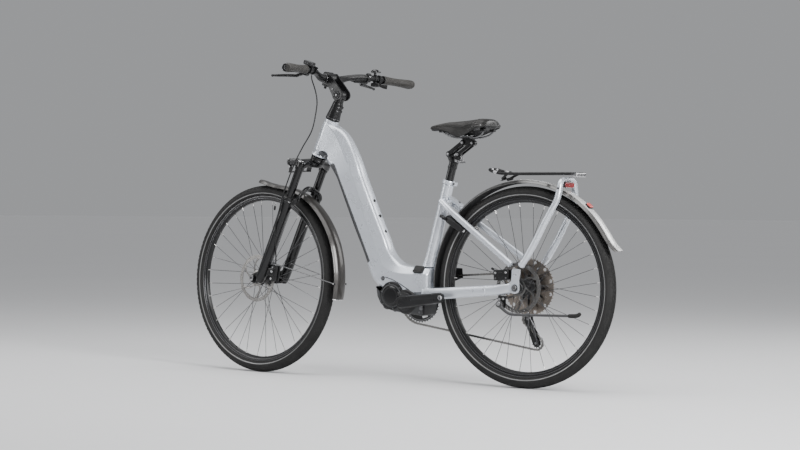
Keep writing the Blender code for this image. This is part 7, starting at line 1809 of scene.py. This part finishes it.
p = Piece("saddle_seams_and_base", "seat")
for t in (0.165, 0.835):
    line = [tuple(saddle_top(r, t, 0.0001)) for r in sad[2:-3]]
    p.add(tube(smooth_path(line, 150), 0.0009, 12, tip=0.0004), GLOSSY)
    for off in (0.016, -0.016):
        rowsx = smooth_path([tuple(saddle_top(r, t + off, 0.0003)) for r in sad[3:-4]], 260)
        stitches = [tube([rowsx[i], rowsx[i + 2]], 0.00042, 6, tip=0.0002) for i in range(0, 256, 4)]
        p.add(merge(*stitches), THREAD)
cross_rows = [r for r in sad if 0.176 < r[0] < 0.186][:1]
for r in cross_rows:
    p.add(tube(smooth_path([tuple(saddle_top(r, t, 0.0001)) for t in np.linspace(0.02, 0.98, 40)], 90), 0.0009, 12, tip=0.0004), GLOSSY)
# the glossy bumper round the back and the rail sockets below
bump = [A(r[0], 0.985 * r[3], r[5] + 0.0050) for r in sad if r[0] < 0.196]
bump = [tuple(q) for q in bump] + [(q[0], -q[1], q[2]) for q in reversed(bump)]
p.add(tube(smooth_path(bump, 90), 0.0030, 16, b=0.0036, tip=0.001), GLOSSY)
p.add(block((0.3520, 0, 0.9135), (0.0200, 0.0290, 0.0090), b=0.0024), PLASTIC)
for s in (1, -1):
    p.add(block((0.1620, 0.0330 * s, 0.9150), (0.0200, 0.0150, 0.0100), b=0.0024), PLASTIC)
    p.add(turned([(0.0, 0.0), (0.0062, 0.0), (0.0062, 0.0090), (0.0050, 0.0110), (0.0, 0.0110)], 0.0010, (0.2050, 0.0420 * s, 0.9050), ZAX, 24), RUBBER)
p.make([], angle=50)

# ------------------------------------------------------------------ cranks


def crank_arm(s, name, node):
    a = CRANK_REST if s > 0 else CRANK_REST - math.pi
    c, sn = math.cos(a), math.sin(a)
    keys = []
    for t, y, hw, ht in ((-0.021, 0.0745, 0.0130, 0.0062), (-0.012, 0.0745, 0.0215, 0.0075), (0.010, 0.0745, 0.0235, 0.0078), (0.050, 0.0765, 0.0225, 0.0075), (0.110, 0.0800, 0.0208, 0.0070), (0.155, 0.0828, 0.0195, 0.0066), (CRANK, 0.0832, 0.0180, 0.0064), (CRANK + 0.0125, 0.0834, 0.0110, 0.0056)):
        keys.append((BB[0] + c * t, y * s, BB[1] + sn * t, hw, ht))
    rows = smooth_path(keys, 84)
    u, w = A(c, 0, sn), A(-sn, 0, c)
    skin = sweep([tuple(r) for r in rows], lambda i, row: soft([(-row[3], -0.55 * row[4]), (-row[3] * 0.86, row[4]), (row[3] * 0.86, row[4]), (row[3], -0.55 * row[4]), (row[3] * 0.92, -row[4]), (-row[3] * 0.92, -row[4])], [0.003, 0.004, 0.004, 0.003, 0.002, 0.002], 5) if s > 0 else soft([(-row[3], 0.55 * row[4]), (-row[3] * 0.86, -row[4]), (row[3] * 0.86, -row[4]), (row[3], 0.55 * row[4]), (row[3] * 0.92, row[4]), (-row[3] * 0.92, row[4])], [0.003, 0.004, 0.004, 0.003, 0.002, 0.002], 5), side=(0, 1, 0))
    q0, q1 = A(BB[0], 0, BB[1]) + u * 0.040, A(BB[0], 0, BB[1]) + u * 0.146
    groove = tube([q0 + YAX * 0.0862 * s, q1 + YAX * 0.0912 * s], [0.0100, 0.0080], 32, side=(0, 1, 0), b=[0.0030, 0.0026], tip=0.004)
    ped = A(BB[0], 0, BB[1]) + u * CRANK
    hole = rod(ped + YAX * 0.05 * s, ped + YAX * 0.11 * s, 0.0064, 40)
    skin = carve(skin, [groove, hole])
    p = Piece(name, "crank")
    p.add(skin, BLACK_MET)
    p.add(turned([(0.0064, 0.0772), (0.0064, 0.0900), (0.0078, 0.0900), (0.0084, 0.0893), (0.0084, 0.0772)], 0.0003, ped, (0, s, 0), 40, closed=True), STEEL)
    for i in range(6):
        p.add(ring_of(ped + YAX * s * (0.0786 + i * 0.0018), YAX, 0.0063, 0.0004, 32, 6), STEEL_DARK)
    hub_c = A(BB[0], 0, BB[1])
    p.add(turned([(0.0, 0.0800), (0.0130, 0.0800), (0.0130, 0.0832), (0.0112, 0.0842), (0.0060, 0.0842), (0.0056, 0.0830), (0.0, 0.0830)], 0.0006, hub_c, (0, s, 0), 44), BLACK_MET)
    p.add(bolt(hub_c + YAX * 0.0828 * s, (0, s, 0), 0.0054, 0.0010, 28), PLASTIC)
    if s < 0:
        p.add(rod(hub_c - YAX * 0.0740, hub_c + YAX * 0.0660, 0.0105, 40), STEEL_DARK)
        p.add(turned([(0.0, -0.0562), (0.0330, -0.0562), (0.0330, -0.0590), (0.0180, -0.0680), (0.0, -0.0680)], 0.0010, hub_c, YAX, 60), BLACK_MET)
        for i in range(5):
            t = 2 * math.pi * i / 5
            d = A(math.cos(t), 0, math.sin(t))
            p.add(prism([(0.020, -0.0110), (0.0540, -0.0062), (0.0575, 0.0), (0.0540, 0.0062), (0.020, 0.0110)], -0.0600, -0.0546, 0.0012, hub_c, d, np.cross(d, YAX), YAX), BLACK_MET)
    p.make([node], angle=34)


crank_arm(1, "crank_arm_left_forging", "crank_arm_left")
crank_arm(-1, "crank_arm_right_forging", "crank_arm_right")

# ------------------------------------------------------------------ rear axle, rear caliper, chain guard
p = Piece("rear_axle_parts", "frame")
p.add(lathe([(0.0, 0.0798), (0.0058, 0.0798), (0.0058, -0.0830), (0.0, -0.0830)], HUB_R, YAX, 32), STEEL_DARK)
p.add(lathe([(0.0, 0.0796), (0.0090, 0.0796), (0.0095, 0.0803), (0.0095, 0.0830), (0.0086, 0.0840), (0.0044, 0.0840), (0.0038, 0.0832, 6), (0.0036, 0.0806, 6), (0.0, 0.0806)], HUB_R, YAX, 40), STEEL_DARK)
p.make(["rear_axle"])

p = Piece("rear_caliper_body", "frame")
ru_ = unit(A(1, 0, -0.06))
rw_ = unit(np.cross(ru_, YAX))
C_ = A(0.0640, 0.0520, 0.4020)
for y, t in ((0.0614, 0.0132), (0.0422, 0.0122)):
    p.add(block(A(C_[0], y, C_[2]), (0.0610, t, 0.0370), ru_, YAX, 0.0034, 3), BLACK_SATIN)
p.add(block(C_ + rw_ * (0.0150 if rw_[2] > 0 else -0.0150), (0.0480, 0.0200, 0.0070), ru_, YAX, 0.0018), BLACK_MET)
for a_ in (-0.0215, 0.0215):
    p.add(bolt(A(C_[0], 0.0676, C_[2]) + ru_ * a_ + A(0, 0, 0.0080), YAX, 0.0042, 0.0022, 22), STEEL)
    p.add(bolt(A(C_[0], 0.0676, C_[2]) + ru_ * a_ + A(0, 0, -0.0110), YAX, 0.0032, 0.0016, 20), STEEL_DARK)
p.add(turned([(0.0, 0.0), (0.0118, 0.0), (0.0118, 0.0012), (0.0098, 0.0022), (0.0, 0.0022)], 0.0006, A(C_[0], 0.0674, C_[2] - 0.001), YAX, 36), BLACK_MET)
p.add(rod((0.086, 0.050, 0.4135), (0.100, 0.050, 0.4192), 0.0060, 24, tip=0.001), STEEL_DARK)
p.add(rod((0.099, 0.050, 0.4188), (0.112, 0.050, 0.4240), 0.0042, 20, tip=0.001), RUBBER)
p.add(turned([(0.0, 0.0), (0.0040, 0.0), (0.0040, 0.0030), (0.0, 0.0034)], 0.0006, (0.0900, 0.0570, 0.4150), YAX, 20), STEEL)
p.make(["rear_caliper"])

gy0, gy1 = -0.0640, -0.0600
g_arc = arc(BB[0], BB[1], 0.1000, 20, 92, 40)
guard_poly = g_arc + [(0.40, 0.4060), (0.335, 0.4180), (0.305, 0.4165)] + [(0.302, 0.3820), (0.335, 0.3700), (0.385, 0.3500)] + arc(BB[0], BB[1], 0.0660, 118, 28, 32)
p = Piece("chain_guard_plate", "frame")
p.add(prism(guard_poly, gy0, gy1, 0.0010), PLASTIC)
lip_out = arc(BB[0], BB[1], 0.1000, 22, 92, 36) + [(0.40, 0.4058), (0.335, 0.4176)]
lip_in = [(x - 0.0004, z - 0.0030) for x, z in reversed(lip_out[36:])] + arc(BB[0], BB[1], 0.0970, 92, 22, 36)
p.add(prism(lip_out + lip_in, gy0 + 0.001, -0.0497, 0.0006), PLASTIC)
ridge = smooth_path([(BB[0] + 0.083 * math.cos(math.radians(a_)), gy0, BB[1] + 0.083 * math.sin(math.radians(a_))) for a_ in np.linspace(34, 106, 12)] + [(0.395, gy0, 0.3780), (0.330, gy0, 0.3950)], 70)
p.add(tube(ridge, 0.0014, 12, tip=0.0006), PLASTIC_GREY)
for x, z in ((0.3300, 0.4050), (0.5480, 0.3450)):
    p.add(bolt((x, gy0 + 0.0004, z), (0, -1, 0), 0.0040, 0.0024, 20), STEEL_DARK)
p.make(["chain_guard"], angle=34)

# ------------------------------------------------------------------ derailleur
p = Piece("derailleur_linkage", "frame")
p.add(turned([(0.0, -0.0790), (0.0095, -0.0790), (0.0110, -0.0802), (0.0110, -0.0905), (0.0098, -0.0925), (0.0, -0.0925)], 0.0010, (HANG[0], 0, HANG[2]), YAX, 40), BLACK_MET)
p.add(bolt((HANG[0], -0.0918, HANG[2]), (0, -1, 0), 0.0062, 0.0016, 28), STEEL)
main_ = smooth_path([(HANG[0], -0.0870, HANG[2], 0.0112, 0.0058), (0.020, -0.0790, 0.290, 0.0132, 0.0074), (0.024, -0.0700, 0.2640, 0.0118, 0.0068)], 26)
p.add(tube(main_, main_[:, 3], 36, b=main_[:, 4], e=2.8, tip=0.002), BLACK_SATIN)
p.add(tube(main_ + np.array((0.0006, -0.0056, 0.0, 0, 0)), main_[:, 3] * 0.62, 30, b=0.0018, e=3.2, tip=0.0012), STEEL_DARK)
for q, r in ((main_[5], 0.0036), (main_[20], 0.0036)):
    p.add(turned([(0.0, 0.0), (r, 0.0), (r, 0.0026), (0.0, 0.0030)], 0.0005, A(*q[:3]) + A(0.0, -0.0062, 0.0), (0, -1, 0), 24), STEEL)
p.add(turned([(0.0, -0.0785), (0.0112, -0.0785), (0.0125, -0.0772), (0.0125, -0.0568), (0.0112, -0.0555), (0.0, -0.0555)], 0.0010, (0.0220, 0, 0.2600), YAX, 44), BLACK_MET)
p.add(bolt((0.0220, -0.0783, 0.2600), (0, -1, 0), 0.0050, 0.0016, 24), STEEL)
p.make(["derailleur_body"])

p = Piece("derailleur_cage_plates", "cage")
gv, tv = (GUIDE[0], GUIDE[2]), (TENSION[0], TENSION[2])
ax_ = unit(A(tv[0] - gv[0], 0, tv[1] - gv[1]))
px_ = A(-ax_[2], 0, ax_[0])
for y0_, y1_ in ((-0.0538, -0.0512), (-0.0388, -0.0364)):
    outline = capsule2(gv, tv, 0.0130, 0.0120, 22)
    window = []
    for t, w in ((0.22, -0.0050), (0.22, 0.0050), (0.76, 0.0046), (0.76, -0.0046)):
        q = GUIDE * (1 - t) + TENSION * t + px_ * w
        window.append((q[0], q[2]))
    p.add(holed(outline, [fillet(window, 0.004, True, 5)], y0_, y1_), BLACK_MET)
for c_ in (GUIDE, TENSION):
    p.add(rod(A(c_[0], -0.0530, c_[2]), A(c_[0], -0.0370, c_[2]), 0.0030, 20), STEEL)
    p.add(bolt(A(c_[0], -0.0537, c_[2]), (0, -1, 0), 0.0050, 0.0016, 24), STEEL)
    p.add(bolt(A(c_[0], -0.0366, c_[2]), (0, 1, 0), 0.0044, 0.0014, 24), STEEL_DARK)
p.make(["derailleur_cage"], weighted=False)

# ------------------------------------------------------------------ ring lock
lock_pts = [(0.2330, -0.0470, 0.5545), (0.2700, -0.0470, 0.5765), (0.2990, -0.0440, 0.5930), (0.3110, -0.0300, 0.5995), (0.3140, 0.0, 0.6010), (0.3110, 0.0300, 0.5995), (0.2990, 0.0440, 0.5930), (0.2700, 0.0470, 0.5765), (0.2330, 0.0470, 0.5545)]
lock_rows = smooth_path(lock_pts, 110)
lock_w = np.interp(np.linspace(0, 16, 110), range(17), [0.0085, 0.0105, 0.0115, 0.0115, 0.0110, 0.0105, 0.0095, 0.0090, 0.0090, 0.0090, 0.0095, 0.0105, 0.0110, 0.0115, 0.0115, 0.0105, 0.0085])
p = Piece("ring_lock_case", "frame")
p.add(tube(lock_rows, lock_w, 36, b=0.0075, e=3.2, tip=0.0026), PLASTIC)
# the thin grey line along the case is a painted reflection on its glossy black top
p.add(tube(lock_rows[4:-4] , 0.0012, 10, tip=0.0005), PLASTIC_GREY)
p.add(block((0.3150, 0.0530, 0.6020), (0.0250, 0.0110, 0.0100), (0.86, 0, 0.5), YAX, 0.0030, 3), PLASTIC)
p.add(ball((0.3230, 0.0545, 0.6066), 0.0068, 22), PLASTIC)
for i in range(3):
    p.add(ring_of((0.3110 + 0.0030 * i, 0.0530, 0.5997 + 0.0017 * i), (0.86, 0, 0.5), 0.0070, 0.0006, 24, 6), PLASTIC_GREY)
kc = A(0.2860, -0.0475, 0.5890)
p.add(turned([(0.0, -0.004), (0.0074, -0.004), (0.0074, 0.0036), (0.0062, 0.0046), (0.0, 0.0046)], 0.0008, kc, unit((-0.5, -0.15, 0.86)), 32), STEEL_DARK)
p.add(block(kc + unit(A(-0.5, -0.15, 0.86)) * 0.0046, (0.0070, 0.0014, 0.0010), (0.86, 0, 0.5), YAX, 0.0003), PLASTIC)
for s in (1, -1):
    p.add(rod((0.2310, 0.0470 * s, 0.5535), (0.2385, 0.0470 * s, 0.5578), 0.0048, 24), STEEL)
    p.add(bolt((0.2960, 0.0405 * s, 0.5995), unit((-0.5, 0, 0.86)), 0.0034, 0.0022, 18), STEEL_DARK)
p.make(["frame_lock"])

# ------------------------------------------------------------------ rear stand
KP = A(0.0480, 0.0890, 0.2960)
STAND_AXIS = unit((0.0, 0.942, 0.334))
p = Piece("stand_bracket", "frame")
plate_poly = fillet([(0.0340, 0.3290), (0.0660, 0.3260), (0.0640, 0.2990), (0.0570, 0.2830), (0.0390, 0.2830), (0.0330, 0.2990)], 0.0055, True, 4)
p.add(prism(plate_poly, 0.0800, 0.0840, 0.0010), BLACK_SATIN)
p.add(block((0.0500, 0.0740, 0.3270), (0.030, 0.016, 0.0040), b=0.0010), BLACK_SATIN)
p.add(turned([(0.0, -0.0075), (0.0100, -0.0075), (0.0100, 0.0035), (0.0, 0.0035)], 0.0008, KP, STAND_AXIS, 40), BLACK_MET)
for x, z in ((0.0420, 0.3190), (0.0580, 0.3175)):
    p.add(bolt((x, 0.0838, z), YAX, 0.0042, 0.0034, 22), STEEL)
p.make(["stand_mount"])

LEG = [tuple(KP + STAND_AXIS * 0.0115), (0.030, 0.1045, 0.2830), (0.004, 0.1060, 0.2690), (-0.030, 0.1060, 0.2665), (-0.120, 0.1060, 0.2680), (-0.210, 0.1060, 0.2695), (-0.262, 0.1060, 0.2710), (-0.2790, 0.1060, 0.2800)]
rows = smooth_path(LEG, 90)
p = Piece("stand_leg_tube", "stand")
p.add(tube(rows[:84], list(np.interp(np.linspace(0, 1, 84), [0, 0.15, 0.3, 1], [0.0062, 0.0054, 0.0048, 0.0046])), 32, tip=0.002), STAND_GREY)
p.add(tube(rows[76:], list(np.interp(np.linspace(0, 1, 14), [0, 0.2, 0.8, 1], [0.0068, 0.0072, 0.0072, 0.0060])), 32, tip=0.0024), RUBBER)
p.add(turned([(0.0, 0.0040), (0.0115, 0.0040), (0.0125, 0.0052), (0.0125, 0.0178), (0.0115, 0.0190), (0.0, 0.0190)], 0.0008, KP, STAND_AXIS, 44), STAND_GREY)
p.add(bolt(KP + STAND_AXIS * 0.0188, STAND_AXIS, 0.0070, 0.0020, 32), STEEL)
j_ = rows[34]
p.add(turned([(0.0060, -0.0060), (0.0076, -0.0060), (0.0080, -0.0040), (0.0080, 0.0040), (0.0076, 0.0060), (0.0060, 0.0060)], 0.0006, j_, unit(rows[35] - rows[33]), 32, closed=True), STAND_GREY)
p.add(bolt(A(*j_) + A(0, 0, 0.0070), ZAX, 0.0026, 0.0016, 16), STEEL)
p.make(["stand_leg"])


# ------------------------------------------------------------------ floor, camera and light
def disc_floor():
    n = 96
    me = bpy.data.meshes.new("floor")
    verts = [(60 * math.cos(2 * math.pi * i / n), 60 * math.sin(2 * math.pi * i / n), -0.0002) for i in range(n)]
    me.from_pydata(verts, [], [tuple(range(n))])
    ob = bpy.data.objects.new("floor", me)
    bpy.context.scene.collection.objects.link(ob)
    k = Look("pale_floor", (0.66, 0.662, 0.67), 0.75, Specular_IOR_Level=0.1)
    k.blotchy(0.6, 0.985, 1.01, 14.0)
    me.materials.append(k.m)


disc_floor()
world = bpy.data.worlds.new("studio")
bpy.context.scene.world = world
world.use_nodes = True
world.node_tree.nodes["Background"].inputs["Color"].default_value = (0.86, 0.875, 0.90, 1)
world.node_tree.nodes["Background"].inputs["Strength"].default_value = 0.40

AZ, EL, ROLL = math.radians(213.85), math.radians(0.78), math.radians(0.37)
back = A(math.sin(AZ) * math.cos(EL), -math.cos(AZ) * math.cos(EL), math.sin(EL))
right = unit(np.cross(-back, A(0, 0, 1)))
up = np.cross(right, -back)
right, up = math.cos(ROLL) * right + math.sin(ROLL) * up, -math.sin(ROLL) * right + math.cos(ROLL) * up
cam = bpy.data.cameras.new("camera")
cam.sensor_width = 36.0
cam.lens = 2104.0 * 36.0 / 800.0
cam.clip_end = 200.0
cam_ob = bpy.data.objects.new("camera", cam)
bpy.context.scene.collection.objects.link(cam_ob)
cam_ob.matrix_world = Matrix(((right[0], up[0], back[0], -4.3491), (right[1], up[1], back[1], 6.4241), (right[2], up[2], back[2], 0.677), (0, 0, 0, 1)))
bpy.context.scene.camera = cam_ob


def area(name, place, aim, size, size_y, power, colour=(1, 1, 1)):
    li = bpy.data.lights.new(name, "AREA")
    li.shape = "RECTANGLE"
    li.size, li.size_y, li.energy, li.color = size, size_y, power, colour
    ob = bpy.data.objects.new(name, li)
    bpy.context.scene.collection.objects.link(ob)
    ob.location = place
    ob.rotation_euler = (Vector(aim) - Vector(place)).to_track_quat("-Z", "Y").to_euler()


sun = bpy.data.lights.new("soft_sun", "SUN")
sun.energy = 0.68
sun.angle = math.radians(55)
sun_ob = bpy.data.objects.new("soft_sun", sun)
bpy.context.scene.collection.objects.link(sun_ob)
sun_ob.rotation_euler = (Vector((0, 0, 0)) - Vector((1.2, 0.8, 4.0))).to_track_quat("-Z", "Y").to_euler()
area("top_softbox", (0.0, 0.3, 3.4), (0, 0, 0.5), 4.2, 2.6, 120)
area("side_softbox", (3.6, 2.6, 1.9), (0, 0, 0.6), 0.9, 2.4, 50)
area("rear_key", (-4.2, 1.9, 2.3), (0, 0, 0.6), 1.1, 2.4, 270)
area("camera_fill", (-4.6, 4.6, 1.9), (0, 0, 0.5), 1.6, 1.6, 8)
area("rear_rim", (-2.6, -3.0, 2.2), (0, 0, 0.6), 1.6, 2.2, 55)
